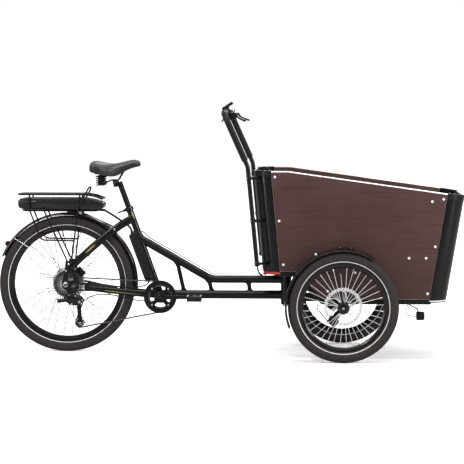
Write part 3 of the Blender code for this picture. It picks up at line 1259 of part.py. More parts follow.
def corner_plan(side, outer, inner, steps=CORNER_STEPS):
    """Quarter ring in plan at a corner, between two depths under its skin: offset from the face, and y."""
    middle = HALF - CORNER_R
    ring = []
    for radius, order in ((CORNER_R - outer, range(steps + 1)), (CORNER_R - inner, range(steps, -1, -1))):
        for k in order:
            angle = math.pi / 2 * k / steps
            ring.append((CORNER_R - radius * math.sin(angle), side * (middle + radius * math.cos(angle))))
    return ring


def corner_post(side, front, low, high=None, outer=0.0, inner=PLY):
    """Upright corner piece between two heights, or up to the top edge."""
    foot_z = LOW_FLOOR_Z if front else RAISED_FLOOR_Z
    ahead, lean = (BOX_FRONT_AHEAD, FRONT_LEAN) if front else (BOX_REAR_AHEAD, -REAR_LEAN)
    rings = [[], []]
    for offset, y in corner_plan(side, outer, inner):
        at = ahead - offset if front else ahead + offset
        rings[0].append((wall_x(at, foot_z, lean, low), y, low))
        if high is None:
            x, z = on_top_edge(at, foot_z, lean)
        else:
            x, z = wall_x(at, foot_z, lean, high), high
        rings[1].append((x, y, z))
    return loft(rings)


def envelope(inset, low, high):
    """The box's inside or outside as one rounded solid, for cutting what meets it."""
    rings = []
    for z in (low, high):
        ring = []
        middle, radius = HALF - CORNER_R, CORNER_R - inset
        rear, front = rear_face(z) + CORNER_R, front_face(z) - CORNER_R
        for x, y, start in ((rear, -middle, 180), (front, -middle, 270),
                            (front, middle, 0), (rear, middle, 90)):
            for k in range(CORNER_STEPS + 1):
                angle = math.radians(start + 90 * k / CORNER_STEPS)
                reach = to_flats(radius, 4 * CORNER_STEPS) if inset < 0 else radius
                ring.append((x + reach * math.cos(angle), y + reach * math.sin(angle), z))
        rings.append(ring)
    return loft(rings)


def box():
    for name, side in (("box_side_right", -1), ("box_side_left", 1)):
        add(name, [prism(side_outline(), *sorted((side * (HALF - PLY), side * HALF)))], "plywood", STEERING)
    width = HALF - CORNER_R - GAP
    low, top = RAISED_FLOOR_Z, BOX_TOP_Z
    rear = [(rear_face(low), low), (rear_face(low) + PLY, low),
            (rear_face(top) + PLY, top), (rear_face(top), top)]
    add("box_rear", [prism(rear, -width, width)], "plywood", STEERING)
    low = LOW_FLOOR_Z
    front = [(front_face(low), low), on_top_edge(BOX_FRONT_AHEAD, low, FRONT_LEAN),
             on_top_edge(BOX_FRONT_AHEAD - PLY, low, FRONT_LEAN), (front_face(low) - PLY, low)]
    add("box_front", [prism(front, -width, width)], "plywood", STEERING)
    add("box_floor", [floor()], "plywood", STEERING)
    add("bench", [bench()], "plywood", STEERING)


def floor():
    """Floor in three runs: raised over the steering head, sloped, and low over the axle."""
    rear, front = rear_face(RAISED_FLOOR_Z) - 0.05, front_face(LOW_FLOOR_Z) + 0.05
    turn = math.atan2(RAISED_FLOOR_Z - LOW_FLOOR_Z, STEP_RUN) / 2
    shift = PLY * math.tan(turn)
    outline = [(rear, RAISED_FLOOR_Z), (station(STEP_AHEAD), RAISED_FLOOR_Z),
               (station(STEP_FOOT_AHEAD), LOW_FLOOR_Z), (front, LOW_FLOOR_Z), (front, LOW_FLOOR_Z + PLY),
               (station(STEP_FOOT_AHEAD) + shift, LOW_FLOOR_Z + PLY),
               (station(STEP_AHEAD) + shift, RAISED_FLOOR_Z + PLY), (rear, RAISED_FLOOR_Z + PLY)]
    slab = prism(outline, -HALF - 0.05, HALF + 0.05)
    inside = envelope(PLY + GAP, LOW_FLOOR_Z - 0.05, RAISED_FLOOR_Z + 0.05)
    return common(slab, inside)


def bench():
    """Seat board on two cleats."""
    z = LOW_FLOOR_Z + BENCH_OVER_FLOOR
    x = (station(BENCH_AHEAD), station(BENCH_AHEAD) + BENCH_DEPTH)
    board = block(x, (-HALF, HALF), (z, z + PLY))
    cleats = [block((x[0] + 0.02, x[1] - 0.02), sorted((side * (HALF - PLY - 0.020), side * (HALF + 0.005))),
                    (z - 0.022, z + 0.002)) for side in (-1, 1)]
    return common(fuse(board, *cleats), envelope(PLY + GAP, z - 0.05, z + 0.05))


# Subframe and steering

def rail_outline():
    """Side rail under the floor, following its step."""
    top, low = RAISED_FLOOR_Z - GAP, LOW_FLOOR_Z - GAP
    back, fore = rear_face(RAISED_FLOOR_Z) + CORNER_R + GAP, front_face(LOW_FLOOR_Z) - CORNER_R - 0.002
    turn = math.tan(math.atan2(top - low, STEP_RUN) / 2)
    shift = RAIL_H * turn
    return [(back, top), (station(STEP_AHEAD), top), (station(STEP_FOOT_AHEAD), low), (fore, low),
            (fore, low - RAIL_H), (station(STEP_FOOT_AHEAD) - shift, low - RAIL_H),
            (station(STEP_AHEAD) - shift, top - RAIL_H), (back, top - RAIL_H)]


def box_frame():
    """Side and cross rails under the floor, with the four corner profiles that stand on them."""
    outline = rail_outline()
    back, fore = outline[0][0], outline[3][0]
    top, low = RAISED_FLOOR_Z - GAP, LOW_FLOOR_Z - GAP
    solids = [prism([(back - 0.006, top), *outline[1:3], (fore + 0.006, low), (fore + 0.006, low - RAIL_H),
                     *outline[5:7], (back - 0.006, top - RAIL_H)],
                    *sorted((side * (RAIL_OUTER - RAIL_W), side * RAIL_OUTER))) for side in (-1, 1)]
    cross = RAIL_OUTER - 0.010
    solids.append(block((back + 0.001, back + RAIL_W), (-cross, cross), (top - RAIL_H + 0.001, top - 0.001)))
    solids.append(block((fore - RAIL_W, fore - 0.001), (-cross, cross), (low - RAIL_H + 0.001, low - 0.001)))
    for side in (-1, 1):
        for front, z in ((False, RAISED_FLOOR_Z), (True, LOW_FLOOR_Z)):
            solids.append(corner_post(side, front, z))
            solids.append(corner_post(side, front, z - GAP - REFLECTOR_H, z + 0.006, 0.003, PLY - 0.001))
    clearance = block((KINGPIN_X - 0.030, KINGPIN_X + HEAD_R + 0.030), (-0.060, 0.060),
                      (UPPER_PLATE_Z - 0.020, UPPER_PLATE_Z + PLATE_T + 0.008))
    add("box_frame", [cut(fuse(*solids), clearance)], "satin_black", STEERING)


def rail_cuts():
    """The side rails and the front cross rail, grown by the gap they keep to the subframe."""
    outline = grown(rail_outline(), GAP)
    cuts = [prism(outline, *sorted((side * (RAIL_OUTER - RAIL_W - GAP), side * (RAIL_OUTER + 0.02))))
            for side in (-1, 1)]
    low, fore = LOW_FLOOR_Z - GAP, rail_outline()[3][0]
    cuts.append(block((fore - RAIL_W - GAP, fore + 0.02), (-0.2, 0.2),
                      (low - RAIL_H + 0.001 - GAP, low + 0.02)))
    return cuts


def subframe():
    top, low = RAISED_FLOOR_Z - GAP, LOW_FLOOR_Z - GAP
    fore = rail_outline()[3][0]
    behind, ahead = KINGPIN_X + HEAD_R + 0.009, station(STEP_AHEAD) - 0.002
    cross = RAIL_OUTER - RAIL_W / 2
    solids = [block((behind, ahead), (-cross, cross), (top - RAIL_H + 0.001, top - 0.001))]
    solids.append(block((FRONT_AXLE_X - BEAM / 2, FRONT_AXLE_X + BEAM / 2), (-BEAM_END, BEAM_END),
                        (FRONT_AXLE_Z - BEAM / 2, FRONT_AXLE_Z + BEAM / 2)))
    solids.append(block((behind + 0.004, fore - 0.004), (-0.025, 0.025), (low - BEAM, low - 0.001)))
    lower_top = HEAD_PLATE_TOP
    solids.append(block((behind + 0.001, behind + 0.014), (-0.036, 0.036),
                        (lower_top - PLATE_T + 0.001, top - 0.002)))
    for low_z in (lower_top - PLATE_T, UPPER_PLATE_Z):
        solids.append(block((KINGPIN_X - 0.024, behind + 0.012), (-0.030, 0.030), (low_z, low_z + PLATE_T)))
    for side in (-1, 1):
        lug = block((FRONT_AXLE_X + 0.010, FRONT_AXLE_X + FRONT_ROTOR_R + 0.004),
                    sorted((side * (BEAM_END - 0.008), side * (BEAM_END - 0.0008))),
                    (FRONT_AXLE_Z - 0.016, FRONT_AXLE_Z + 0.016))
        solids.append(spun(lug, FRONT_HUB, CALIPER_ANGLE))
        solids.append(turned([(0.014, side * (BEAM_END - 0.004)), (0.014, side * (BEAM_END + 0.0065)),
                              (STUB_R, side * (BEAM_END + 0.0065)), (STUB_R, side * (TRACK / 2 + 0.0360))],
                             FRONT_HUB, sides=16))
    hole = to_flats(KINGPIN_R + GAP, 20)
    king = turned([(hole, lower_top - 0.05), (hole, UPPER_PLATE_Z + PLATE_T + 0.004)],
                  (KINGPIN_X, 0, 0), (0, 0, 1), 20)
    add("front_subframe", [cut(fuse(*solids), king, *rail_cuts())], "satin_black", STEERING)
    pin_top, pin_foot = UPPER_PLATE_Z + PLATE_T + GAP, lower_top - PLATE_T - GAP
    kingpin = turned([(0.018, pin_foot - 0.009), (0.018, pin_foot), (KINGPIN_R, pin_foot),
                      (KINGPIN_R, pin_top), (0.018, pin_top), (0.018, pin_top + 0.006)],
                     (KINGPIN_X, 0, 0), (0, 0, 1), 16)
    add("kingpin", [kingpin], "steel", STEERING)


def front_calipers():
    """Caliper inboard of each front disc, with its hose up to the side rail."""
    hub = FRONT_HUB
    for name, side in (("front_caliper_right", -1), ("front_caliper_left", 1)):
        body = caliper(hub, side, CALIPER_ANGLE, FRONT_ROTOR_R, BEAM_END - 0.0005, BEAM_END + 0.0245,
                       TRACK / 2 - FRONT_ROTOR_IN)
        grip = on_circle(hub.x, hub.z, FRONT_ROTOR_R + 0.006, CALIPER_ANGLE)
        rail_x = FRONT_AXLE_X - 0.120
        hose = [(rail_x, side * (RAIL_OUTER - 0.015), LOW_FLOOR_Z - GAP - RAIL_H - GAP),
                (rail_x - 0.002, side * (RAIL_OUTER - 0.010), LOW_FLOOR_Z - RAIL_H - 0.020),
                (rail_x + 0.014, side * (BEAM_END - 0.006), FRONT_AXLE_Z - 0.030),
                (grip.x - 0.026, side * (BEAM_END + 0.004), grip.z + 0.020),
                (grip.x - 0.008, side * (BEAM_END + 0.006), grip.z + 0.002)]
        add(name, [fuse(body, tube(smooth(hose, 2), 0.0025, 5))], "satin_black", STEERING)


def front_wheels():
    for tag, side in (("right", -1), ("left", 1)):
        hub = Vector((FRONT_AXLE_X, side * TRACK / 2, FRONT_AXLE_Z))
        carrier = pivot("front_axle_" + tag, hub)
        seat_r = FRONT_TYRE_R - FRONT_TYRE_H
        sides = 28
        rubber = tyre(hub, FRONT_TYRE_R, FRONT_TYRE_W, FRONT_TYRE_H, sides)
        add("front_tyre_" + tag, [rubber], "tyre", carrier)
        add("front_rim_" + tag, [rim(hub, seat_r - GAP, FRONT_RIM_DEPTH, sides)], "satin_black", carrier)
        flanges = (side * 0.0315, side * -0.0315)
        wires = spokes(hub, 0.028, flanges, seat_r - GAP - FRONT_RIM_DEPTH, 8, sides)
        bore = to_flats(STUB_R + RUN, 10)
        inner = BEAM_INSET - 0.0070
        shape = [(0.014, 0.047), (0.0235, 0.042), (0.0235, 0.034), (0.028, 0.033), (0.028, 0.030),
                 (0.016, 0.026), (0.016, -0.026), (0.028, -0.030), (0.028, -0.033), (0.022, -0.035),
                 (0.022, -inner), (bore, -inner), (bore, 0.0365)]
        shell = turned([(r, side * y) for r, y in shape], hub, sides=10)
        disc = rotor(hub - Vector((0, side * FRONT_ROTOR_IN, 0)), FRONT_ROTOR_R, 0.017)
        add("front_hub_" + tag, [fuse(shell, *disc, *wires)], "satin_black", carrier)


def front_fenders():
    """Front mudguards, each with a plate to the box's side."""
    outer = FRONT_TYRE_R + FENDER_GAP
    half = FENDER_W / 2
    top = [(outer - 0.007, -half), (outer, -0.62 * half), (outer, 0.62 * half), (outer - 0.007, half)]
    under = [(r - FENDER_T, y) for r, y in reversed(top)]
    steps = 16
    for name, side in (("front_mudguard_right", -1), ("front_mudguard_left", 1)):
        rings = []
        for k in range(steps + 1):
            angle = FENDER_FROM + (FENDER_TO - FENDER_FROM) * k / steps
            rings.append([on_circle(FRONT_AXLE_X, FRONT_AXLE_Z, r, angle, side * TRACK / 2 + y)
                          for r, y in top + under])
        plate = block((FRONT_AXLE_X - 0.030, FRONT_AXLE_X + 0.048),
                      sorted((side * (HALF + GAP), side * (TRACK / 2 + 0.6 * half))),
                      (FRONT_AXLE_Z + outer - 0.001, FRONT_AXLE_Z + outer + 0.004))
        add(name, [fuse(loft(rings), plate)], "gloss_black", STEERING)


# Handlebar and controls

def bar_corners():
    points = []
    for side in (-1, 1):
        ends = [Vector((station(x), side * BAR_HALF_W, RAISED_FLOOR_Z + z))
                for x, z in (BAR_FOOT, BAR_BEND, BAR_TOP)]
        points += ends if side < 0 else ends[::-1]
    return points


def bar_path():
    corners = bar_corners()
    lower = eased(corners[:3], BEND_R, 3)
    arch = eased([lower[-2]] + corners[2:4] + [corners[4]], ELBOW_R, 5)
    upper = eased([arch[-2]] + corners[4:], BEND_R, 3)
    return lower[:-1] + arch[1:-1] + upper[1:]


BAR = bar_corners()
BAR_TOP_X, BAR_TOP_Z = BAR[2].x, BAR[2].z
BAR_RISE = (BAR[2] - BAR[1]).normalized()


def handlebar():
    bar = tube(bar_path(), BAR_R, 8)
    clips = []
    outside = envelope(-GAP, RAISED_FLOOR_Z - 0.01, BOX_TOP_Z + 0.01)
    for side in (-1, 1):
        low, bend = (BAR[0], BAR[1]) if side < 0 else (BAR[5], BAR[4])
        for height in CLIP_HEIGHTS:
            at = low.lerp(bend, (RAISED_FLOOR_Z + height - low.z) / (bend.z - low.z))
            middle = Vector((rear_face(at.z) + CORNER_R, side * (HALF - CORNER_R), at.z))
            toward = (middle - at).normalized()
            clips.append(cut(rod(at, middle - toward * (CORNER_R - PLY), CLIP_R, 8), outside))
    add("handlebar", [fuse(bar, bundle(), *clips)], "satin_black", STEERING)
    for name, side in (("grip_right", -1), ("grip_left", 1)):
        bend = Vector((BAR[1].x, side * BAR_HALF_W, BAR[1].z))
        corner = Vector((BAR[2].x, side * BAR_HALF_W, BAR[2].z))
        start = bend + BAR_RISE * GRIP_START
        end = Vector((corner.x, side * GRIP_BARE, corner.z))
        sleeve = pipe(eased([start, corner, end], ELBOW_R, 5), BAR_R + 1.5 * GAP, GRIP_R, 8)
        add(name, [sleeve], "rubber", STEERING)


def bundle():
    """Cable bundle out of the right upright's foot to the head plate."""
    foot = BAR[0] + (BAR[1] - BAR[0]).normalized() * 0.003
    plate = Vector((KINGPIN_X - 0.004, -0.030 - GAP, UPPER_PLATE_Z + PLATE_T / 2))
    under = RAISED_FLOOR_Z - GAP - RAIL_H - 0.006
    route = [foot, BAR[0] + Vector((0.005, 0, -0.022)), (foot.x + 0.022, foot.y + 0.020, under + 0.010),
             (foot.x + 0.055, foot.y + 0.085, under), (plate.x - 0.020, -0.120, under),
             (plate.x - 0.002, -0.062, under + 0.001), plate + Vector((0, -0.010, 0)), plate]
    return tube(smooth(route, 2), 0.004, 5)


def controls():
    """Clamps along the crossbar, with the bell, and what moves on them."""
    x, z = BAR_TOP_X, BAR_TOP_Z
    shifter_y, bell_y = -LEVER_AT + 0.030, -LEVER_AT + 0.058
    for tag, side in (("right", -1), ("left", 1)):
        y = side * LEVER_AT
        bands = [(y, 0.018, 0.0185)]
        parts = [block((x + 0.012, x + LEVER_REACH + 0.006), (y - 0.009, y + 0.009), (z - 0.034, z - 0.008))]
        if side < 0:
            bands += [(shifter_y, 0.016, 0.020), (bell_y, 0.010, 0.017)]
            parts += [rod((x + 0.010, bell_y, z + 0.010), (x + 0.026, bell_y, z + 0.012), 0.004, 8),
                      bell_dome(bell_y)]
            lug = bell_hinge(bell_y) - BELL_AXIS * (0.003 + GAP)
            parts += [rod(lug - BELL_AXIS * 0.004, lug, 0.0045, 8),
                      rod((x + 0.017, bell_y, z + 0.0115), lug - BELL_AXIS * 0.0032, 0.0028, 6)]
        parts.insert(0, collar(bands))
        add("control_clamp_" + tag, [fuse(*parts)], "satin_black", STEERING)
        hinge = Vector((x + LEVER_REACH, y, z - 0.008 + GAP))
        knuckle = turned([(0.0085, 0.0), (0.0085, 0.009)], hinge, (0, 0, 1), 10)
        blade = [hinge + Vector((0.002, side * 0.004, 0.0045)),
                 hinge + Vector((0.006, side * 0.0115, 0.0042)),
                 hinge + Vector((0.016, side * 0.032, -0.4 * LEVER_FALL)),
                 hinge + Vector((0.034, side * 0.085, -0.75 * LEVER_FALL)),
                 hinge + Vector((0.052, side * LEVER_L, -LEVER_FALL))]
        widths = (0.0050, 0.0052, 0.0060, 0.0060, 0.0062)
        thicks = (0.0036, 0.0036, 0.0042, 0.0042, 0.0048)
        sections = [oval(w, t, 8) for w, t in zip(widths, thicks)]
        name = "brake_lever_" + tag
        lever = fuse(knuckle, swept(blade, sections, side=(1, 0, 0)))
        add(name, [lever], "satin_black", pivot(name + "_pin", hinge))
    hinge = Vector((x, shifter_y, z))
    inner = to_flats(0.0203, 16)
    barrel = hoop([(inner, -0.0065), (0.0245, -0.0065), (0.0245, 0.0065), (inner, 0.0065)], hinge, sides=16)
    thumb = rod((x - 0.010, shifter_y, z - 0.021), (x - 0.022, shifter_y, z - 0.042), 0.0050, 8)
    add("shift_lever", [fuse(barrel, thumb)], "plastic", pivot("shift_lever_pin", hinge))
    hinge = bell_hinge(bell_y)
    pin = rod(hinge - BELL_AXIS * 0.003, hinge + BELL_AXIS * 0.006, 0.004, 8)
    thumb = rod(hinge, hinge + Vector((0.004, 0.004, 0.020)), 0.0025, 6)
    add("bell_lever", [fuse(pin, thumb)], "steel", pivot("bell_lever_pin", hinge))


def collar(bands):
    """Clamp round the crossbar from (y, width, outer radius) bands on one sleeve."""
    inner, sleeve = to_flats(BAR_R + GAP, 12), 0.0158
    outline = [(inner, bands[0][0] - bands[0][1] / 2)]
    for y, width, outer in bands:
        outline += [(sleeve, y - width / 2), (outer, y - width / 2),
                    (outer, y + width / 2), (sleeve, y + width / 2)]
    outline = [outline[0]] + outline[2:-1] + [(inner, bands[-1][0] + bands[-1][1] / 2)]
    return hoop(outline, (BAR_TOP_X, 0, BAR_TOP_Z), sides=12)


def bell_hinge(y):
    return Vector((BAR_TOP_X + 0.022, y + 0.0215, BAR_TOP_Z + 0.0125))


def bell_dome(y):
    profile = [(0.0160, 0.0), (0.0160, 0.005), (0.0135, 0.012), (0.008, 0.0165), (0.003, 0.018)]
    return turned(profile, Vector((BAR_TOP_X + 0.022, y, BAR_TOP_Z + 0.0125)), BELL_AXIS, 14)


def display():
    """Display on its own clamp, tilted to the rider, with a row of keys."""
    y = 0.030
    at = Vector((BAR_TOP_X + 0.001, y, BAR_TOP_Z + DISPLAY_RISE))
    length, width, thick = 0.060, 0.078, 0.013
    foot_z, top = at.z + 0.004, at.z + 0.004 + thick
    case = block((at.x - length / 2, at.x + length / 2), (y - width / 2, y + width / 2), (foot_z, top))
    key_x = (at.x - length / 2 + 0.005, at.x - length / 2 + 0.013)
    well = block((key_x[0] - RUN, key_x[1] + RUN), (y - 0.014 - RUN, y + 0.014 + RUN),
                 (top - 0.006, top + 0.01))
    keys = block(key_x, (y - 0.014, y + 0.014), (top - 0.0044, top + 0.0012))
    arm = block((BAR_TOP_X - 0.004, BAR_TOP_X + 0.006), (y - 0.008, y + 0.008),
                (BAR_TOP_Z + 0.0135, at.z + 0.008))
    body = fuse(spun(cut(case, well), at, DISPLAY_TILT), arm, collar([(y, 0.024, 0.0165)]))
    add("display", [body], "screen", STEERING)
    add("display_keys", [spun(keys, at, DISPLAY_TILT)], "plastic", pivot("display_key_well", at))


def headlight():
    """Lamp under the box's front, its rod bracket and its lead."""
    x, z = station(LAMP_AHEAD), LOW_FLOOR_Z - GAP - BEAM - LAMP_DROP + LAMP / 2
    case = block((x - LAMP / 2, x + LAMP / 2), (-LAMP / 2, LAMP / 2), (z - LAMP / 2, z + LAMP / 2))
    under = LOW_FLOOR_Z - GAP - BEAM - GAP
    bracket = [(x - 0.052, 0.010, under), (x - 0.052, 0.010, under - 0.018),
               (x - 0.012, 0.010, z + LAMP / 2 + 0.012), (x - 0.012, 0.010, z + LAMP / 2 - 0.004)]
    lead = [(x - 0.060, -0.006, under), (x - 0.062, -0.006, under - 0.022),
            (x - 0.070, -0.004, under - 0.046), (x - 0.058, -0.002, z + 0.004),
            (x - 0.036, 0.0, z - 0.002), (x - LAMP / 2 + 0.004, 0.0, z - 0.001)]
    lamp = fuse(case, tube(eased(bracket, 0.006, 2), 0.003, 6), tube(smooth(lead, 2), 0.002, 5))
    add("headlight", [lamp], "plastic", STEERING)


STEERING = pivot("steering_axis", Vector((KINGPIN_X, 0, HEAD_FOOT_Z)))

main_frame()
rear_triangle()
bottom_bracket()
rear_axle()
seat_clamp()
controller_case()
rear_mudguard()
tail_light()
rear_rack()
battery()
rack_clip()
rear_wheel()
rear_caliper()
cassette()
chain()
derailleur()
cranks()
seat()
box()
box_frame()
subframe()
front_calipers()
front_wheels()
front_fenders()
handlebar()
controls()
display()
headlight()
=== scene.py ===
"""Looks of the electric cargo tricycle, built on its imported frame.

X points forward, Y to the rider's left and Z up, in metres. The places of the pieces come
from the frame's joints and nodes. Profiles are (radius, offset) points, and offsets along Y
given for one side are mirrored by the side's sign, -1 for the right.
"""

import json
import math

import bmesh
import bpy
from mathutils import Matrix, Vector
from mathutils.geometry import tessellate_polygon


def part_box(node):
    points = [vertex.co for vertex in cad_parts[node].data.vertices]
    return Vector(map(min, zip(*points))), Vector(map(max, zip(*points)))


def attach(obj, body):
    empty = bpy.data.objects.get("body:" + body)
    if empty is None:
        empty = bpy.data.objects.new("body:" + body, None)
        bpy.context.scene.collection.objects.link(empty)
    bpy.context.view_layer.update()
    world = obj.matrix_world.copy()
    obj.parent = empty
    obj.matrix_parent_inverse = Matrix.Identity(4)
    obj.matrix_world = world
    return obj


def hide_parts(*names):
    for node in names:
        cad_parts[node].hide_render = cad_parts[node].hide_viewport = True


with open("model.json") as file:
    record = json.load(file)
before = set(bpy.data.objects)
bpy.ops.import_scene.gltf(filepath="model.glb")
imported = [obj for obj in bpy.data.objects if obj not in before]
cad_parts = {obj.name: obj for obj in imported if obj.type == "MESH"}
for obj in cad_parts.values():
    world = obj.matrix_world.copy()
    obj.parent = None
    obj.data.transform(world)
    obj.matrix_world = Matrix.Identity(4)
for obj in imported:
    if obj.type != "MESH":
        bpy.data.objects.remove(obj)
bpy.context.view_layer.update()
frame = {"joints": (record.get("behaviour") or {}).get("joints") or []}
joints = {joint["name"]: joint for joint in frame["joints"]}

# Places from the frame
REAR = Vector(joints["rear_wheel_spin"]["pos_m"])
CRANK = Vector(joints["crank_spin"]["pos_m"])
GUIDE = Vector(joints["guide_pulley_spin"]["pos_m"])
TENSION = Vector(joints["tension_pulley_spin"]["pos_m"])
KINGPIN = Vector(joints["steering"]["pos_m"])
FRONT = {"right": Vector(joints["front_wheel_right_spin"]["pos_m"]),
         "left": Vector(joints["front_wheel_left_spin"]["pos_m"])}
SIDES = {"right": -1, "left": 1}
SEAT_UP = Vector(joints["seat_height"]["axis"])
SEAT_BACK = Vector((-SEAT_UP.z, 0, SEAT_UP.x))
RIGHT, UP, ACROSS = Vector((1, 0, 0)), Vector((0, 0, 1)), Vector((0, 1, 0))


def span(node, axis):
    low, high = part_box(node)
    return low[axis], high[axis]


# Solids, each a pair of points and faces

SHARP_EDGE = math.radians(30)


def loft(rings, closed=False):
    """Skin through rings of equal length, capped unless it closes on itself."""
    size = len(rings[0])
    points = [Vector(p) for ring in rings for p in ring]
    faces = []
    for i in range(len(rings) if closed else len(rings) - 1):
        here, there = i * size, (i + 1) % len(rings) * size
        for j in range(size):
            k = (j + 1) % size
            faces.append((here + j, here + k, there + k, there + j))
    if not closed:
        faces.append(tuple(range(size)))
        faces.append(tuple(range((len(rings) - 1) * size, len(rings) * size)))
    return points, faces


def basis(axis):
    """Two directions square to an axis and to each other."""
    axis = Vector(axis).normalized()
    first = RIGHT.copy() if abs(axis.x) < 0.9 else ACROSS.copy()
    first = (first - axis * first.dot(axis)).normalized()
    return first, first.cross(axis)


def circle(centre, axis, radius, sides):
    u, v = basis(axis)
    angles = [k * 2 * math.pi / sides for k in range(sides)]
    return [Vector(centre) + u * radius * math.cos(a) + v * radius * math.sin(a) for a in angles]


def turned(profile, centre, axis=ACROSS, sides=40):
    """Solid turned about an axis from (radius, offset) points, capped at both ends."""
    along = Vector(axis).normalized()
    return loft([circle(Vector(centre) + along * t, axis, max(r, 1e-5), sides) for r, t in profile])


def ring(profile, centre, axis=ACROSS, sides=48):
    """Ring turned about an axis from a closed (radius, offset) outline."""
    along = Vector(axis).normalized()
    rows = [circle(Vector(centre) + along * t, axis, r, sides) for r, t in profile]
    return loft([[row[k] for row in rows] for k in range(sides)], closed=True)


def band_line(inner, outer, low, high, edge, edge_up=None):
    """Outline of a band with its outer edges broken by as much outwards and along."""
    edge_up = edge if edge_up is None else edge_up
    return [(inner, low), (outer - edge, low), (outer, low + edge_up), (outer, high - edge_up),
            (outer - edge, high), (inner, high)]


def washer(inner, outer, centre, low, high):
    return ring(band_line(inner, outer, low, high, 0.0006), centre, sides=96)


def rod(start, end, radius, sides=12, edge=0.0):
    axis = (Vector(end) - Vector(start)).normalized()
    length = (Vector(end) - Vector(start)).length
    if not edge:
        return turned([(radius, 0), (radius, length)], start, axis, sides)
    return turned([(radius - edge, 0), (radius, edge), (radius, length - edge), (radius - edge, length)],
                  start, axis, sides)


def peg(at, low, high, radius, sides=12, edge=0.0):
    """Rod along Y between two offsets from a point."""
    return rod(at + ACROSS * low, at + ACROSS * high, radius, sides, edge)


def oval(half_w, half_h, sides=24, power=1.0):
    """Closed section; a power under 1 makes it squarer."""
    points = []
    for k in range(sides):
        c, s = math.cos((k + 0.5) * 2 * math.pi / sides), math.sin((k + 0.5) * 2 * math.pi / sides)
        points.append((half_w * math.copysign(abs(c) ** power, c),
                       half_h * math.copysign(abs(s) ** power, s)))
    return points


def swept(path, sections, side=None, closed=False):
    """Sweep (u, v) sections along a path; u follows a fixed side direction or is carried along."""
    path = [Vector(p) for p in path]
    rings, carried = [], None
    for i, here in enumerate(path):
        before = path[i - 1] if closed or i else None
        after = path[(i + 1) % len(path)] if closed or i < len(path) - 1 else None
        ahead = (after - here).normalized() if after is not None else (here - before).normalized()
        behind = (here - before).normalized() if before is not None else ahead
        along = (ahead + behind).normalized()
        stretch = 1 / max(along.dot(ahead), 0.5)
        u = Vector(side) if side is not None else carried if carried is not None else basis(along)[0]
        u = (u - along * u.dot(along)).normalized()
        carried = u
        v = along.cross(u) * (stretch if side is not None else 1)
        section = sections[i] if isinstance(sections[0], list) else sections
        rings.append([here + u * a + v * b for a, b in section])
    return loft(rings, closed)


def tube(path, radius, sides=14):
    return swept(path, oval(radius, radius, sides))


def eased(corners, radius, steps=8):
    """Path through corners, each inner one replaced by an arc."""
    corners = [Vector(c) for c in corners]
    path = [corners[0]]
    for a, b, c in zip(corners, corners[1:], corners[2:]):
        back, on = (a - b).normalized(), (c - b).normalized()
        half = back.angle(on) / 2
        cut = radius / math.tan(half)
        centre = b + (back + on).normalized() * radius / math.sin(half)
        first, last = b + back * cut - centre, b + on * cut - centre
        turn = first.angle(last)
        for i in range(steps + 1):
            mix = first * math.sin((1 - i / steps) * turn) + last * math.sin(i / steps * turn)
            path.append(centre + mix / math.sin(turn))
    path.append(corners[-1])
    return path


def smooth(points, per_span=8):
    """Catmull-Rom curve through given points."""
    points = [Vector(p) for p in points]
    points = [points[0] * 2 - points[1]] + points + [points[-1] * 2 - points[-2]]
    path = []
    for a, b, c, d in zip(points, points[1:], points[2:], points[3:]):
        for i in range(per_span):
            t = i / per_span
            path.append(0.5 * (2 * b + (c - a) * t + (2 * a - 5 * b + 4 * c - d) * t * t
                               + (3 * b - a - 3 * c + d) * t ** 3))
    return path + [points[-2]]


def rounded(solid, width, segments=2):
    """A solid with its sharp edges bevelled."""
    body = bmesh.new()
    made = [body.verts.new(p) for p in solid[0]]
    for face in solid[1]:
        body.faces.new([made[i] for i in face])
    bmesh.ops.recalc_face_normals(body, faces=body.faces)
    sharp = [e for e in body.edges if e.is_manifold and e.calc_face_angle() > SHARP_EDGE]
    bmesh.ops.bevel(body, geom=sharp, offset=width, segments=segments, profile=0.5, affect="EDGES",
                    clamp_overlap=True)
    body.verts.index_update()
    result = [v.co.copy() for v in body.verts], [tuple(v.index for v in f.verts) for f in body.faces]
    body.free()
    return result


def prism(outline, low, high, axis="Y", edge=0.0):
    """Extrude an outline: (x, z) along Y, (x, y) along Z or (y, z) along X."""
    place = {"X": lambda a, b, t: (t, a, b), "Y": lambda a, b, t: (a, t, b),
             "Z": lambda a, b, t: (a, b, t)}[axis]
    solid = loft([[place(a, b, t) for a, b in outline] for t in (low, high)])
    return rounded(solid, edge) if edge else solid


def block(x, y, z, edge=0.001):
    return prism([(x[0], z[0]), (x[1], z[0]), (x[1], z[1]), (x[0], z[1])], y[0], y[1], edge=edge)


def block_at(centre, x, y, z, edge=0.001):
    """Block between offsets from a centre."""
    return block(*[(c + low, c + high) for c, (low, high) in zip(centre, (x, y, z))], edge)


def sided(side, a, b):
    """Two distances outwards as Y values for a side, the lower one first."""
    return sorted((side * a, side * b))


def on_side(side, profile):
    """Turned profile with its offsets outwards on a side."""
    return [(radius, side * offset) for radius, offset in profile]


def plate(outlines, centre, low, high, u=RIGHT, v=UP, w=ACROSS):
    """Flat plate from an outline and the holes in it, in (u, v), between two offsets along w."""
    triangles = tessellate_polygon([[Vector((a, b, 0)) for a, b in line] for line in outlines])
    flat = [Vector(centre) + u * a + v * b for line in outlines for a, b in line]
    count = len(flat)
    points = [p + w * low for p in flat] + [p + w * high for p in flat]
    faces = [tuple(t) for t in triangles] + [tuple(i + count for i in t) for t in triangles]
    first = 0
    for line in outlines:
        for j in range(len(line)):
            k = (j + 1) % len(line)
            faces.append((first + j, first + k, first + k + count, first + j + count))
        first += len(line)
    return points, faces


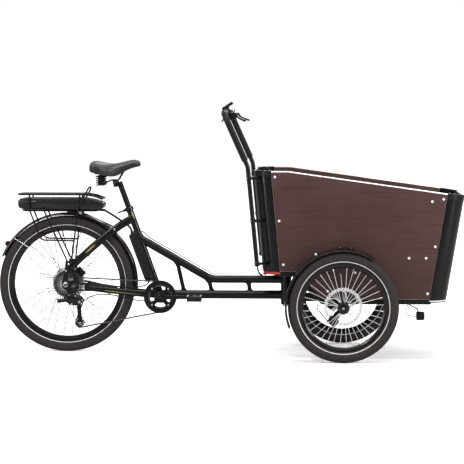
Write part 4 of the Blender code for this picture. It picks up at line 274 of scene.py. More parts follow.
def disc_line(radius, sides=24, x=0.0, z=0.0):
    return [(x + radius * math.cos(2 * math.pi * k / sides), z + radius * math.sin(2 * math.pi * k / sides))
            for k in range(sides)]


def gear(teeth, root, tip):
    """Toothed outline between a root and a tip radius."""
    outline = []
    for k in range(teeth):
        for part, radius in ((-0.36, root), (-0.20, root + 0.35 * (tip - root)), (-0.09, tip), (0.09, tip),
                             (0.20, root + 0.35 * (tip - root)), (0.36, root)):
            angle = (k + part) * 2 * math.pi / teeth
            outline.append((radius * math.cos(angle), radius * math.sin(angle)))
    return outline


def spun(solid, centre, degrees):
    """Turn a solid about the Y direction through a centre, counter-clockwise from the right."""
    turn = Matrix.Rotation(-math.radians(degrees), 4, "Y")
    return [turn @ (p - Vector(centre)) + Vector(centre) for p in solid[0]], solid[1]


def polar(centre, radius, degrees, y=0.0):
    angle = math.radians(degrees)
    return Vector((centre[0] + radius * math.cos(angle), y, centre[2] + radius * math.sin(angle)))


def weld(start, direction, radius, through, axis, main_radius, bead=0.0022, squash=1.0):
    """Bead round the joint of a branch tube with a main tube through a point along an axis."""
    direction, axis = Vector(direction).normalized(), Vector(axis).normalized()
    u, v = basis(direction)
    path = []
    for k in range(36):
        angle = k * math.pi / 18
        edge = Vector(start) + u * radius * squash * math.cos(angle) + v * radius * math.sin(angle)
        p = edge - Vector(through)
        p -= axis * p.dot(axis)
        d = direction - axis * direction.dot(axis)
        a, b, c = d.dot(d), 2 * p.dot(d), p.dot(p) - main_radius ** 2
        root = b * b - 4 * a * c
        t = (-b - math.sqrt(max(root, 0.0))) / (2 * a)
        path.append(edge + direction * t)
    return swept(path, oval(bead, bead, 8), closed=True)


class Piece:
    """Solids collected into one object, each with its own material."""

    def __init__(self, name):
        self.name = name
        self.parts = []

    def add(self, material, *solids):
        self.parts += [(material, solid) for solid in solids]
        return self

    def make(self, body, slot, *nodes, crease=35):
        mesh = bpy.data.meshes.new(self.name)
        shape = bmesh.new()
        materials = []
        for material, (points, faces) in self.parts:
            if material not in materials:
                materials.append(material)
            made = [shape.verts.new(p) for p in points]
            new = []
            for face in faces:
                new.append(shape.faces.new([made[i] for i in face]))
                new[-1].material_index = materials.index(material)
            bmesh.ops.recalc_face_normals(shape, faces=new)
        shape.to_mesh(mesh)
        shape.free()
        for material in materials:
            mesh.materials.append(material)
        mesh.shade_smooth()
        mesh.set_sharp_from_angle(angle=math.radians(crease))
        piece = bpy.data.objects.new(self.name, mesh)
        bpy.context.scene.collection.objects.link(piece)
        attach(piece, body)
        if nodes:
            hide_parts(*nodes)
        return piece


# Materials

def add_node(nodes, kind, **values):
    """Shader node with its input sockets set; a socket's name has _ for each space."""
    made = nodes.new("ShaderNode" + kind)
    for name, value in values.items():
        made.inputs[name.replace("_", " ")].default_value = value
    return made


def new_surface(name):
    """Material with the nodes, the linking function and the main shader of its tree."""
    made = bpy.data.materials.new(name)
    made.use_nodes = True
    nodes = made.node_tree.nodes
    return made, nodes, made.node_tree.links.new, nodes["Principled BSDF"]


def finish(name, colour, roughness, metallic=0.0, vary=0.12, cloud=25.0, grain=900.0, bump=0.00004, coat=0.0,
           stretch=(1, 1, 1), streak=None, spread=0.06, sheen=0.0, specular=0.5):
    """Procedural finish: a soft cloud varies colour and roughness, a fine grain lifts the surface.

    A streak is the colour, scale, stretch, slope and strength of a wood's fibres.
    """
    made, nodes, link, shader = new_surface(name)
    for socket, value in (("Metallic", metallic), ("Specular IOR Level", specular), ("Coat Weight", coat),
                          ("Coat Roughness", 0.08), ("Sheen Weight", sheen)):
        shader.inputs[socket].default_value = value
    place = add_node(nodes, "TexCoord")
    mapping = add_node(nodes, "Mapping", Scale=stretch)
    link(place.outputs["Object"], mapping.inputs["Vector"])
    soft = add_node(nodes, "TexNoise", Scale=cloud, Detail=6.0)
    link(mapping.outputs["Vector"], soft.inputs["Vector"])
    tone = add_node(nodes, "ValToRGB")
    for stop, position, change in zip(tone.color_ramp.elements, (0.3, 0.7), (1 - vary, 1 + vary)):
        stop.position = position
        stop.color = (*[min(1, c * change) for c in colour], 1)
    link(soft.outputs["Fac"], tone.inputs["Fac"])
    colour_out = tone.outputs["Color"]
    if streak:
        fibre_colour, scale, fibre_stretch, slope, strength = streak
        mix = add_node(nodes, "Mix")
        mix.data_type = "RGBA"
        fibre = add_node(nodes, "TexNoise", Scale=scale, Detail=8.0)
        along = add_node(nodes, "Mapping", Scale=fibre_stretch, Rotation=(0, slope, 0))
        edge = add_node(nodes, "MapRange", From_Min=0.50, From_Max=0.72, To_Max=strength)
        link(place.outputs["Object"], along.inputs["Vector"])
        link(along.outputs["Vector"], fibre.inputs["Vector"])
        link(fibre.outputs["Fac"], edge.inputs["Value"])
        link(edge.outputs["Result"], mix.inputs["Factor"])
        link(colour_out, mix.inputs["A"])
        mix.inputs["B"].default_value = (*fibre_colour, 1)
        colour_out = mix.outputs["Result"]
    link(colour_out, shader.inputs["Base Color"])
    dull = add_node(nodes, "MapRange", To_Min=max(0.02, roughness - spread),
                    To_Max=min(1.0, roughness + spread))
    link(soft.outputs["Fac"], dull.inputs["Value"])
    link(dull.outputs["Result"], shader.inputs["Roughness"])
    if bump:
        fine = add_node(nodes, "TexNoise", Scale=grain, Detail=3.0)
        link(mapping.outputs["Vector"], fine.inputs["Vector"])
        lift = add_node(nodes, "Bump", Distance=bump, Strength=0.6)
        link(fine.outputs["Fac"], lift.inputs["Height"])
        link(lift.outputs["Normal"], shader.inputs["Normal"])
    return made


POWDER = finish("powder_black", (0.0030, 0.0031, 0.0034), 0.20, grain=1400, bump=0.00003, spread=0.03,
                specular=0.28)
SATIN = finish("satin_black", (0.0036, 0.0036, 0.0038), 0.28, grain=1200, bump=0.00003, specular=0.22)
ANODISED = finish("anodised_black", (0.0050, 0.0052, 0.0058), 0.24, specular=0.4, stretch=(1, 1, 0.04),
                  cloud=160, grain=600, bump=0.00002)
PLASTIC = finish("moulded_black", (0.0050, 0.0050, 0.0053), 0.33, grain=1800, bump=0.00006, specular=0.28)
GLOSS = finish("gloss_black", (0.0030, 0.0030, 0.0034), 0.12, coat=0.1, specular=0.35, bump=0.00001,
               spread=0.03)
RUBBER = finish("rubber_black", (0.0050, 0.0050, 0.0054), 0.55, specular=0.2, grain=700, bump=0.00012)
TYRE = finish("tyre_rubber", (0.0162, 0.0128, 0.0117), 0.70, specular=0.3, vary=0.2, cloud=40, grain=900,
              bump=0.00015, spread=0.1)
STRIPE = finish("reflective_stripe", (0.62, 0.61, 0.58), 0.42, grain=2500, bump=0.00003)
SHINY = finish("spoke_dark", (0.022, 0.022, 0.023), 0.40, cloud=200, bump=0.0, specular=0.25)
SILVER = finish("spoke_silver", (0.78, 0.78, 0.79), 0.34, metallic=0.3, cloud=200, bump=0.0)
BRIGHT = finish("bright_zinc", (0.80, 0.80, 0.81), 0.40, metallic=0.25, cloud=120, bump=0.00002)
STEEL = finish("zinc_steel", (0.66, 0.66, 0.67), 0.30, metallic=1.0, vary=0.2, cloud=120, bump=0.00002)
DARK_STEEL = finish("dark_steel", (0.11, 0.105, 0.10), 0.36, metallic=1.0, vary=0.25, cloud=120, bump=0.00002)
BRUSHED = finish("brushed_steel", (0.78, 0.78, 0.78), 0.30, metallic=0.75, cloud=60, grain=1500, bump=0.00003,
                 stretch=(1, 1, 8))
CHROME = finish("chrome", (0.86, 0.86, 0.87), 0.10, metallic=1.0, bump=0.0, spread=0.02)
FILM_PLY = finish("film_ply", (0.052, 0.025, 0.024), 0.38, vary=0.12, cloud=3.5, grain=500, bump=0.00008,
                  streak=((0.026, 0.011, 0.010), 5.0, (1.2, 1.2, 16), math.radians(4.0), 0.6), specular=0.2)
PLY_EDGE = finish("ply_edge", (0.55, 0.42, 0.30), 0.62, vary=0.25, cloud=30, grain=300, bump=0.0002,
                  stretch=(1, 1, 12), streak=((0.22, 0.12, 0.07), 20.0, (1, 1, 30), 0.0, 0.7))
# Near-white strip for the top edges of the box's sides: a painted highlight where those edges face the light
EDGE_HIGHLIGHT = finish("painted_edge_highlight", (0.90, 0.88, 0.86), 0.5, vary=0.10, cloud=40, grain=300, bump=0.00005)
LEATHERETTE = finish("saddle_cover", (0.0080, 0.0082, 0.0090), 0.38, specular=0.5, grain=420, bump=0.00030,
                     cloud=20, sheen=0.03)
RED = finish("red_lens", (0.42, 0.010, 0.012), 0.14, coat=0.5, cloud=60, grain=350, bump=0.0003)
WHITE_REFLECTOR = finish("white_reflector", (0.74, 0.75, 0.76), 0.16, coat=0.5, grain=350, bump=0.0003)
SCREEN = finish("screen_glass", (0.014, 0.017, 0.020), 0.07, coat=0.5, bump=0.0, spread=0.02)
LAMP_GLASS = finish("lamp_glass", (0.60, 0.61, 0.62), 0.08, coat=0.6, grain=300, bump=0.0002)
OLIVE = finish("stripe_olive", (0.19, 0.17, 0.045), 0.35, coat=0.2, bump=0.00002)


# Camera, light and floor

CAMERA_AT = (1.2466, -9.6207, 1.1950)      # from the rear axle in x, from the floor in z
CAMERA_LENS = 154.58                       # millimetres
CAMERA_LEFT, CAMERA_DOWN = 2.646, 3.634    # degrees
# Reflections see the floor darker than the eye does: painted shade on the undersides of glossy parts
PAPER, PAPER_SHADED_IN_REFLECTIONS = 0.97, 0.45         # the floor's grey, to the eye and to reflections


def camera():
    """A long lens off to the right, about as high as the handlebar."""
    lens = bpy.data.cameras.new("camera")
    view = bpy.data.objects.new("camera", lens)
    bpy.context.scene.collection.objects.link(view)
    lens.sensor_width = 36.0
    lens.lens = CAMERA_LENS
    lens.clip_end = 60.0
    view.location = (REAR.x + CAMERA_AT[0], CAMERA_AT[1], CAMERA_AT[2])
    view.rotation_euler = (math.radians(90 - CAMERA_DOWN), 0, math.radians(CAMERA_LEFT))
    bpy.context.scene.camera = view


def lamp(name, at, size, power, aim=(0, 0, 0.4), height=None):
    light = bpy.data.lights.new(name, "AREA")
    light.size = size
    if height:
        light.shape, light.size_y = "RECTANGLE", height
    light.energy = power
    holder = bpy.data.objects.new(name, light)
    bpy.context.scene.collection.objects.link(holder)
    holder.location = at
    holder.rotation_euler = (Vector(aim) - Vector(at)).to_track_quat("-Z", "Y").to_euler()


def studio():
    lamp("key", (-2.5, -4.5, 4.5), 1.2, 110)
    lamp("overhead", (0.2, -1.4, 5.0), 4.2, 130, (0.2, 0, 0.5), 0.4)
    lamp("fill", (4.5, -3.5, 2.4), 1.4, 95, (0.9, 0, 0.4))
    lamp("back", (1.0, 4.5, 4.0), 3.0, 110)
    lamp("strip_rear", (-4.2, -3.2, 1.4), 0.25, 60, height=2.4)
    lamp("strip_front", (4.6, -2.6, 1.4), 0.25, 60, height=2.4)
    sky()
    paper()
    bpy.context.scene.view_settings.view_transform = "Standard"


def sky():
    """White to the eye; to reflections a bright ceiling over dim walls."""
    world = bpy.data.worlds.new("studio")
    bpy.context.scene.world = world
    world.use_nodes = True
    nodes, link = world.node_tree.nodes, world.node_tree.links.new
    ray = add_node(nodes, "LightPath")
    place = add_node(nodes, "TexCoord")
    parts = add_node(nodes, "SeparateXYZ")
    link(place.outputs["Generated"], parts.inputs["Vector"])
    ceiling = add_node(nodes, "MapRange", From_Min=0.10, From_Max=0.80, To_Min=0.32, To_Max=1.30)
    ceiling.interpolation_type = "SMOOTHSTEP"
    link(parts.outputs["Z"], ceiling.inputs["Value"])
    strength = None
    for source, low in (("Is Glossy Ray", None), ("Is Camera Ray", 1.0), ("Is Transmission Ray", 1.0)):
        mix = add_node(nodes, "Mix")
        link(ray.outputs[source], mix.inputs["Factor"])
        if strength is None:
            mix.inputs["A"].default_value = 0.62
            link(ceiling.outputs["Result"], mix.inputs["B"])
        else:
            link(strength, mix.inputs["A"])
            mix.inputs["B"].default_value = low
        strength = mix.outputs["Result"]
    back = nodes["Background"]
    back.inputs["Color"].default_value = (1, 1, 1, 1)
    link(strength, back.inputs["Strength"])


def paper():
    """White floor that keeps a soft shadow and runs out into the white behind."""
    bpy.ops.mesh.primitive_circle_add(vertices=96, radius=24.0, fill_type="NGON", location=(0, 0, -0.0005))
    floor = bpy.context.active_object
    floor.name = "studio_floor"
    made, nodes, link, shader = new_surface("studio_paper")
    shader.inputs["Roughness"].default_value = 0.9
    shader.inputs["Specular IOR Level"].default_value = 0.1
    place = add_node(nodes, "TexCoord")
    distance = add_node(nodes, "VectorMath")
    distance.operation = "LENGTH"
    link(place.outputs["Object"], distance.inputs[0])
    far = add_node(nodes, "MapRange", From_Min=1.3, From_Max=5.0, To_Min=0.26, To_Max=0.75)
    link(distance.outputs["Value"], far.inputs["Value"])
    ray = add_node(nodes, "LightPath")
    tone = add_node(nodes, "Mix")
    tone.data_type = "RGBA"
    # Glossy rays get the darker grey, painting shade into what glossy parts reflect from below
    tone.inputs["A"].default_value = (PAPER, PAPER, PAPER, 1)
    tone.inputs["B"].default_value = (PAPER_SHADED_IN_REFLECTIONS, PAPER_SHADED_IN_REFLECTIONS, PAPER_SHADED_IN_REFLECTIONS, 1)
    link(ray.outputs["Is Glossy Ray"], tone.inputs["Factor"])
    link(tone.outputs["Result"], shader.inputs["Base Color"])
    glow = add_node(nodes, "Math")
    glow.operation = "MULTIPLY"
    link(far.outputs["Result"], glow.inputs[0])
    link(ray.outputs["Is Camera Ray"], glow.inputs[1])
    shader.inputs["Emission Color"].default_value = (1, 1, 1, 1)
    link(glow.outputs["Value"], shader.inputs["Emission Strength"])
    floor.data.materials.append(made)


camera()
studio()


# Wheels

SPOKES = 36
TREAD_BLOCK = (0.0, 0.80, 0.84, 0.96)      # shares of a block: its land, then its sipe
DISC_BAND, DISC_HALF = 0.0155, 0.0009      # width of a brake disc's band, half its thickness
ARM_WIDTH, ARM_CURL = 0.006, 34            # a disc's arms: metres, degrees
FRONT_TYRE_R, REAR_TYRE_R = 0.258, 0.331
FRONT_DISC_R, REAR_DISC_R = 0.090, 0.080
FRONT_DISC_IN, REAR_DISC_Y = 0.0421, 0.052  # front: inwards from its wheel's middle


def tyre(name, body, node, centre, radius, width, height, stripe_r, blocks):
    """Tyre with grooved tread, round walls and a thin reflective stripe on each."""
    bead = radius - height
    middle = bead + 0.52 * height
    outward, inward = radius - middle, (middle - bead) / abs(math.cos(math.radians(145)))
    stripe = [math.degrees(math.acos((stripe_r + d - middle) / inward)) for d in (-0.0014, 0.0014)]
    half = [145, *stripe, 116, 106, 96, 88, 80, 72, 66, 61, 56, 50, 45, 42, 36, 32, 29, 22, 17, 14, 6]
    across = [-t for t in half] + [0] + half[::-1]
    rows = []
    for block_index in range(blocks):
        for part, share in enumerate(TREAD_BLOCK):
            angle = (block_index + share) * 360 / blocks
            row = []
            for t in across:
                c, s = math.cos(math.radians(t)), math.sin(math.radians(abs(t)))
                r = middle + (outward * c ** 0.85 if c > 0 else inward * c)
                lie = abs(t)
                groove = 0.0016 if 14 < lie < 20 or 36 < lie < 43 else 0.0
                if part >= 2 and 42 < lie < 66:
                    groove = 0.0016
                if part >= 2 and 20 < lie < 34 and block_index % 2:
                    groove = 0.0012
                row.append(polar(centre, r - groove, angle,
                                 centre.y + math.copysign(width / 2 * s ** 0.8, t)))
            rows.append(row)
    points, faces = loft(rows, closed=True)
    size = len(across)
    walls, bands = [], []
    for face in faces:
        columns = [i % size for i in face]
        column = size - 1 if max(columns) == size - 1 and min(columns) == 0 else min(columns)
        (bands if column in (1, size - 3) else walls).append(face)
    piece = Piece(name)
    piece.parts = [(TYRE, (points, faces))]
    made = piece.make(body, "tyre", node, crease=50)
    made.data.materials.append(STRIPE)
    stripes = {frozenset(face) for face in bands}
    for polygon in made.data.polygons:
        if frozenset(polygon.vertices) in stripes:
            polygon.material_index = 1
    return made


def rim(centre, seat_r, depth, width):
    """Box-section rim with a hooked edge on each side."""
    inner = seat_r - depth
    half = width / 2
    outline = [(inner, -0.30 * width), (inner + 0.0015, -0.36 * width), (seat_r - 0.011, -half + 0.0005),
               (seat_r - 0.0012, -half), (seat_r, -half + 0.0012), (seat_r, -half + 0.003),
               (seat_r - 0.005, -half + 0.004), (seat_r - 0.005, half - 0.004), (seat_r, half - 0.003),
               (seat_r, half - 0.0012), (seat_r - 0.0012, half), (seat_r - 0.011, half - 0.0005),
               (inner + 0.0015, 0.36 * width), (inner, 0.30 * width)]
    return ring(outline, centre, sides=144)


def laced(piece, wire, wire_r, centre, hub_r, flanges, rim_r, lean, spread=0.0):
    """Spokes with their nipples, leaning forwards and backwards in turn."""
    for k in range(SPOKES):
        at_rim = (k + 0.5) * 360 / SPOKES
        sense, flange = 1 if k // 2 % 2 else -1, flanges[k % 2]
        near = polar(centre, hub_r - 0.004, at_rim + lean * sense, centre.y + flange + spread * sense)
        far = polar(centre, rim_r + 0.002, at_rim, centre.y + 0.06 * flange)
        along = (near - far).normalized()
        piece.add(wire, rod(near, far + along * 0.010, wire_r, 6))
        piece.add(STEEL, turned([(0.0019, 0), (0.0019, 0.009), (0.0013, 0.0135)], far, along, 8))
        out = math.copysign(1, flange)
        piece.add(STEEL, peg(near, out * -0.0028, out * 0.0012, 0.0017, 6))


def sector(inner, outer, middle, half_width):
    """Window between two radii, with eased corners."""
    line, steps = [], 8
    for r, sense in ((inner, 1), (outer, -1)):
        for k in range(steps + 1):
            t = sense * (2 * k / steps - 1)
            pull = 0.25 * (outer - inner) * max(0.0, abs(t) - 0.55) ** 2 / 0.2025
            angle = math.radians(middle + half_width * t)
            radius = r + pull if sense > 0 else r - pull
            line.append((radius * math.cos(angle), radius * math.sin(angle)))
    return line


def flat_arms(centre, hole, radius, arms):
    """Curved flat arms between a disc's middle and its band."""
    solids = []
    for k in range(arms):
        outer, inner = [], []
        for i in range(9):
            t = i / 8
            r = hole + 0.007 + (radius - DISC_BAND + 0.004 - hole - 0.007) * t
            angle = math.radians(k * 360 / arms + ARM_CURL * t ** 1.4)
            lie = ARM_WIDTH / 2 * (1.35 - 0.7 * math.sin(math.pi * t)) / r
            outer.append((r * math.cos(angle + lie), r * math.sin(angle + lie)))
            inner.append((r * math.cos(angle - lie), r * math.sin(angle - lie)))
        solids.append(plate([outer + inner[::-1]], centre, -0.0008, 0.0008))
    return solids


def disc(piece, centre, radius, hole, arms, out):
    """Brake disc with its bolts, which face outwards along Y by the sign of out."""
    edge = []
    for k in range(144):
        r = radius - 0.0008 + 0.0008 * math.cos(k * math.pi / 4)
        edge.append((r * math.cos(k * math.pi / 72), r * math.sin(k * math.pi / 72)))
    holes = [disc_line(radius - DISC_BAND, 72)]
    for k in range(30):
        for row, size, turn in ((0.30, 0.0020, 0.0), (0.70, 0.0024, 0.5)):
            angle = (k + turn) * 2 * math.pi / 30
            at = radius - DISC_BAND * row
            holes.append(disc_line(size, 10, at * math.cos(angle), at * math.sin(angle)))
    middle = [disc_line(hole + 0.011, 48), disc_line(hole, 32)]
    for lines in ([edge] + holes, middle):
        piece.add(BRUSHED, plate(lines, centre, -DISC_HALF, DISC_HALF))
    piece.add(BRUSHED, *flat_arms(centre, hole, radius, arms))
    for k in range(6):
        at = polar(centre, hole + 0.0065, k * 60 + 30, centre.y)
        piece.add(STEEL, peg(at, out * DISC_HALF, out * (DISC_HALF + 0.0022), 0.0032, 12, 0.0006))


def front_wheel(tag):
    side = SIDES[tag]
    centre = FRONT[tag]
    body = "front_wheel_" + tag
    tyre("front_tyre_" + tag + "_treaded", body, "front_tyre_" + tag, centre, FRONT_TYRE_R, 0.054, 0.051,
         0.2150, 70)
    hoop = Piece("front_rim_" + tag + "_shell").add(GLOSS, rim(centre, 0.2067, 0.020, 0.032))
    valve = polar(centre, 0.187, 95, centre.y)
    hoop.add(RUBBER, rod(valve, polar(centre, 0.160, 95, centre.y), 0.0028, 10, 0.001))
    hoop.make(body, "satin_black", "front_rim_" + tag)
    hub = Piece("front_hub_" + tag + "_laced")
    laced(hub, SILVER, 0.0010, centre, 0.028, (side * 0.0315, side * -0.0315), 0.1867, 8)
    shape = [(0.0165, 0.0355), (0.021, 0.036), (0.0235, 0.0345), (0.0285, 0.033), (0.0285, 0.030),
             (0.018, 0.026), (0.016, 0.020), (0.016, -0.020), (0.018, -0.026), (0.0285, -0.030),
             (0.0285, -0.033), (0.022, -0.0345), (0.022, -0.0478), (0.0085, -0.0478)]
    hub.add(SATIN, turned(on_side(side, shape), centre))
    cap = [(0.0236, 0.0335), (0.0236, 0.041), (0.0215, 0.0455), (0.0150, 0.0470), (0.004, 0.0470)]
    hub.add(GLOSS, turned(on_side(side, cap), centre))
    for k in range(18):
        rib = block_at(centre, (0.0150, 0.0238), sided(side, 0.036, 0.0462), (-0.0009, 0.0009), 0.0004)
        hub.add(PLASTIC, spun(rib, centre, k * 20))
    screw = [(0.0060, 0.0468), (0.0060, 0.0486), (0.0035, 0.0490)]
    hub.add(STEEL, turned(on_side(side, screw), centre, sides=6))
    disc(hub, centre - ACROSS * side * FRONT_DISC_IN, FRONT_DISC_R, 0.017, 6, -side)
    hub.make(body, "satin_black", "front_hub_" + tag)


def rear_wheel():
    centre = REAR
    tyre("rear_tyre_treaded", "rear_wheel", "rear_tyre", centre, REAR_TYRE_R, 0.052, 0.048, 0.2862, 90)
    hoop = Piece("rear_rim_shell").add(GLOSS, rim(centre, 0.2827, 0.026, 0.032))
    hoop.add(RUBBER, rod(polar(centre, 0.257, 95), polar(centre, 0.228, 95), 0.0028, 10, 0.001))
    hoop.make("rear_wheel", "satin_black", "rear_rim")
    motor = Piece("hub_motor_laced")
    right, left = -0.018, 0.038
    laced(motor, SHINY, 0.0015, centre, 0.066, (right + 0.002, left - 0.002), 0.2567, 20, 0.0016)
    shell = [(0.008, -0.0262), (0.016, -0.0262), (0.030, right - 0.003), (0.0655, right),
             (0.066, right + 0.0005), (0.066, right + 0.0035), (0.0655, right + 0.004),
             (0.061, right + 0.006), (0.060, right + 0.010), (0.060, left - 0.010), (0.061, left - 0.006),
             (0.0655, left - 0.004), (0.066, left - 0.0035), (0.066, left - 0.0005), (0.0655, left),
             (0.054, left + 0.002), (0.052, left + 0.0045), (0.046, left + 0.0062), (0.030, left + 0.0066),
             (0.028, left + 0.0085), (0.019, left + 0.010), (0.019, 0.0541), (0.008, 0.0541)]
    motor.add(SATIN, turned(shell, centre, sides=72))
    for k in range(8):
        for y, out in ((left + 0.0012, 1), (right - 0.0002, -1)):
            at = polar(centre, 0.058, k * 45 + 10, y)
            motor.add(STEEL, peg(at, 0.0, out * 0.0026, 0.0028, 10, 0.0006))
    for k in range(24):
        fin = block_at(centre, (0.0585, 0.0612), (right + 0.012, left - 0.012), (-0.0016, 0.0016), 0.0006)
        motor.add(SATIN, spun(fin, centre, k * 15))
    disc(motor, centre + ACROSS * REAR_DISC_Y, REAR_DISC_R, 0.013, 5, 1)
    motor.make("rear_wheel", "plastic", "hub_motor")


front_wheel("right")
front_wheel("left")
rear_wheel()


# Drive

COGS = (11, 13, 15, 17, 20, 24, 28, 34)
COG_IN_USE, RING_TEETH, PULLEY_TEETH = 17, 36, 11
CHAINLINE = 0.0475
PITCH = 0.0127
CRANK_LENGTH = 0.170


def pitch_radius(teeth):
    return PITCH / (2 * math.sin(math.pi / teeth))


def cassette():
    stack = Piece("cassette_toothed")
    for index, teeth in enumerate(COGS):
        y = -CHAINLINE + (index - 3) * 0.0048
        r = pitch_radius(teeth)
        centre = REAR + ACROSS * y
        lines = [gear(teeth, r - 0.0042, r + 0.0030), disc_line(r - 0.0056, 72)]
        toothed = plate(lines, centre, -0.0009, 0.0009)
        stack.add(DARK_STEEL if 24 <= teeth < 34 else STEEL, toothed)
        lines = [disc_line(r - 0.0055, 72), disc_line(0.0168, 24)]
        if teeth >= 20:
            lines += [sector(0.020, r - 0.0095, k * 72 + index * 17, 24) for k in range(5)]
        stack.add(DARK_STEEL, plate(lines, centre, -0.0009, 0.0009))
    stack.add(DARK_STEEL, turned([(0.0172, -0.0640), (0.0172, -0.0274), (0.0080, -0.0274)], REAR))
    stack.add(STEEL, plate([gear(14, 0.0138, 0.0152), disc_line(0.0105, 20)], REAR, -0.0655, -0.0628))
    stack.make("cassette", "steel", "cassette")


def belt(wheels):
    """Closed path round wheels of (x, z, radius, sense), sense 1 being counter-clockwise."""
    headings = []
    for i, (x, z, r, s) in enumerate(wheels):
        x2, z2, r2, s2 = wheels[(i + 1) % len(wheels)]
        lean = math.asin((s * r - s2 * r2) / math.hypot(x2 - x, z2 - z))
        headings.append(math.atan2(z2 - z, x2 - x) + lean)
    path = []
    for i, (x, z, r, s) in enumerate(wheels):
        start = headings[i - 1] - s * math.pi / 2
        sweep = (s * (headings[i] - headings[i - 1])) % (2 * math.pi)
        for k in range(25):
            angle = start + s * sweep * k / 24
            path.append(Vector((x + r * math.cos(angle), -CHAINLINE, z + r * math.sin(angle))))
    return path


def stations(path, count):
    """Points an equal length apart round a closed path."""
    path = path + [path[0]]
    lengths = [0.0]
    for a, b in zip(path, path[1:]):
        lengths.append(lengths[-1] + (b - a).length)
    found, i = [], 0
    for k in range(count):
        want = lengths[-1] * k / count
        while lengths[i + 1] < want:
            i += 1
        share = (want - lengths[i]) / max(1e-9, lengths[i + 1] - lengths[i])
        found.append(path[i].lerp(path[i + 1], share))
    return found, lengths[-1]


def link_plate(a, b, y, thick):
    """Figure-of-eight side plate of a chain link."""
    along = (b - a).normalized()
    up = Vector((-along.z, 0, along.x))
    outline = []
    for centre, sense in ((a, -1), (b, 1)):
        for angle in (-62, -20, 20, 62):
            t = math.radians(angle)
            outline.append(centre + along * sense * 0.0041 * math.cos(t) + up * sense * 0.0041 * math.sin(t))
        middle = (a + b) / 2
        outline.append(middle + up * sense * 0.0030)
    low = [p + ACROSS * (y - thick / 2) for p in outline]
    return loft([low, [p + ACROSS * thick for p in low]])


def chain():
    path = belt([(place.x, place.z, pitch_radius(teeth), sense) for place, teeth, sense in
                 ((CRANK, RING_TEETH, -1), (TENSION, PULLEY_TEETH, -1), (GUIDE, PULLEY_TEETH, 1),
                  (REAR, COG_IN_USE, -1))])
    length = stations(path, 10)[1]
    count = 2 * round(length / PITCH / 2)
    pins = stations(path, count)[0]
    links = Piece("chain_links")
    for k, a in enumerate(pins):
        b = pins[(k + 1) % count]
        out = 0.0027 if k % 2 else 0.0018
        for side in (-1, 1):
            links.add(SHINY if k % 2 else DARK_STEEL, link_plate(a, b, side * out, 0.0008))
        links.add(DARK_STEEL, peg(a, -0.0014, 0.0014, 0.0037, 8))
        links.add(STEEL, peg(a, -0.0034, 0.0034, 0.0017, 6))
    links.make("frame", "steel", "chain")


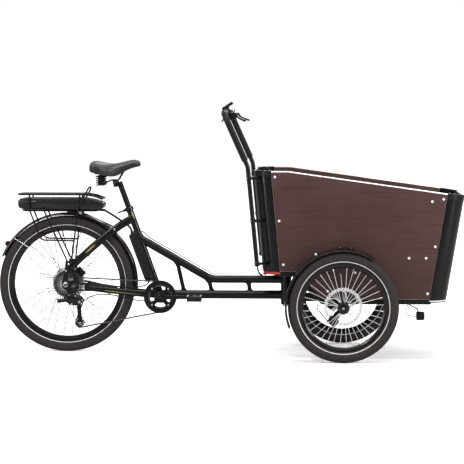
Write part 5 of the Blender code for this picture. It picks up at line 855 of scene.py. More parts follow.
def derailleur():
    made = Piece("derailleur_parts")
    for y in (-0.0077, 0.0055):
        outline = []
        for centre, radius, start in ((GUIDE, 0.0102, 5), (TENSION, 0.0090, 185)):
            for k in range(9):
                p = polar((0, 0, 0), radius, start + k * 170 / 8)
                outline.append((centre.x - GUIDE.x + p.x, centre.z - GUIDE.z + p.z))
        sheet = plate([outline], Vector((GUIDE.x, -CHAINLINE, GUIDE.z)), y, y + 0.0022)
        made.add(SATIN, rounded(sheet, 0.0005, 1))
    for centre in (GUIDE, TENSION):
        at = centre + ACROSS * (-CHAINLINE - centre.y)
        made.add(STEEL, peg(at, -0.0085, -0.0070, 0.0042, 12, 0.0004))
        made.add(STEEL, peg(at, -0.0070, 0.0070, 0.0025, 10))
    y = -CHAINLINE - 0.0062
    shape = [(-0.0697, 0.0187), (-0.0620, 0.0270), (-0.0500, 0.0333), (-0.0208, 0.0343), (0.0052, 0.0177),
             (0.0150, 0.0090), (0.0177, 0.0031), (0.0146, -0.0135), (0.0021, -0.0229), (-0.0312, -0.0229),
             (-0.0624, -0.0052), (-0.0690, 0.0080)]
    body = [(GUIDE.x + a, GUIDE.z + b) for a, b in shape]
    made.add(PLASTIC, prism(body, y - 0.0238, y - 0.0130, edge=0.0032))
    backing = [(GUIDE.x + 0.94 * a - 0.001, GUIDE.z + 0.92 * b) for a, b in shape]
    made.add(SATIN, prism(backing, y - 0.0140, y, edge=0.0015))
    inner = [(-0.058, 0.017), (-0.048, 0.024), (-0.024, 0.025), (-0.004, 0.013), (0.002, 0.002),
             (-0.012, -0.008), (-0.034, -0.010)]
    inner = [(GUIDE.x + a, GUIDE.z + b) for a, b in inner]
    made.add(GLOSS, prism(inner, y - 0.0249, y - 0.0230, edge=0.0010))
    for x, z, r, metal in ((-0.0585, 0.0090, 0.0042, DARK_STEEL), (0.0065, -0.0060, 0.0062, STEEL),
                           (-0.0300, -0.0150, 0.0036, STEEL), (-0.0120, 0.0225, 0.0030, STEEL),
                           (-0.0440, 0.0270, 0.0026, STEEL)):
        at = Vector((GUIDE.x + x, y - 0.0232, GUIDE.z + z))
        made.add(metal, peg(at, 0.0, -0.0014, r, 20, 0.0005))
    start = GUIDE + Vector((-0.0570, 0, 0.0021)) - ACROSS * (GUIDE.y + CHAINLINE + 0.0180)
    end = start + Vector((-0.0449, 0, -0.0042))
    length = (end - start).length
    profile = [(0.0084, 0.0), (0.0084, 0.010)]
    for k in range(7):
        step = 0.0042 * k
        profile += [(0.0076, 0.0105 + step), (0.0076, 0.0118 + step), (0.0106, 0.0122 + step),
                    (0.0106, 0.0142 + step)]
    profile += [(0.0100, length - 0.001), (0.0070, length)]
    made.add(PLASTIC, turned(profile, start, end - start, 24))
    made.add(STEEL, rod((GUIDE.x - 0.0245, y - 0.012, GUIDE.z + 0.0405),
                        (GUIDE.x - 0.0205, y - 0.012, GUIDE.z + 0.0325), 0.0024, 8))
    cable = [(CRANK.x - 0.020, -0.030, CRANK.z - 0.024), (CRANK.x - 0.065, -0.035, CRANK.z - 0.022),
             (CRANK.x - 0.115, -0.046, CRANK.z - 0.018), (REAR.x + 0.240, -0.066, REAR.z - 0.052),
             (REAR.x + 0.165, -0.082, REAR.z - 0.046), (GUIDE.x + 0.060, -0.088, GUIDE.z + 0.020),
             (GUIDE.x + 0.034, -0.080, GUIDE.z + 0.004), (GUIDE.x + 0.0125, -0.070, GUIDE.z)]
    made.add(RUBBER, tube(smooth(cable), 0.0027, 12))
    tip, before = Vector(cable[-1]), Vector(cable[-2])
    made.add(STEEL, rod(tip, tip + (before - tip).normalized() * 0.012, 0.0034, 12, 0.0006))
    made.make("frame", "plastic", "derailleur")
    for name, centre in (("guide_pulley", GUIDE), ("tension_pulley", TENSION)):
        at = centre + ACROSS * (-CHAINLINE - centre.y)
        r = pitch_radius(PULLEY_TEETH)
        lines = [gear(PULLEY_TEETH, r - 0.0042, r + 0.0018), disc_line(0.0035, 16)]
        lines += [disc_line(0.0024, 10, 0.0092 * math.cos(k * math.pi / 3),
                            0.0092 * math.sin(k * math.pi / 3))
                  for k in range(6)]
        Piece(name + "_toothed").add(PLASTIC, plate(lines, at, -0.0011, 0.0011)).make(name, "plastic", name)


# Shares of the arm's length with its half height, thickness and inner face there
ARM_SECTIONS = ((-0.012, 0.006, 0.010, 0.0625), (-0.008, 0.0125, 0.0135, 0.0612),
                (0.03, 0.0140, 0.0140, 0.061), (0.25, 0.0118, 0.0130, 0.0615), (0.5, 0.0100, 0.0120, 0.0622),
                (0.80, 0.0096, 0.0118, 0.0627), (0.93, 0.0118, 0.0125, 0.0622),
                (1.02, 0.0112, 0.0125, 0.0622), (1.055, 0.0070, 0.0105, 0.0630))


def crank_end(forward):
    return Vector((CRANK.x + forward * CRANK_LENGTH, 0, CRANK.z))


def crank_arm(side, forward):
    """Forged arm, drawn in between its ends and faceted along its face."""
    rows = []
    for share, half, thick, out in ARM_SECTIONS:
        x = CRANK.x + forward * CRANK_LENGTH * share
        middle = side * (out + thick / 2)
        rows.append([Vector((x, middle + a, CRANK.z + b)) for a, b in oval(thick / 2, half, 20, 0.62)])
    return loft(rows)


def cranks():
    y = -CHAINLINE - 0.0035 - 0.002
    cranked = Piece("crank_set_forged")
    r = pitch_radius(RING_TEETH)
    lines = [gear(RING_TEETH, r - 0.0042, r + 0.0030), disc_line(0.050, 48)]
    cranked.add(DARK_STEEL, plate(lines, CRANK - ACROSS * CHAINLINE, -0.0012, 0.0012))
    windows = [sector(0.030, 0.0600, k * 90, 31) for k in range(4)]
    cranked.add(SATIN, plate([disc_line(0.0790, 96)] + windows, CRANK, y - 0.0028, y - 0.0004))
    cranked.add(SATIN, washer(0.0700, 0.0800, CRANK, y - 0.0036, y),
                washer(0.0590, 0.0625, CRANK, y - 0.0034, y))
    for k in range(4):
        arm = block_at(CRANK, (0.012, 0.064), (y - 0.0055, y + 0.0035), (-0.0085, 0.0085), 0.002)
        cranked.add(SATIN, spun(arm, CRANK, 45 + k * 90))
        at = polar(CRANK, 0.0555, 45 + k * 90, y - 0.0052)
        cranked.add(STEEL, peg(at, 0.0, -0.0016, 0.0045, 16, 0.0006))
    cranked.add(SATIN, turned([(0.020, -0.0748), (0.024, -0.073), (0.024, -0.045), (0.010, -0.045)], CRANK))
    cranked.add(SATIN, turned([(0.0085, -0.070), (0.0085, 0.070)], CRANK))
    cranked.add(SATIN, turned([(0.010, 0.046), (0.018, 0.046), (0.018, 0.074), (0.012, 0.076)], CRANK))
    for side, forward in ((-1, 1), (1, -1)):
        cranked.add(SATIN, crank_arm(side, forward))
        cap = [(0.0095, 0.0745), (0.0095, 0.0762), (0.0075, 0.0772), (0.002, 0.0772)]
        cranked.add(GLOSS, turned(on_side(side, cap), CRANK))
        end = crank_end(forward)
        spindle = [(0.0045, 0.062), (0.0045, 0.0800), (0.0042, 0.166)]
        cranked.add(STEEL, turned(on_side(side, spindle), end, sides=16))
        cranked.add(STEEL, turned(on_side(side, [(0.0070, 0.0755), (0.0070, 0.0785)]), end, sides=6))
    cranked.make("cranks", "satin_black", "crank_set")


def pedal(tag):
    side = SIDES[tag]
    centre = crank_end(-side)
    made = Piece("pedal_" + tag + "_moulded")
    near, far = 0.0803, 0.1737

    def bar(x, y, z, edge=0.002, material=PLASTIC):
        made.add(material, block_at(centre, x, sided(side, *y), z, edge))

    bar((-0.034, 0.034), (near, near + 0.011), (-0.0125, 0.0125), 0.003)
    bar((-0.034, 0.034), (far - 0.011, far), (-0.0125, 0.0125), 0.003)
    for x in (-0.034, 0.028):
        bar((x, x + 0.006), (near + 0.004, far - 0.004), (-0.0135, 0.0135))
        for k in range(7):
            y = near + 0.014 + k * 0.0105
            bar((x, x + 0.006), (y, y + 0.005), (-0.0140, 0.0140), 0.001)
    barrel = [(0.0112, near + 0.002), (0.0112, far - 0.002)]
    made.add(PLASTIC, turned(on_side(side, barrel), centre, sides=24))
    for k in range(3):
        y = near + 0.022 + k * 0.022
        bar((-0.030, 0.030), (y, y + 0.005), (-0.0075, 0.0075), 0.001)
    # Brushed strips along the pedal's upper edges: painted highlights of the edges that face up
    for x in (-0.0334, 0.0284):
        bar((x, x + 0.0050), (near + 0.006, far - 0.006), (0.0128, 0.0142), 0.0005, BRUSHED)
    made.add(GLOSS, turned(on_side(side, [(0.0085, far - 0.001), (0.0070, far + 0.0002)]), centre, sides=24))
    made.make("pedal_" + tag, "rubber", "pedal_" + tag)


cassette()
chain()
derailleur()
cranks()
pedal("right")
pedal("left")


# Rear frame

SEAT_LEAN = math.radians(20.0)
UPPER_SLOPE = math.radians(30.0)
SEAT_TUBE_L, SEAT_TUBE_R = 0.460, 0.0165
UPPER_R, LOWER_R, SHELL_R, HEAD_R = 0.019, 0.021, 0.022, 0.025
UPPER_BEND = 0.699                         # ahead of the rear axle
LOWER_Z = CRANK.z + 0.008
UPPER_Z = LOWER_Z + 0.0745
HEAD_FOOT = KINGPIN.z
HEAD_TOP = HEAD_FOOT + 0.139


def ahead(distance):
    """X of a station this far ahead of the rear axle."""
    return REAR.x + distance


def seat_axis(distance):
    return Vector((CRANK.x - distance * math.sin(SEAT_LEAN), 0, CRANK.z + distance * math.cos(SEAT_LEAN)))


def upper_z(distance):
    return UPPER_Z + max(0.0, UPPER_BEND - distance) * math.tan(UPPER_SLOPE)


# How far up the seat tube the upper tube's line meets it, 0.457 being the crank ahead of the rear axle
SEAT_MEETS = (math.tan(UPPER_SLOPE) * (UPPER_BEND - 0.457) + UPPER_Z - CRANK.z) / (
    math.cos(SEAT_LEAN) - math.sin(SEAT_LEAN) * math.tan(UPPER_SLOPE))
DOWN_SLOPE = Vector((math.cos(UPPER_SLOPE), 0, -math.sin(UPPER_SLOPE)))
CASE_FOOT, CASE_TOP, CASE_D = 0.088, SEAT_MEETS + 0.047, 0.04596
RACK_FRONT, RACK_REAR, RISER_FRONT, RISER_REAR = 0.180, -0.234, 0.070, -0.175
DOCK_Z = span("battery", 2)[0] - 0.0003


def bolt(at, axis, radius=0.004, height=0.003, washer_r=0.0):
    """Cap screw standing on a surface, with a socket in its head."""
    axis = Vector(axis).normalized()
    solids = []
    if washer_r:
        flat = [(washer_r, -0.0004), (washer_r, 0.0008), (washer_r - 0.0004, 0.0011)]
        solids.append(turned(flat, at, axis, 20))
        at = Vector(at) + axis * 0.0010
    solids.append(turned([(radius, -0.0005), (radius, height - 0.0005), (radius - 0.0005, height),
                          (0.55 * radius, height), (0.5 * radius, 0.45 * height)], at, axis, 18))
    return solids


def main_frame():
    made = Piece("main_frame_welded")
    seat_tube = [(SEAT_TUBE_R, 0), (SEAT_TUBE_R, SEAT_TUBE_L - 0.001), (0.0157, SEAT_TUBE_L),
                 (0.0138, SEAT_TUBE_L)]
    made.add(POWDER, turned(seat_tube, CRANK, SEAT_UP, 40))
    meeting = seat_axis(SEAT_MEETS) + DOWN_SLOPE * 0.009
    bend = Vector((ahead(UPPER_BEND), 0, UPPER_Z))
    made.add(POWDER, tube(eased([meeting, bend, (KINGPIN.x, 0, UPPER_Z)], 0.10, 14), UPPER_R, 36))
    made.add(POWDER, rod((CRANK.x + 0.004, 0, LOWER_Z), (KINGPIN.x, 0, LOWER_Z), LOWER_R, 40))
    shell = [(0.0195, -0.0365), (0.0215, -0.0365), (SHELL_R, -0.0360), (SHELL_R, 0.0360), (0.0215, 0.0365),
             (0.0195, 0.0365)]
    made.add(POWDER, turned(shell, CRANK, sides=48))
    foot, head = HEAD_FOOT - 0.0043, HEAD_TOP + 0.0043
    half = ((0.0215, 0.0), (0.0235, 0.0005), (HEAD_R, 0.002), (HEAD_R, 0.0036), (0.0242, 0.0040),
            (0.0242, 0.0046), (HEAD_R, 0.0050))
    profile = [(r, foot + t) for r, t in half] + [(r, head - t) for r, t in reversed(half)]
    made.add(POWDER, turned(profile, (KINGPIN.x, 0, 0), UP, 48))
    for above, below in ((0.533, 0.572), (0.689, 0.706), (0.881, 0.891)):
        start = Vector((ahead(above), 0, upper_z(above)))
        end = Vector((ahead(below), 0, LOWER_Z))
        length = (end - start).length
        rows, path = [], []
        for k in range(17):
            t = k / 16
            near = min(t, 1 - t) * length
            flare = 0.010 + 0.009 * max(0.0, 1 - max(0.0, near - 0.015) / 0.016) ** 2
            path.append(start.lerp(end, t))
            rows.append(oval(0.010, flare, 28))
        made.add(POWDER, swept(path, rows, side=ACROSS))
        along = (end - start).normalized()
        middle = start.lerp(end, 0.5)
        made.add(POWDER, weld(middle, along, 0.0135, (0, 0, LOWER_Z), RIGHT, LOWER_R, 0.0016, 1.25))
    made.add(POWDER, weld(seat_axis(0.12), -SEAT_UP, SEAT_TUBE_R, CRANK, ACROSS, SHELL_R))
    made.add(POWDER, weld((ahead(0.60), 0, LOWER_Z), -RIGHT, LOWER_R, CRANK, ACROSS, SHELL_R))
    start = seat_axis(SEAT_MEETS) + DOWN_SLOPE * 0.08
    made.add(POWDER, weld(start, -DOWN_SLOPE, UPPER_R, CRANK, SEAT_UP, SEAT_TUBE_R))
    for z, r in ((UPPER_Z, UPPER_R), (LOWER_Z, LOWER_R)):
        made.add(POWDER, weld((KINGPIN.x - 0.09, 0, z), RIGHT, r, KINGPIN, UP, HEAD_R))
    made.add(STEEL, *bolt((ahead(0.262), 0, LOWER_Z - 0.020), -UP, 0.003, 0.002))
    made.make("frame", "frame_black", "main_frame")
    trim = Piece("frame_stripes")
    rows = []
    for k in range(9):
        p = seat_axis(0.398 + 0.036 * k / 8)
        width = 0.0075 * math.sin(math.pi * (k + 0.5) / 9) ** 0.6
        row = []
        for lift in (0.0002, -0.0006):
            for i in range(5):
                across = 0.5 - (width / SEAT_TUBE_R) * (-0.5 + i / 4) * (1 if lift > 0 else -1)
                angle = math.asin(max(-0.95, min(0.95, across)))
                r = SEAT_TUBE_R + lift
                row.append(p - SEAT_BACK * r * math.sin(angle) - ACROSS * r * math.cos(angle))
        rows.append(row)
    trim.add(OLIVE, loft(rows))
    trim.make("frame", "frame_black")


def seat_stay_point(share, y):
    """Point of a seat stay's middle line at a share of its height, this far across."""
    low = Vector((REAR.x + 0.018, 0, REAR.z + 0.080))
    top = seat_axis(0.400) + Vector((0.004, 0, 0.004))
    bulge = 0.014 if 0 < share < 1 else 0.0
    return low.lerp(top, share) + Vector((0, y, bulge))


def seat_stay(side, per_span):
    return smooth([seat_stay_point(share, side * y) for share, y in
                   ((1.0, 0.018), (0.757, 0.040), (0.398, 0.058), (0.0, 0.0705))], per_span)


def chain_stay(side, per_span):
    behind = [(ahead(x), side * y, REAR.z - fall) for x, y, fall in
              ((0.350, 0.044, 0.044), (0.240, 0.058, 0.032), (0.110, 0.0705, 0.017))]
    return smooth([(CRANK.x + 0.004, side * 0.026, CRANK.z + 0.006)] + behind, per_span)


DROPOUT_IN, DROPOUT_OUT = 0.0675, 0.0735
DROPOUT_WINDOWS = (((0.008, 0.056), (0.029, 0.056), (0.040, 0.032), (0.034, 0.016), (0.012, 0.016)),
                   ((0.028, 0.002), (0.044, 0.008), (0.092, -0.002), (0.092, -0.023), (0.046, -0.024),
                    (0.026, -0.014)))


def stripe(path, side, low, high, half, out, drop=0.0, count=9):
    """Tapering stripe on the outer face of a stay, over a share of its path."""
    rows = []
    for k in range(count):
        t = low + (high - low) * k / (count - 1)
        i = min(len(path) - 2, int(t * (len(path) - 1)))
        p = path[i].lerp(path[i + 1], t * (len(path) - 1) - i)
        along = (path[i + 1] - path[i]).normalized()
        up = Vector((-along.z, 0, along.x)).normalized()
        up = up if up.z > 0 else -up
        width = half * math.sin(math.pi * (k + 0.5) / count) + 0.0008
        middle = Vector((p.x, side * (abs(p.y) + out), p.z)) + up * drop
        rows.append([middle + up * a + ACROSS * side * b for a, b in
                     ((-width, -0.0006), (-width, 0.0), (width, 0.0), (width, -0.0006))])
    return loft(rows)


def rear_triangle():
    made = Piece("rear_triangle_welded")
    dropout = ((-0.018, 0.012), (-0.016, -0.018), (0.004, -0.030), (0.026, -0.052), (0.036, -0.052),
               (0.040, -0.032), (0.135, -0.032), (0.135, 0.000), (0.070, 0.012), (0.042, 0.070),
               (0.034, 0.115), (0.000, 0.115), (-0.004, 0.065))
    for side in (-1, 1):
        path = seat_stay(side, 6)
        rows = []
        for k in range(len(path)):
            t = k / (len(path) - 1)
            rows.append(oval(0.0080 - 0.003 * max(0.0, t - 0.7) / 0.3, 0.020 - 0.0045 * t, 28, 0.85))
        made.add(POWDER, swept(path, rows, side=ACROSS))
        path = chain_stay(side, 6)
        rows = [oval(0.008, 0.017 - 0.004 * k / (len(path) - 1), 28, 0.85) for k in range(len(path))]
        made.add(POWDER, swept(path, rows, side=ACROSS))
        lines = [dropout, disc_line(0.0064, 24), *DROPOUT_WINDOWS]
        made.add(POWDER, rounded(plate(lines, REAR, *sided(side, DROPOUT_IN, DROPOUT_OUT)), 0.0008, 1))
        face = REAR + ACROSS * side * DROPOUT_OUT
        made.add(STEEL, *bolt(face + RIGHT * 0.118 - UP * 0.024, ACROSS * side, 0.0035, 0.002))
    for p in (seat_stay_point(0.80, 0), Vector((ahead(0.372), 0, REAR.z - 0.046))):
        made.add(POWDER, peg(p, -0.040, 0.040, 0.007, 20))
    at = seat_stay_point(0.71, -0.0415) + Vector((0, -0.0075, 0.000))
    made.add(STEEL, *bolt(at, -ACROSS, 0.0048, 0.0032, 0.0062))
    made.make("frame", "frame_black", "rear_triangle")
    trim = Piece("stay_stripes")
    for side in (-1, 1):
        trim.add(OLIVE, stripe(seat_stay(1, 20), side, 0.655, 0.785, 0.0032, 0.0081))
        trim.add(OLIVE, stripe(chain_stay(1, 20), side, 0.30, 0.80, 0.0020, 0.0080, -0.002, 17))
    trim.make("frame", "frame_black")


def small_parts():
    axle = Piece("rear_axle_turned")
    nut = 0.0738
    for side in (-1, 1):
        for metal, sides, profile in (
                (STEEL, 24, [(0.006, 0.060), (0.006, nut + 0.012), (0.0045, nut + 0.0138)]),
                (STEEL, 28, [(0.0128, nut), (0.0128, nut + 0.0012)]),
                (STEEL, 6, [(0.0098, nut + 0.0012), (0.0104, nut + 0.0020), (0.0104, nut + 0.0070),
                            (0.0092, nut + 0.0080)]),
                (DARK_STEEL, 24, [(0.0093, 0.0550), (0.0093, 0.0672)])):
            axle.add(metal, turned(on_side(side, profile), REAR, sides=sides))
    axle.make("frame", "steel", "rear_axle")
    cups = Piece("bottom_bracket_cups")
    cup = [(0.0095, 0.0300), (0.0095, 0.0393), (0.0195, 0.0393), (0.0208, 0.0385), (0.0208, 0.0368),
           (0.0170, 0.0368), (0.0170, 0.0300)]
    for side in (-1, 1):
        cups.add(DARK_STEEL, ring(on_side(side, cup), CRANK))
        for k in range(8):
            tab = block_at(CRANK, (0.0180, 0.0211), sided(side, 0.0370, 0.0394), (-0.0022, 0.0022), 0.0004)
            cups.add(DARK_STEEL, spun(tab, CRANK, k * 45))
    cups.make("frame", "steel", "bottom_bracket")
    low, high = SEAT_TUBE_L - 0.018, SEAT_TUBE_L - 0.001
    clamp = Piece("seat_clamp_turned")
    clamp.add(GLOSS, ring(band_line(0.0169, 0.0211, low, high, 0.0006, 0.0008), seat_axis(0), SEAT_UP))
    middle = seat_axis((low + high) / 2) + SEAT_BACK * 0.0255
    for y in (-0.012, 0.003):
        clamp.add(GLOSS, peg(middle, y, y + 0.009, 0.0065, 24, 0.0008))
    clamp.add(STEEL, peg(middle, -0.004, 0.0135, 0.0026), peg(middle, 0.0115, 0.0142, 0.0052, 6, 0.0006))
    clamp.make("frame", "satin_black", "seat_clamp")
    hinge = middle - ACROSS * 0.0183
    lever = Piece("clamp_lever_cam")
    lever.add(GLOSS, rod(hinge - SEAT_UP * 0.006, hinge + SEAT_UP * 0.006, 0.0059, 28, 0.0010))
    lever.add(STEEL, rod(hinge - SEAT_UP * 0.0064, hinge + SEAT_UP * 0.0064, 0.0022, 12))
    path = [hinge + SEAT_BACK * (0.002 + 0.029 * k / 8) - ACROSS * 0.0012 * math.sin(math.pi * k / 8)
            for k in range(9)]
    rows = [oval(0.0030 + 0.0012 * k / 8, 0.0022, 16, 0.7) for k in range(9)]
    lever.add(GLOSS, swept(path, rows, side=SEAT_UP))
    lever.make("clamp_lever", "satin_black", "clamp_lever")


def frame_cables():
    """Routes of the controller's leads with their radii: one to the motor, two to the battery's dock."""
    leads = []
    end_y, stay_y = 0.0881, 0.0785
    motor = [(0.0, -end_y, 0.0), (0.0, -end_y - 0.008, 0.0), (0.015, -end_y - 0.010, 0.002),
             (0.045, -end_y - 0.002, 0.005), (0.085, -stay_y - 0.002, 0.006), (0.125, -stay_y + 0.006, 0.008),
             (0.180, -0.066, 0.002), (0.240, -0.056, -0.008), (0.320, -0.046, -0.016),
             (0.375, -0.030, -0.008), (0.396, -0.018, 0.004)]
    motor = [REAR + Vector(p) for p in motor]
    foot = seat_axis(0.092) + SEAT_BACK * 0.026
    motor.append(Vector((foot.x, -0.012, foot.z)))
    leads.append((motor, 0.0030))
    start_x = ahead(RACK_FRONT) - 0.0097
    case_top = seat_axis(CASE_TOP - 0.016) + SEAT_BACK * 0.028
    for y in (-0.0075, 0.0075):
        above = Vector((case_top.x - 0.014, y, case_top.z + 0.034))
        start = Vector((start_x + 0.020, y * 1.5, DOCK_Z - 0.009))
        lead = [(start_x, y * 1.6, DOCK_Z - 0.004), (start_x + 0.008, y * 1.6, DOCK_Z - 0.0043), start,
                start.lerp(above, 0.5) + Vector((0, 0, 0.003)), above, (case_top.x, y, case_top.z)]
        leads.append((lead, 0.0042))
    return leads


def upper_lead():
    """Corners of the lead that lies on the upper tube."""
    offset = UPPER_R + 0.0062
    above = Vector((math.sin(UPPER_SLOPE), 0, math.cos(UPPER_SLOPE)))
    bend = Vector((ahead(UPPER_BEND) + offset * math.tan(UPPER_SLOPE / 2), 0, UPPER_Z + offset))
    end = Vector((ahead(0.954), 0, UPPER_Z + offset))
    return [seat_axis(SEAT_MEETS + 0.0126) + SEAT_BACK * 0.004 + ACROSS * 0.0225,
            seat_axis(SEAT_MEETS + 0.0186) - SEAT_BACK * 0.006 + ACROSS * 0.0228,
            seat_axis(SEAT_MEETS + 0.0306) - SEAT_BACK * 0.020 + ACROSS * 0.016,
            seat_axis(SEAT_MEETS) + above * offset + DOWN_SLOPE * 0.035,
            bend, end, end + Vector((0.014, 0, -0.0035))]


def case_axis(rise):
    """Point on the seat tube's line at a share of the case's height."""
    return seat_axis(CASE_FOOT + (CASE_TOP - CASE_FOOT) * rise)


def case_line(*corners):
    """Outline of the case in side view from shares of its depth and height."""
    points = [case_axis(rise) + SEAT_BACK * CASE_D * back for back, rise in corners]
    return [(p.x, p.z) for p in points]


def controller():
    made = Piece("controller_moulded")
    case = case_line((0, 0.0), (0, 0.74), (0.345, 0.74), (0.345, 0.989), (1, 0.93), (1, 0.04), (0.8, 0.0))
    made.add(PLASTIC, prism(case, -0.030, 0.030, edge=0.006))
    cheek = case_line((0, 0.71), (0, 1.0), (0.22, 1.0), (0.42, 0.982), (0.42, 0.71))
    for side in (-1, 1):
        made.add(PLASTIC, prism(cheek, *sided(side, 0.0148, 0.030), edge=0.004))
    for side in (-1, 1):
        for k in range(10):
            low = seat_axis(CASE_FOOT + 0.020 + k * 0.0238)
            rib = [low + SEAT_BACK * back + SEAT_UP * up for back, up in
                   ((0.006, 0.0), (0.034, 0.0), (0.034, 0.012), (0.006, 0.012))]
            made.add(PLASTIC, prism([(p.x, p.z) for p in rib], *sided(side, 0.0295, 0.0308), edge=0.0006))
    for rise in (0.06, 0.94):
        for side in (-1, 1):
            at = case_axis(rise) + SEAT_BACK * 0.012 + ACROSS * side * 0.030
            made.add(DARK_STEEL, *bolt(at, ACROSS * side, 0.0030, 0.0016))
    collar = [(0.0160, 0.300), (0.0205, 0.300), (0.0205, 0.314), (0.0170, 0.314)]
    made.add(PLASTIC, ring(collar, CRANK, SEAT_UP, 36))
    for route, radius in frame_cables():
        made.add(RUBBER, tube(smooth(route), radius, 12))
        for end, near in ((0, 1), (-1, -2)):
            a, b = Vector(route[end]), Vector(route[near])
            boot = [(radius + 0.0018, 0), (radius + 0.0016, 0.006), (radius, 0.016)]
            made.add(RUBBER, turned(boot, a, b - a, 16))
    made.add(RUBBER, tube(eased(upper_lead(), 0.012, 6), 0.0022, 12))
    made.make("frame", "plastic", "controller_case")
    clips = Piece("frame_cable_clips")
    clip = [(0.0186, -0.0016), (0.0197, -0.0016), (0.0197, 0.0016), (0.0186, 0.0016)]
    for k in range(4):
        at = seat_axis(SEAT_MEETS) + DOWN_SLOPE * (0.05 + 0.05 * k)
        clips.add(RUBBER, ring(clip, at, DOWN_SLOPE, 36))
    clips.make("frame", "plastic")


# Mudguard, rack and battery

def curved_guard(piece, material, centre, y, outer, half, start, end, steps, drop=0.010, thick=0.002):
    """Mudguard of rounded section with rolled edges."""
    rows = []
    for k in range(steps + 1):
        angle = start + (end - start) * k / steps
        row = []
        for i in range(13):
            t = -1 + i / 6
            fall = drop * abs(t) ** 2.6
            row.append((outer - fall, half * math.sin(t * math.pi / 2)))
        rim_in = [(r - thick, w * (1 - 0.0012 / half)) for r, w in reversed(row)]
        rows.append([polar(centre, r, angle, y + w) for r, w in row + rim_in])
    piece.add(material, loft(rows))
    for side in (-1, 1):
        edge = [polar(centre, outer - drop - 0.0010, start + (end - start) * k / steps,
                      y + side * (half - 0.0008))
                for k in range(steps + 1)]
        piece.add(material, tube(edge, 0.0016, 8))


def rear_mudguard():
    made = Piece("rear_mudguard_formed")
    outer = REAR_TYRE_R + 0.015
    curved_guard(made, GLOSS, REAR, 0.0, outer, 0.030, -5, 157, 81)
    for side in (-1, 1):
        start = polar(REAR, outer - 0.0095, 139.0, side * 0.0300)
        eyelet = Vector((REAR.x + 0.004, side * 0.0760, REAR.z + 0.066))
        wire = [start, eyelet + Vector((-0.034, 0, 0.0205)), eyelet]
        made.add(STEEL, tube(eased(wire, 0.02, 4), 0.0017, 10))
        made.add(STEEL, turned([(0.0042, -0.0018), (0.0042, 0.0018)], eyelet, ACROSS, 20))
        made.add(STEEL, *bolt(eyelet + ACROSS * side * 0.0014, ACROSS * side, 0.0036, 0.0026))
        made.add(STEEL, *bolt(start + ACROSS * side * 0.0006, ACROSS * side, 0.0030, 0.0020))
        clip = block((-0.007, 0.007), (-0.0016, 0.0016), (-0.006, 0.006), 0.0008)
        made.add(PLASTIC, ([p + start for p in clip[0]], clip[1]))
    bridge = seat_stay_point(0.80, 0)
    toward = (REAR - bridge).normalized()
    foot = REAR - toward * (outer - 0.001)
    made.add(STEEL, rod(bridge + toward * 0.0073, foot, 0.0058, 16, 0.0006))
    made.make("frame", "satin_black", "rear_mudguard")
    low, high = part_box("tail_light")
    front = low.x + 0.0082
    lamp = Piece("tail_light_lens")
    slope = 0.9 * (high.x - front - 0.002) / (high.z - low.z)
    wedge = [(front, low.z), (high.x - 0.004 - slope * (high.z - low.z), low.z), (high.x - 0.0022, high.z),
             (front, high.z)]
    lamp.add(PLASTIC, prism(wedge, -0.0145, 0.0145, edge=0.0012))
    edges = (low.z - 0.0006, high.z + 0.0006)
    lamp.add(PLASTIC, block((front - 0.0034, front + 0.0010), (-0.0158, 0.0158), edges, 0.0016))
    lens = [(low.x + 0.0008, low.z + 0.004), (front - 0.0030, low.z + 0.0004),
            (front - 0.0030, high.z - 0.0004), (low.x + 0.0008, high.z - 0.004),
            (low.x - 0.0004, high.z - 0.007), (low.x - 0.0004, low.z + 0.007)]
    lamp.add(RED, prism(lens, -0.0152, 0.0152, edge=0.0012))
    for k in range(4):
        z = low.z + 0.0055 + k * 0.0036
        lamp.add(RED, block((low.x - 0.0010, low.x + 0.0020), (-0.0135, 0.0135), (z - 0.0008, z + 0.0008),
                            0.0004))
    lamp.make("frame", "red_lens", "tail_light")


def rack_nose(across, z):
    """Points down the platform's drooping front end."""
    front = ahead(RACK_FRONT)
    return [(front, across, z - 0.022), (front - 0.03825, across, z - 0.0077), (front - 0.085, across, z)]


def rack_stay(side):
    """Stay from under the dock forward to the seat stay, with the tab that it hangs on."""
    here, before = seat_stay_point(0.689, 0), seat_stay_point(0.639, 0)
    up = ACROSS.cross(here - before).normalized()
    up = up if up.z > 0 else -up
    tip = here + up * (0.0155 + 0.0045 * 0.689 + 0.0026)
    low, x, y = DOCK_Z - 0.023, ahead(RISER_FRONT), side * 0.044
    path = [(x - 0.064, y, DOCK_Z - 0.010), (x + 0.018, y, low - 0.004), (tip.x, y, tip.z)]
    return [tube(eased(path, 0.05, 8), 0.004, 16),
            block((x - 0.006, x + 0.006), (y - 0.003, y + 0.003), (low - 0.002, DOCK_Z - 0.006), 0.0008)]


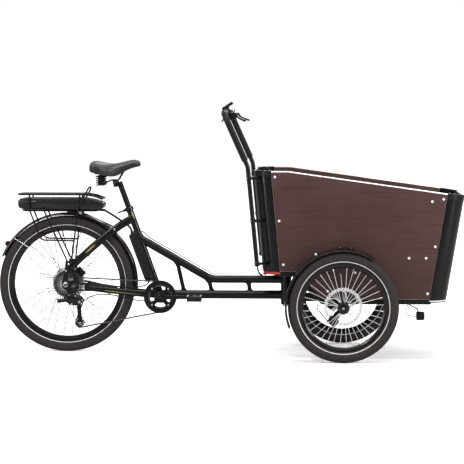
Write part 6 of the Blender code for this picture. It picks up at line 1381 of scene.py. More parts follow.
def rack():
    made = Piece("rear_rack_welded")
    front, rear = ahead(RACK_FRONT), ahead(RACK_REAR)
    rise_f, rise_r = ahead(RISER_FRONT), ahead(RISER_REAR)
    z = span("battery", 2)[1] + 0.0166
    y, r, thin = 0.0615, 0.005, 0.004
    corners = rack_nose(y, z) + [(rear + r, y, z), (rear + r, -y, z)] + rack_nose(-y, z)[::-1]
    made.add(SATIN, tube(eased(corners, 0.022, 8), r, 18))
    for x, height in ((front - 0.002, z - 0.021), (rise_r, z), (rise_r, DOCK_Z - 0.006), (rise_f, z),
                      (rise_f, DOCK_Z - 0.006)):
        made.add(SATIN, peg(Vector((x, 0, height)), -y, y, thin, 16))
    for across in (-y / 3, y / 3):
        made.add(SATIN, tube(eased(rack_nose(across, z) + [(rear + r, across, z)], 0.022, 8), 0.0035, 14))
    for side in (-1, 1):
        eyelet = Vector((REAR.x + 0.016, side * 0.0815, REAR.z + 0.100))
        second = eyelet + Vector((0.013, 0, 0.004))
        knee = Vector((rise_f - 0.010, side * y, DOCK_Z - 0.006))
        made.add(SATIN, tube(eased([(rise_f, side * y, z), knee, second], 0.03, 8), thin, 16))
        middle = Vector((REAR.x - 0.106, side * y, DOCK_Z - 0.004))
        made.add(SATIN, rod(middle + Vector((-0.004, 0, 0.012)), eyelet, thin, 16))
        made.add(SATIN, rod((rise_r, side * y, z), (rise_r, side * y, DOCK_Z - 0.006), thin, 16))
        made.add(SATIN, rod((rise_r, side * y, DOCK_Z), middle + Vector((0.010, 0, 0)), thin, 16))
        meets = knee.lerp(second, (knee.z - REAR.z - 0.2125) / (knee.z - second.z))
        hoop_rear = Vector((REAR.x - 0.118, meets.y, meets.z + 0.003))
        made.add(SATIN, tube(eased([(rise_r, side * y, DOCK_Z), hoop_rear, meets], 0.03, 8), thin, 16))
        made.add(SATIN, peg(eyelet, side * -0.0075, side * 0.002, 0.0046, 20, 0.0006))
        made.add(SATIN, rod(eyelet, second, thin, 16))
        made.add(STEEL, *bolt(eyelet + ACROSS * side * 0.0032, ACROSS * side, 0.0046, 0.0034, 0.0056))
        made.add(SATIN, *rack_stay(side))
        lug = Vector((rise_f - 0.005, side * y, DOCK_Z + 0.016))
        made.add(SATIN, peg(lug, 0.0, side * 0.0054, 0.0038, 16, 0.0004))
        at = Vector((rise_f + 0.001, side * 0.0472, DOCK_Z - 0.016))
        made.add(STEEL, *bolt(at, ACROSS * side, 0.0058, 0.0032, 0.0074))
    made.add(SATIN, block((rear + 0.020, front - 0.010), (-0.030, 0.030), (DOCK_Z - 0.008, DOCK_Z), 0.002))
    for side in (-1, 1):
        flange = sided(side, 0.0268, 0.030)
        made.add(SATIN, block((rear + 0.030, front - 0.030), flange, (DOCK_Z - 0.0105, DOCK_Z - 0.006),
                              0.0008))
    made.make("frame", "satin_black", "rear_rack")
    clip = Piece("rack_clip_sprung")
    hinge = Vector((rise_f - 0.005, 0, DOCK_Z + 0.016))
    out = y + 0.010
    knee = hinge + Vector((0.042, 0, 0.078))
    corners = [hinge - ACROSS * out, knee - ACROSS * out, knee + Vector((0.004, -0.6 * out, 0.012)),
               knee + Vector((0.004, 0.6 * out, 0.012)), knee + ACROSS * out, hinge + ACROSS * out]
    clip.add(RUBBER, tube(eased(corners, 0.014, 8), 0.0042, 16))
    for side in (-1, 1):
        clip.add(SATIN, peg(hinge, side * (out - 0.0040), side * (out + 0.0038), 0.0046, 16, 0.0005))
    clip.make("rack_clip", "rubber", "rack_clip")


def battery():
    low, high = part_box("battery")
    made = Piece("battery_case")
    z, h = low.z, high.z - low.z
    rear, front = low.x, high.x
    outline = [(rear + 0.030, z), (front - 0.030, z), (front - 0.012, z + 0.07 * h),
               (front - 0.004, z + 0.18 * h), (front, z + 0.45 * h), (front - 0.004, z + 0.58 * h),
               (front - 0.016, z + 0.68 * h), (front - 0.055, z + 0.87 * h), (front - 0.100, z + h),
               (rear + 0.040, z + h), (rear + 0.012, z + 0.93 * h), (rear, z + 0.78 * h),
               (rear, z + 0.30 * h), (rear + 0.008, z + 0.10 * h)]
    made.add(ANODISED, prism(outline, -0.055, 0.055, edge=0.0090))
    for side in (-1, 1):
        band = (z + 0.54 * h, z + 0.585 * h)
        made.add(GLOSS, block((rear + 0.050, front - 0.060), sided(side, 0.0544, 0.0553), band, 0.0003))
        for k in range(2):
            rib = (z + 0.012 + k * 0.009, z + 0.015 + k * 0.009)
            made.add(ANODISED, block((rear + 0.060, front - 0.070), sided(side, 0.0545, 0.0556), rib, 0.0006))
    for x in (rear + 0.040, front - 0.125):
        strap = [(x - 0.0014, z + 0.0015), (x + 0.0014, z + 0.0015), (x + 0.0014, z + h - 0.0012),
                 (x - 0.0014, z + h - 0.0012)]
        made.add(PLASTIC, prism(strap, -0.0553, 0.0553, edge=0.0006))
    made.add(PLASTIC, block((rear - 0.0004, rear + 0.004), (-0.030, 0.030), (z + 0.020, z + 0.042), 0.0015))
    made.add(STEEL, rod((rear - 0.0006, 0.040, z + 0.030), (rear + 0.003, 0.040, z + 0.030), 0.0055, 24,
                        0.0006))
    for k in range(4):
        at = Vector((rear + 0.060 + k * 0.008, -0.0552, z + 0.040))
        made.add(RED if k == 0 else WHITE_REFLECTOR, peg(at, 0.0, 0.0012, 0.0014, 10))
    made.make("battery", "plastic", "battery")


# Seat

SEAT_HEAD = seat_axis(SEAT_TUBE_L + 0.130) + Vector((-0.017, 0, 0.002))
RAIL_Z = SEAT_HEAD.z + 0.006
SPRING_FOOT = SEAT_HEAD.z - 0.013
SPRING_X = SEAT_HEAD.x - 0.071
SPRING_R, SPRING_Y = 0.0195, 0.050


def seat():
    made = Piece("seat_post_turned")
    top = 0.258
    made.add(SATIN, turned([(0.0125, 0), (0.0136, 0.001), (0.0136, top - 0.004), (0.0128, top),
                            (0.0100, top + 0.0015)],
                           seat_axis(SEAT_TUBE_L - 0.130), SEAT_UP, 36))
    neck = [(SEAT_HEAD.x - 0.0105, SEAT_HEAD.z - 0.027), (SEAT_HEAD.x + 0.004, SEAT_HEAD.z - 0.028),
            (SEAT_HEAD.x + 0.020, SEAT_HEAD.z - 0.020), (SEAT_HEAD.x + 0.018, SEAT_HEAD.z - 0.004),
            (SEAT_HEAD.x + 0.006, SEAT_HEAD.z - 0.001), (SEAT_HEAD.x - 0.0110, SEAT_HEAD.z - 0.004)]
    made.add(SATIN, prism(neck, -0.0155, 0.0155, edge=0.003))
    centre = SEAT_HEAD - UP * 0.004
    for y0, y1, r in ((-0.034, -0.017, 0.0128), (-0.0165, 0.0165, 0.0118), (0.017, 0.034, 0.0128)):
        made.add(SATIN, peg(centre, y0, y1, r, 32, 0.0015))
    made.add(STEEL, peg(centre, -0.0375, 0.0375, 0.0042, 16, 0.0005))
    for side in (-1, 1):
        made.add(DARK_STEEL, peg(centre, side * 0.0340, side * 0.0385, 0.0072, 6, 0.0006))
    made.make("seat", "satin_black", "seat_post")
    wires = Piece("saddle_rails_bent")
    for side in (-1, 1):
        corners = [(SEAT_HEAD.x + 0.040, side * 0.018, SEAT_HEAD.z + 0.052),
                   (SEAT_HEAD.x + 0.014, side * 0.022, RAIL_Z), (SEAT_HEAD.x - 0.022, side * 0.022, RAIL_Z),
                   (SPRING_X + 0.004, side * 0.025, SPRING_FOOT - 0.004)]
        wires.add(SATIN, tube(eased(corners, 0.014, 8), 0.0035, 16))
    rim = SPRING_R + 0.002
    wires.add(SATIN, block((SPRING_X - rim, SPRING_X + rim), (-SPRING_Y - rim, SPRING_Y + rim),
                           (SPRING_FOOT - 0.006, SPRING_FOOT - 0.002), 0.0012))
    seat_of_spring = [(0.0145, 0), (0.0145, 0.0020), (0.0120, 0.0032)]
    for side in (-1, 1):
        wires.add(SATIN, turned(seat_of_spring, (SPRING_X, side * SPRING_Y, SPRING_FOOT - 0.0030), UP, 32))
    wires.make("seat", "satin_black", "saddle_rails")
    for tag, side in SIDES.items():
        coil = []
        for k in range(161):
            angle = 2 * math.pi * k / 40
            coil.append(Vector((SPRING_X + SPRING_R * math.cos(angle),
                                side * SPRING_Y + SPRING_R * math.sin(angle),
                                SPRING_FOOT + (0.0013 + 0.0414 * k / 160))))
        piece = Piece("saddle_spring_" + tag + "_coiled").add(SATIN, tube(coil, 0.0030, 12))
        piece.make("seat", "satin_black", "saddle_spring_" + tag)


# Shares of the saddle's length with the half width, crown and skirt there
SADDLE_SHAPE = ((0.000, 0.010, -0.0170, -0.0270), (0.020, 0.019, -0.0060, -0.0310),
                (0.070, 0.025, -0.0010, -0.0340), (0.160, 0.028, 0.0000, -0.0400),
                (0.280, 0.031, -0.0060, -0.0520), (0.400, 0.037, -0.0130, -0.0680),
                (0.500, 0.047, -0.0170, -0.0790), (0.600, 0.062, -0.0165, -0.0800),
                (0.700, 0.081, -0.0130, -0.0750), (0.800, 0.095, -0.0080, -0.0690),
                (0.890, 0.098, -0.0050, -0.0630), (0.950, 0.090, -0.0080, -0.0590),
                (0.985, 0.074, -0.0140, -0.0540), (1.000, 0.054, -0.0220, -0.0480))


def saddle_row(share):
    """Half width, crown and skirt of the saddle at a share of its length, eased between stations."""
    points = SADDLE_SHAPE
    i = max(k for k in range(len(points) - 1) if points[k][0] <= share + 1e-9)
    a, b = points[i], points[i + 1]
    before, after = points[max(i - 1, 0)], points[min(i + 2, len(points) - 1)]
    t = (share - a[0]) / (b[0] - a[0])
    row = []
    for c in (1, 2, 3):
        m0 = (b[c] - before[c]) / max(1e-6, b[0] - before[0]) * (b[0] - a[0])
        m1 = (after[c] - a[c]) / max(1e-6, after[0] - a[0]) * (b[0] - a[0])
        row.append((2 * t ** 3 - 3 * t * t + 1) * a[c] + (t ** 3 - 2 * t * t + t) * m0
                   + (3 * t * t - 2 * t ** 3) * b[c] + (t ** 3 - t * t) * m1)
    return row


def saddle():
    """Comfort saddle with a shallow relief channel, a welted seam and a plastic base."""
    nose, top = SEAT_HEAD.x + 0.120, SEAT_HEAD.z + 0.104
    length = 0.243
    shares = sorted({0.0, 0.006, 0.013, 0.02, 0.035, 0.05, 0.07, 0.975, 0.985, 0.993, 1.0}
                    | {0.07 + 0.905 * k / 34 for k in range(35)})
    rows, seam = [], {-1: [], 1: []}
    around = [0.0, 0.10, 0.20, 0.32, 0.44, 0.56, 0.68, 0.78, 0.86, 0.92, 0.965, 0.99, 1.0]
    under = ((1.000, 0.52), (0.998, 0.58), (0.992, 0.66), (0.985, 0.74), (0.97, 0.80), (0.975, 0.84),
             (0.965, 0.92), (0.93, 0.99), (0.88, 1.0), (0.80, 0.985), (0.60, 0.86), (0.30, 0.84), (0.0, 0.84))
    for share in shares:
        half, crown, skirt = saddle_row(share)
        depth = crown - skirt
        section = []
        for w in around:
            fall = 0.42 * depth * w ** 3.2
            lengthwise = math.sin(math.pi * min(1.0, max(0.0, (share - 0.25) / 0.7)))
            channel = 0.0035 * max(0.0, 1 - (w / 0.22) ** 2) * max(0.0, lengthwise)
            section.append((w, crown - fall - channel))
        for w, drop in under:
            section.append((w, crown - drop * depth))
        x = nose - share * length
        right = [Vector((x, -half * w, top + z)) for w, z in section]
        left = [Vector((x, half * w, top + z)) for w, z in reversed(section[1:-1])]
        rows.append(right + left)
        if 0.004 < share < 0.997:
            for side in (-1, 1):
                seam[side].append(Vector((x, side * half * 0.977, top + crown - 0.805 * depth)))
    made = Piece("saddle_padded").add(LEATHERETTE, loft(rows))
    welt = seam[-1][::-1] + seam[1]
    made.add(PLASTIC, tube(welt, 0.0013, 8))
    spring_top, rim = SPRING_FOOT + 0.046, SPRING_R + 0.005
    base = [(SPRING_X - rim, spring_top + 0.0030), (SPRING_X + rim, spring_top),
            (SPRING_X + rim, spring_top + 0.016), (SPRING_X - rim, spring_top + 0.016)]
    made.add(PLASTIC, prism(base, -0.049 - rim, 0.049 + rim, edge=0.003))
    piece = made.make("saddle", "saddle", "saddle", crease=40)


main_frame()
rear_triangle()
small_parts()
controller()
rear_mudguard()
rack()
battery()
seat()
saddle()


# Cargo box

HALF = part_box("box_side_left")[1].y
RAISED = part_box("box_rear")[0].z
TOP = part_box("box_rear")[1].z
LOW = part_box("box_front")[0].z
PLY = 0.009
SLIT = 0.0003                              # between a panel and its neighbour
CORNER_R, CORNER_STEPS = 0.083, 20
REAR_LEAN = math.tan(math.radians(5.2))
FRONT_LEAN = math.tan(math.radians(9.5))
TOP_FALL = math.tan(math.radians(7.92))
FALL_FROM = ahead(1.0775)
STEP_X = ahead(1.1145)
STEP_FOOT_X = ahead(1.2445)
# Screws on a side panel
BOLTS = ((0.2299, 0.8615), (0.2504, 0.6556), (0.2701, 0.4507), (0.4226, 0.4998), (0.6061, 0.4146),
         (0.4779, 0.3271), (0.9641, 0.7478), (1.0165, 0.7590), (0.9790, 0.5372), (0.8569, 0.4834),
         (0.9364, 0.4834), (0.9444, 0.3173))


def rear_face(z):
    return ahead(0.9583) - (z - RAISED) * REAR_LEAN


def front_face(z):
    return ahead(1.8238) + (z - LOW) * FRONT_LEAN


def front_top(inset):
    """Where the front face, moved back by an inset, meets the top edge."""
    foot = ahead(1.8238) - inset
    z = (TOP - TOP_FALL * (foot - FALL_FROM - LOW * FRONT_LEAN)) / (1 + TOP_FALL * FRONT_LEAN)
    return foot + (z - LOW) * FRONT_LEAN, z


def grown(outline, by):
    """Outline moved outwards by a margin at each corner."""
    count = len(outline)
    area = sum(outline[i - 1][0] * outline[i][1] - outline[i][0] * outline[i - 1][1] for i in range(count))
    sense = 1 if area > 0 else -1
    result = []
    for i in range(count):
        a, b, c = (Vector(outline[(i + k) % count]) for k in (-1, 0, 1))
        first, second = (b - a).normalized(), (c - b).normalized()
        n1, n2 = Vector((first.y, -first.x)) * sense, Vector((second.y, -second.x)) * sense
        result.append(tuple(b + (n1 + n2) / max(0.3, 1 + n1.dot(n2)) * by))
    return result


def corner_row(side, front, outer, inner, height, on_top=False):
    """Section of a corner at a height, or along the top edge with a height over it."""
    middle, row = HALF - CORNER_R, []
    for radius, order in ((CORNER_R - outer, range(CORNER_STEPS + 1)),
                          (CORNER_R - inner, range(CORNER_STEPS, -1, -1))):
        for k in order:
            angle = math.pi / 2 * k / CORNER_STEPS
            inset, y = CORNER_R - radius * math.sin(angle), side * (middle + radius * math.cos(angle))
            if front and on_top:
                x, z = front_top(inset)
                x, z = x + height * FRONT_LEAN, z + height
            else:
                z = TOP + height if on_top else height
                x = front_face(z) - inset if front else rear_face(z) + inset
            row.append((x, y, z))
    return row


def corner(side, front, *rows):
    """Solid along a corner of the box through the sections given as for corner_row."""
    return loft([corner_row(side, front, *row) for row in rows])


def box_side(tag, side):
    inset = CORNER_R + SLIT
    outline = [(rear_face(RAISED) + inset, RAISED), (STEP_X, RAISED), (STEP_FOOT_X, LOW),
               (front_face(LOW) - inset, LOW), front_top(inset), (FALL_FROM, TOP),
               (rear_face(TOP) + inset, TOP)]
    made = Piece("box_side_" + tag + "_panel")
    low, high = sorted((side * (HALF - PLY), side * HALF))
    made.add(FILM_PLY, prism(grown(outline, -0.0007), low, high, edge=0.0004))
    made.add(PLY_EDGE, plate([outline, grown(outline, -0.0030)], (0, 0, 0), low + 0.0009, high - 0.0009))
    # Near-white strip round the panel's top edge, painted as the highlight of an edge lit from above
    highlight_section = ((0.0003, -0.0050), (0.0003, -0.0012), (-0.0010, 0.0002), (-0.0046, 0.0002), (-0.0046, -0.0030))
    along_top = (front_top(inset + 0.001), (FALL_FROM, TOP), (rear_face(TOP) + inset + 0.001, TOP))
    made.add(EDGE_HIGHLIGHT, loft([[Vector((x, side * (HALF + out), z + up)) for out, up in highlight_section]
                               for x, z in along_top]))
    for x, z in BOLTS:
        made.add(BRIGHT, *bolt((x, side * HALF, z), ACROSS * side, 0.0046, 0.0028, 0.0058))
    made.make("front", "plywood", "box_side_" + tag)


def end_bolts(piece, face, axis, heights):
    for y in (-0.20, 0.0, 0.20):
        for z in heights:
            piece.add(STEEL, *bolt((face(z), y, z), axis, 0.0048, 0.0026, 0.0064))


def box_ends():
    width = HALF - CORNER_R - SLIT
    rear = Piece("box_rear_panel")
    foot, head = rear_face(RAISED), rear_face(TOP)
    sheet = [(foot, RAISED), (foot + PLY, RAISED), (head + PLY, TOP - 0.0006), (head, TOP - 0.0006)]
    rear.add(FILM_PLY, prism(sheet, -width, width, edge=0.0004))
    core = [(head + 0.0008, TOP - 0.004), (head + PLY - 0.0008, TOP - 0.004), (head + PLY - 0.0008, TOP),
            (head + 0.0008, TOP)]
    rear.add(PLY_EDGE, prism(core, -width, width))
    end_bolts(rear, rear_face, -RIGHT, (RAISED + 0.012, TOP - 0.030))
    rear.make("front", "plywood", "box_rear")
    front = Piece("box_front_panel")
    (x0, z0), (x1, z1) = front_top(0), front_top(PLY)
    sheet = [(front_face(LOW), LOW), (x0, z0 - 0.0006), (x1, z1 - 0.0006), (front_face(LOW) - PLY, LOW)]
    front.add(FILM_PLY, prism(sheet, -width, width, edge=0.0004))
    (a0, b0), (a1, b1) = front_top(0.0008), front_top(PLY - 0.0008)
    front.add(PLY_EDGE, prism([(a0, b0), (a1, b1), (a1, b1 - 0.004), (a0, b0 - 0.004)], -width, width))
    end_bolts(front, front_face, RIGHT, (LOW + 0.014, z0 - 0.030))
    front.make("front", "plywood", "box_front")


def box_inside():
    inside, round_r = HALF - PLY - SLIT, CORNER_R - PLY - SLIT
    turn = math.atan2(RAISED - LOW, STEP_FOOT_X - STEP_X) / 2
    shift = PLY * math.tan(turn)
    first, last = rear_face(RAISED) + PLY + SLIT, front_face(LOW) - PLY - SLIT
    turn_in = [(round_r * (1 - math.cos(math.pi / 2 * k / 12)),
                inside - round_r * (1 - math.sin(math.pi / 2 * k / 12)))
               for k in range(13)]
    rows = [(first + x, RAISED, 0, w) for x, w in turn_in]
    rows += [(STEP_X, RAISED, shift, inside), (STEP_FOOT_X, LOW, shift, inside)]
    rows += [(last - x, LOW, 0, w) for x, w in reversed(turn_in)]
    floor = Piece("box_floor_panel")
    floor.add(FILM_PLY,
              loft([[(x, -w, z + 0.0002), (x, w, z + 0.0002), (x + s, w, z + PLY), (x + s, -w, z + PLY)]
                              for x, z, s, w in rows]))
    for x, z in ((0.23, RAISED), (0.30, RAISED), (STEP_FOOT_X + 0.05, LOW), (front_face(LOW) - 0.08, LOW)):
        for y in (-0.24, 0.24):
            floor.add(STEEL, *bolt((x, y, z + PLY), UP, 0.0048, 0.0026, 0.0064))
    floor.make("front", "plywood", "box_floor", crease=20)
    z, x0 = LOW + 0.198, ahead(1.585)
    x1 = x0 + 0.200
    seat = Piece("bench_board")
    board = [(x0, -inside), (x1 - 0.003, -inside), (x1, -inside + 0.003), (x1, inside - 0.003),
             (x1 - 0.003, inside), (x0, inside)]
    seat.add(FILM_PLY, prism(grown(board, -0.0006), z, z + PLY, "Z", edge=0.0012))
    seat.add(PLY_EDGE,
             plate([grown(board, -0.0002), grown(board, -0.004)], (0, 0, 0), z + 0.0012, z + PLY - 0.0012,
                             RIGHT, ACROSS, UP))
    for side in (-1, 1):
        seat.add(FILM_PLY, block((x0 + 0.02, x1 - 0.02), sided(side, inside - 0.0198, inside),
                                 (z - 0.022, z + 0.0005), 0.0015))
        for x in (x0 + 0.05, x1 - 0.05):
            seat.add(STEEL, *bolt((x, side * (inside - 0.0100), z + PLY), UP, 0.0042, 0.0022, 0.0058))
    seat.make("front", "plywood", "bench")


RAIL_H, RAIL_W = 0.024, 0.030
RAIL_OUT = HALF - 0.002
RAIL_REAR, RAIL_FRONT = RAISED - SLIT, LOW - SLIT      # tops of the rails' two levels


def rail_outline():
    rear, front = RAIL_REAR, RAIL_FRONT
    back, fore = rear_face(RAISED) + CORNER_R - 0.0057, front_face(LOW) - CORNER_R + 0.004
    shift = RAIL_H * math.tan(math.atan2(rear - front, STEP_FOOT_X - STEP_X) / 2)
    return [(back, rear), (STEP_X, rear), (STEP_FOOT_X, front), (fore, front), (fore, front - RAIL_H),
            (STEP_FOOT_X - shift, front - RAIL_H), (STEP_X - shift, rear - RAIL_H), (back, rear - RAIL_H)]


def box_corners():
    made = Piece("box_frame_profiles")
    outline = rail_outline()
    back, fore = outline[0][0] + 0.006, outline[3][0] - 0.006
    for side in (-1, 1):
        made.add(SATIN, prism(outline, *sided(side, RAIL_OUT - RAIL_W, RAIL_OUT), edge=0.0025))
        for x, z in ((outline[0][0] - 0.001, RAIL_REAR - RAIL_H / 2),
                     (outline[3][0] + 0.001, RAIL_FRONT - RAIL_H / 2)):
            made.add(PLASTIC,
                     block((x - 0.002, x + 0.002), sided(side, RAIL_OUT - RAIL_W + 0.002, RAIL_OUT - 0.002),
                                    (z - RAIL_H / 2 + 0.002, z + RAIL_H / 2 - 0.002), 0.001))
    cross, notch, under = RAIL_OUT - 0.010, 0.4063, RAIL_REAR - RAIL_H + 0.001
    for y0, y1, z0 in ((-cross, -0.060, under), (-0.061, 0.061, notch), (0.060, cross, under)):
        made.add(SATIN, block((back + 0.001, back + RAIL_W), (y0, y1), (z0, RAIL_REAR - 0.001), 0.002))
    made.add(SATIN, block((fore - RAIL_W, fore - 0.001), (-cross, cross),
                          (RAIL_FRONT - RAIL_H + 0.001, RAIL_FRONT - 0.001), 0.002))
    for side in (-1, 1):
        for front, z in ((False, RAISED), (True, LOW)):
            made.add(POWDER, corner(side, front, (0.0008, PLY - 0.0008, z), (0.0, PLY, z + 0.0010),
                                    (0.0, PLY, -0.004, True), (0.0008, PLY - 0.0008, -0.0030, True)))
            deep, shallow = (0.0112, 0.0048) if front else (0.0142, 0.0022)
            made.add(WHITE_REFLECTOR if front else RED,
                     corner(side, front, (0.0030, 0.0070, z - deep - 0.0008), (0.0018, 0.0075, z - deep),
                            (0.0018, 0.0075, z - shallow), (0.0030, 0.0070, z - shallow + 0.0008)))
            for levels in ((z - 0.0158, z - deep), (z - shallow - 0.0008, z + 0.0004)):
                made.add(PLASTIC, corner(side, front, *[(0.0004, PLY - 0.0006, level) for level in levels]))
            made.add(PLASTIC, corner(side, front, (-0.0004, PLY + 0.0006, -0.0260, True),
                                     (-0.0012, PLY + 0.0012, -0.0250, True),
                                     (-0.0012, PLY + 0.0012, 0.0010, True),
                                     (0.0004, PLY - 0.0004, 0.0030, True)))
            # Pale screw heads in a row along each cap's top, placed as painted glints where the caps catch
            # the light
            rim_top = corner_row(side, front, 0.0, PLY, 0.0028, True)
            for k in (1, 5, 9, 13, 17):
                made.add(BRIGHT,
                         *bolt(Vector(rim_top[k]).lerp(Vector(rim_top[-1 - k]), 0.5), UP, 0.0026, 0.0014))
    made.make("front", "satin_black", "box_frame")


# Subframe, steering and front wheels' fittings

HUB = Vector((FRONT["left"].x, 0, FRONT["left"].z))
BEAM_END = FRONT["left"].y - 0.055
HEAD_PLATE = KINGPIN.z + 0.1436
CALIPER_AT = 235                           # degrees round a front wheel
FRONT_GUARD_R = 0.273


def subframe():
    made = Piece("front_subframe_welded")
    top, low = RAIL_REAR, RAIL_FRONT
    fore = front_face(LOW) - CORNER_R - 0.002
    behind, front = KINGPIN.x + 0.034, STEP_X - 0.002
    cross = RAIL_OUT - RAIL_W
    made.add(SATIN, block((behind, front), (-cross, cross), (top - RAIL_H + 0.001, top - 0.001), 0.0025))
    made.add(SATIN, block_at(HUB, (-0.020, 0.020), (-BEAM_END, BEAM_END), (-0.020, 0.020), 0.004))
    made.add(SATIN, block((behind + 0.004, fore - 0.030), (-0.025, 0.025), (low - 0.040, low - 0.001), 0.003))
    lower_top = KINGPIN.z - 0.0046
    made.add(SATIN, block((behind + 0.001, behind + 0.014), (-0.036, 0.036), (lower_top - 0.007, top - 0.002),
                          0.002))
    for z in (lower_top - 0.008, HEAD_PLATE):
        outline = []
        for k in range(13):
            angle = math.pi / 2 + math.pi * k / 12
            outline.append((KINGPIN.x + 0.024 * math.cos(angle), 0.024 * math.sin(angle)))
        outline = [(behind + 0.012, 0.030)] + outline + [(behind + 0.012, -0.030)]
        made.add(SATIN, prism(outline, z, z + 0.008, "Z", edge=0.001))
    for side in (-1, 1):
        lug = block_at(HUB, (0.010, 0.094), sided(side, BEAM_END - 0.008, BEAM_END - 0.0008), (-0.016, 0.016),
                       0.002)
        made.add(SATIN, spun(lug, HUB, CALIPER_AT))
        stub = [(0.014, BEAM_END - 0.004), (0.014, BEAM_END + 0.0060), (0.0125, BEAM_END + 0.0065),
                (0.0075, BEAM_END + 0.0065), (0.0075, BEAM_END + 0.0910)]
        made.add(STEEL, turned(on_side(side, stub), HUB, sides=32))
        post_y = side * (RAIL_OUT - RAIL_W / 2)
        made.add(SATIN, block((HUB.x - 0.016, HUB.x + 0.016), (post_y - 0.012, post_y + 0.012),
                              (HUB.z + 0.018, low - RAIL_H + 0.001), 0.001))
    made.make("front", "satin_black", "front_subframe")
    pin = Piece("kingpin_turned")
    pin_top, pin_foot = HEAD_PLATE + 0.0083, lower_top - 0.0083
    for sides, profile in (
            (6, [(0.010, pin_foot - 0.009), (0.018, pin_foot - 0.0085), (0.018, pin_foot)]),
            (40, [(0.0125, pin_foot - 0.001), (0.0125, pin_top + 0.001)]),
            (40, [(0.0185, pin_top), (0.0185, pin_top + 0.001), (0.0175, pin_top + 0.0014)]),
            (6, [(0.016, pin_top + 0.001), (0.017, pin_top + 0.0020), (0.017, pin_top + 0.0052),
                 (0.016, pin_top + 0.006)])):
        pin.add(STEEL, turned(profile, (KINGPIN.x, 0, 0), UP, sides))
    pin.make("front", "steel", "kingpin")


def caliper(made, centre, side, degrees, disc_r, inner, outer, disc_y):
    """Two halves and a bridge round a disc's edge, with bolts and a piston cap."""
    for x, y, z, edge in (((-0.0255, 0.0135), (inner, disc_y - 0.0024), 0.0235, 0.004),
                          ((-0.0255, 0.0135), (disc_y + 0.0024, outer), 0.0235, 0.004),
                          ((0.0038, 0.0138), (inner + 0.002, outer - 0.002), 0.0205, 0.003)):
        part = block_at((centre.x + disc_r, 0.0, centre.z), x, sided(side, *y), (-z, z), edge)
        made.add(SATIN, spun(part, centre, degrees))
    for z in (-0.0165, 0.0165):
        at = Vector((centre.x + disc_r + 0.0075, side * outer, centre.z + z))
        for solid in bolt(at, ACROSS * side, 0.0042, 0.0030):
            made.add(STEEL, spun(solid, centre, degrees))
    hub = Vector((centre.x + disc_r - 0.010, 0, centre.z))
    cap = [(0.0105, outer - 0.001), (0.0105, outer + 0.0008), (0.0092, outer + 0.0016),
           (0.0030, outer + 0.0016), (0.0028, outer + 0.0010)]
    made.add(SATIN, spun(turned(on_side(side, cap), hub, sides=32), centre, degrees))


def calipers():
    rear = Piece("rear_caliper_halves")
    caliper(rear, REAR, 1, 42.0, REAR_DISC_R, 0.0445, 0.0655, REAR_DISC_Y)
    rear.make("frame", "satin_black", "rear_caliper")
    for tag, side in SIDES.items():
        made = Piece("front_caliper_" + tag + "_halves")
        caliper(made, HUB, side, CALIPER_AT, FRONT_DISC_R, BEAM_END - 0.0005, BEAM_END + 0.0235,
                FRONT["left"].y - FRONT_DISC_IN)
        grip = polar(HUB, 0.096, CALIPER_AT)
        x = HUB.x - 0.120
        hose = [(x, side * (RAIL_OUT - 0.015), LOW - RAIL_H - 0.0006),
                (x - 0.002, side * (RAIL_OUT - 0.010), LOW - RAIL_H - 0.020),
                (x + 0.014, side * (BEAM_END - 0.006), HUB.z - 0.030),
                (grip.x - 0.026, side * (BEAM_END + 0.004), grip.z + 0.020),
                (grip.x - 0.008, side * (BEAM_END + 0.006), grip.z + 0.002)]
        made.add(RUBBER, tube(smooth(hose), 0.0025, 12))
        end, before = Vector(hose[-1]), Vector(hose[-2])
        made.add(STEEL, turned([(0.0042, 0.0), (0.0042, 0.006), (0.0030, 0.010)], end, before - end, 12))
        made.make("front", "satin_black", "front_caliper_" + tag)


def fenders():
    for tag, side in SIDES.items():
        made = Piece("front_mudguard_" + tag + "_formed")
        y = FRONT[tag].y
        curved_guard(made, GLOSS, HUB, y, FRONT_GUARD_R, 0.031, 58, 201, 90, 0.0075, 0.0025)
        z = HUB.z + FRONT_GUARD_R
        across = sided(side, HALF + SLIT, FRONT["left"].y + 0.0186)
        made.add(GLOSS, block((HUB.x - 0.030, HUB.x + 0.048), across, (z - 0.001, z + 0.004), 0.0012))
        for x in (-0.018, 0.036):
            made.add(DARK_STEEL, *bolt((HUB.x + x, y, z + 0.004), UP, 0.0042, 0.0024, 0.0058))
        made.make("front", "gloss_black", "front_mudguard_" + tag)


# Handlebar and controls

BAR_R, GRIP_R, BAR_HALF_W = 0.0105, 0.0145, 0.335
BAR_RIGHT = [Vector((ahead(x), -BAR_HALF_W, RAISED + z))
             for x, z in ((0.9353, 0.026), (0.8907, 0.491), (0.7790, 0.740))]
BAR = BAR_RIGHT + [Vector((p.x, -p.y, p.z)) for p in reversed(BAR_RIGHT)]
BAR_RISE = (BAR[2] - BAR[1]).normalized()
BAR_X, BAR_Z = BAR[2].x, BAR[2].z


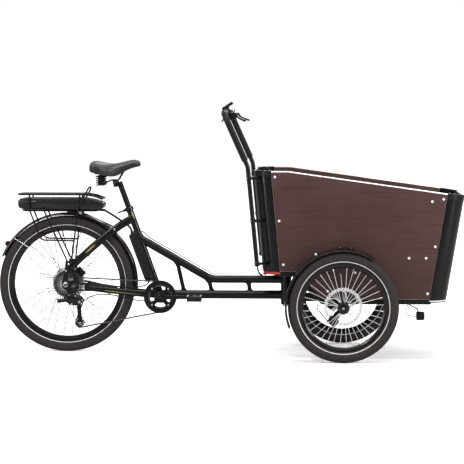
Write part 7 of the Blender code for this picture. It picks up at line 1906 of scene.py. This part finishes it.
def handlebar():
    made = Piece("handlebar_bent")
    lower = eased(BAR[:3], 0.080, 14)
    arch = eased([lower[-2]] + BAR[2:5], 0.060, 16)
    upper = eased([arch[-2]] + BAR[4:], 0.080, 14)
    made.add(SATIN, tube(lower[:-1] + arch[1:-1] + upper[1:], BAR_R, 32))
    for side in (-1, 1):
        foot, bend = (BAR[0], BAR[1]) if side < 0 else (BAR[5], BAR[4])
        along = (bend - foot).normalized()
        for height in (0.0365, 0.2375, 0.437):
            at = foot.lerp(bend, (RAISED + height - foot.z) / (bend.z - foot.z))
            collar = band_line(BAR_R - 0.0003, BAR_R + 0.0022, -0.009, 0.009, 0.0006, 0.0008)
            made.add(SATIN, ring(collar, at, along, 36))
            middle = Vector((rear_face(at.z) + CORNER_R, side * (HALF - CORNER_R), at.z))
            toward = (middle - at).normalized()
            face = middle - toward * (CORNER_R + 0.0004)
            made.add(SATIN, rod(at + toward * 0.006, face, 0.0066, 24))
            made.add(SATIN, turned([(0.0098, -0.0030), (0.0098, -0.0008), (0.0086, 0.0)], face, toward, 28))
            made.add(STEEL, *bolt(at - toward * (BAR_R + 0.0020), -toward, 0.0038, 0.0024))
        made.add(PLASTIC,
                 turned([(BAR_R - 0.0010, -0.0012), (BAR_R, -0.0004), (BAR_R, 0.006)], foot, along, 32))
    start = BAR[0] + (BAR[1] - BAR[0]).normalized() * 0.003
    end = Vector((KINGPIN.x - 0.004, -0.0303, HEAD_PLATE + 0.004))
    under = RAIL_REAR - RAIL_H - 0.006
    route = [start, BAR[0] + Vector((0.005, 0, -0.022)), (start.x + 0.022, start.y + 0.020, under + 0.010),
             (start.x + 0.055, start.y + 0.085, under), (end.x - 0.020, -0.120, under),
             (end.x - 0.002, -0.062, under + 0.001), end + Vector((0, -0.010, 0)), end]
    made.add(RUBBER, tube(smooth(route, 10), 0.004, 14))
    made.make("front", "satin_black", "handlebar")
    for tag, side in SIDES.items():
        sleeve = Piece("grip_" + tag + "_sleeve")
        foot = Vector((BAR[1].x, side * BAR_HALF_W, BAR[1].z)) + BAR_RISE * 0.030
        path = eased([foot, (BAR_X, side * BAR_HALF_W, BAR_Z), (BAR_X, side * 0.125, BAR_Z)], 0.060, 20)
        fine = []
        for a, b in zip(path, path[1:]):
            count = max(1, round((b - a).length / 0.0035))
            fine += [a.lerp(b, k / count) for k in range(count)]
        fine.append(path[-1])
        rows = []
        for k in range(len(fine)):
            end_in = min(k, len(fine) - 1 - k)
            r = 0.0125 if end_in == 0 else GRIP_R + (0.0002 if end_in < 4 else -0.0004 * (k % 3 == 0))
            rows.append(oval(r, r, 32))
        sleeve.add(RUBBER, swept(fine, rows))
        sleeve.make("front", "rubber", "grip_" + tag)


def band(y, width, outer):
    """Clamp round the bar's middle part."""
    return ring(band_line(BAR_R + 0.0003, outer, -width / 2, width / 2, 0.0012), (BAR_X, y, BAR_Z), sides=40)


BELL_AXIS = Vector(joints["bell_lever_flick"]["axis"]) * -1


def controls():
    x, z = BAR_X, BAR_Z
    for tag, side in SIDES.items():
        y = side * 0.100
        made = Piece("control_clamp_" + tag + "_cast")
        made.add(SATIN, band(y, 0.018, 0.0185))
        body = [(x + 0.012, z - 0.009), (x + 0.047, z - 0.009), (x + 0.0475, z - 0.018),
                (x + 0.040, z - 0.027), (x + 0.026, z - 0.0335), (x + 0.015, z - 0.0335),
                (x + 0.012, z - 0.026)]
        made.add(SATIN, prism(body, y - 0.0088, y + 0.0088, edge=0.0028))
        made.add(SATIN, block((x + 0.012, x + 0.034), (y - 0.0075, y + 0.0075), (z - 0.0085, z + 0.0035),
                              0.0030))
        made.add(STEEL, *bolt((x - 0.0182, y - 0.004, z), -RIGHT, 0.0026, 0.0018))
        if side < 0:
            for place in ((-0.070, 0.016, 0.020), (-0.042, 0.010, 0.017), (-0.085, 0.030, 0.0158),
                          (-0.056, 0.030, 0.0158)):
                made.add(PLASTIC, band(*place))
            made.add(CHROME, rod((x + 0.010, -0.042, z + 0.010), (x + 0.026, -0.042, z + 0.012), 0.004, 16))
            dome = [(0.0150, -0.0006), (0.0160, 0.0002), (0.0160, 0.0050), (0.0155, 0.0075), (0.0143, 0.0105),
                    (0.0122, 0.0135), (0.0092, 0.0158), (0.0055, 0.0173), (0.0030, 0.0178), (0.0030, 0.0186),
                    (0.0015, 0.0190)]
            made.add(CHROME, turned(dome, (x + 0.022, -0.042, z + 0.0125), BELL_AXIS, 48))
            pin = Vector((x + 0.022, -0.0205, z + 0.0125)) - BELL_AXIS * 0.0033
            made.add(STEEL, rod(pin - BELL_AXIS * 0.004, pin, 0.0045, 20, 0.0005))
            made.add(STEEL, rod((x + 0.017, -0.042, z + 0.0115), pin - BELL_AXIS * 0.0032, 0.0028, 12))
        made.make("front", "satin_black", "control_clamp_" + tag)
        hinge = Vector((x + 0.042, y, z - 0.0077))
        lever = Piece("brake_lever_" + tag + "_forged")
        lever.add(SATIN, turned([(0.0078, 0.0), (0.0085, 0.0006), (0.0085, 0.0084), (0.0078, 0.009)], hinge,
                                UP, 32))
        lever.add(STEEL, *bolt(hinge + UP * 0.0088, UP, 0.0040, 0.0018))
        path = smooth([hinge + Vector((0.002, side * 0.004, 0.0045)),
                       hinge + Vector((0.006, side * 0.0115, 0.0042)),
                       hinge + Vector((0.016, side * 0.032, -0.0112)),
                       hinge + Vector((0.034, side * 0.085, -0.0210)),
                       hinge + Vector((0.052, side * 0.135, -0.0280))], 10)
        rows = []
        for k in range(len(path)):
            t = k / (len(path) - 1)
            rows.append(oval(0.0050 + 0.0012 * t, 0.0038 + 0.0010 * min(1.0, 1.6 * t), 20, 0.8))
        lever.add(SATIN, swept(path, rows, side=RIGHT))
        lever.make("brake_lever_" + tag, "satin_black", "brake_lever_" + tag)
    shifter = Piece("shift_lever_thumb")
    hinge = Vector((x, -0.070, z))
    shifter.add(PLASTIC, ring(band_line(0.0205, 0.0245, -0.0064, 0.0064, 0.0007, 0.0008), hinge))
    a, b = Vector((x - 0.010, -0.070, z - 0.021)), Vector((x - 0.022, -0.070, z - 0.042))
    rows = [oval(w, h, 20, 0.7) for w, h in ((0.0045, 0.0030), (0.0050, 0.0032), (0.0056, 0.0040))]
    shifter.add(PLASTIC, swept([a, a.lerp(b, 0.5), b], rows, side=ACROSS))
    shifter.make("shift_lever", "plastic", "shift_lever")
    bell = Piece("bell_lever_striker")
    hinge = Vector((x + 0.022, -0.0205, z + 0.0125))
    bell.add(STEEL, rod(hinge - BELL_AXIS * 0.003, hinge + BELL_AXIS * 0.006, 0.004, 20, 0.0006))
    path = [hinge, hinge + Vector((0.002, 0.002, 0.010)), hinge + Vector((0.004, 0.004, 0.020))]
    rows = [oval(w, h, 12) for w, h in ((0.0022, 0.0022), (0.0024, 0.0024), (0.0028, 0.0022))]
    bell.add(PLASTIC, swept(path, rows, side=ACROSS))
    bell.make("bell_lever", "steel", "bell_lever")


def display():
    y = 0.030
    at = Vector((BAR_X + 0.006, y, BAR_Z + 0.025))
    foot, top = at.z + 0.004, at.z + 0.017

    def tilted(x, half, z, edge, middle=y):
        flat = block((at.x + x[0], at.x + x[1]), (middle - half, middle + half), z, edge)
        return spun(flat, at, 34)

    made = Piece("display_case")
    made.add(PLASTIC, tilted((-0.030, 0.030), 0.039, (foot, top - 0.0006), 0.0035))
    made.add(SCREEN, tilted((-0.0125, 0.0265), 0.0345, (top - 0.003, top), 0.0006))
    neck = (BAR_Z + 0.0135, at.z + 0.008)
    made.add(PLASTIC, block((BAR_X - 0.005, BAR_X + 0.007), (y - 0.009, y + 0.009), neck, 0.002))
    made.add(PLASTIC, band(y, 0.024, 0.0165))
    made.add(STEEL, *bolt((BAR_X - 0.0163, y, BAR_Z), -RIGHT, 0.0026, 0.0016))
    made.make("front", "screen", "display")
    keys = Piece("display_keys_row")
    for k in range(3):
        middle = y - 0.0092 + 0.0092 * k
        keys.add(RUBBER, tilted((-0.025, -0.017), 0.0042, (top - 0.0044, top + 0.0012), 0.0010, middle))
    keys.add(RUBBER, tilted((-0.0248, -0.0172), 0.0138, (top - 0.0044, top - 0.0004), 0.0004))
    keys.make("display_keys", "plastic", "display_keys")


def headlight():
    low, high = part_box("headlight")
    size = 0.040
    x, z = high.x - size / 2, low.z + size / 2
    made = Piece("headlight_case")
    made.add(PLASTIC, block((x - 0.0200, x + 0.0165), (-0.020, 0.020), (z - 0.020, z + 0.020), 0.005))
    bezel = [(0.0188, x - 0.002), (0.0195, x + 0.0180), (0.0188, x + 0.0198), (0.0172, x + 0.0198),
             (0.0168, x + 0.0180)]
    glass = [(0.0169, x + 0.0160), (0.0169, x + 0.0176), (0.0110, x + 0.0190), (0.0040, x + 0.0196)]
    for material, profile in ((PLASTIC, bezel), (LAMP_GLASS, glass)):
        made.add(material, turned(profile, (0, 0, z), RIGHT))
    for k in range(3):
        fin = (x - 0.016 + k * 0.007, x - 0.013 + k * 0.007)
        made.add(PLASTIC, block(fin, (-0.0175, 0.0175), (z + 0.0190, z + 0.0204), 0.0004))
    under = LOW - 0.0406
    bracket = [(x - 0.052, 0.010, under), (x - 0.052, 0.010, under - 0.018), (x - 0.012, 0.010, z + 0.032),
               (x - 0.012, 0.010, z + 0.016)]
    made.add(SATIN, tube(eased(bracket, 0.006, 6), 0.003, 14))
    lead = [(x - 0.060, -0.006, under), (x - 0.062, -0.006, under - 0.022),
            (x - 0.070, -0.004, under - 0.046), (x - 0.058, -0.002, z + 0.004), (x - 0.036, 0.0, z - 0.002),
            (x - 0.016, 0.0, z - 0.001)]
    made.add(RUBBER, tube(smooth(lead), 0.002, 10))
    made.make("front", "plastic", "headlight")


for tag, side in SIDES.items():
    box_side(tag, side)
box_ends()
box_inside()
box_corners()
subframe()
calipers()
fenders()
handlebar()
controls()
display()
headlight()
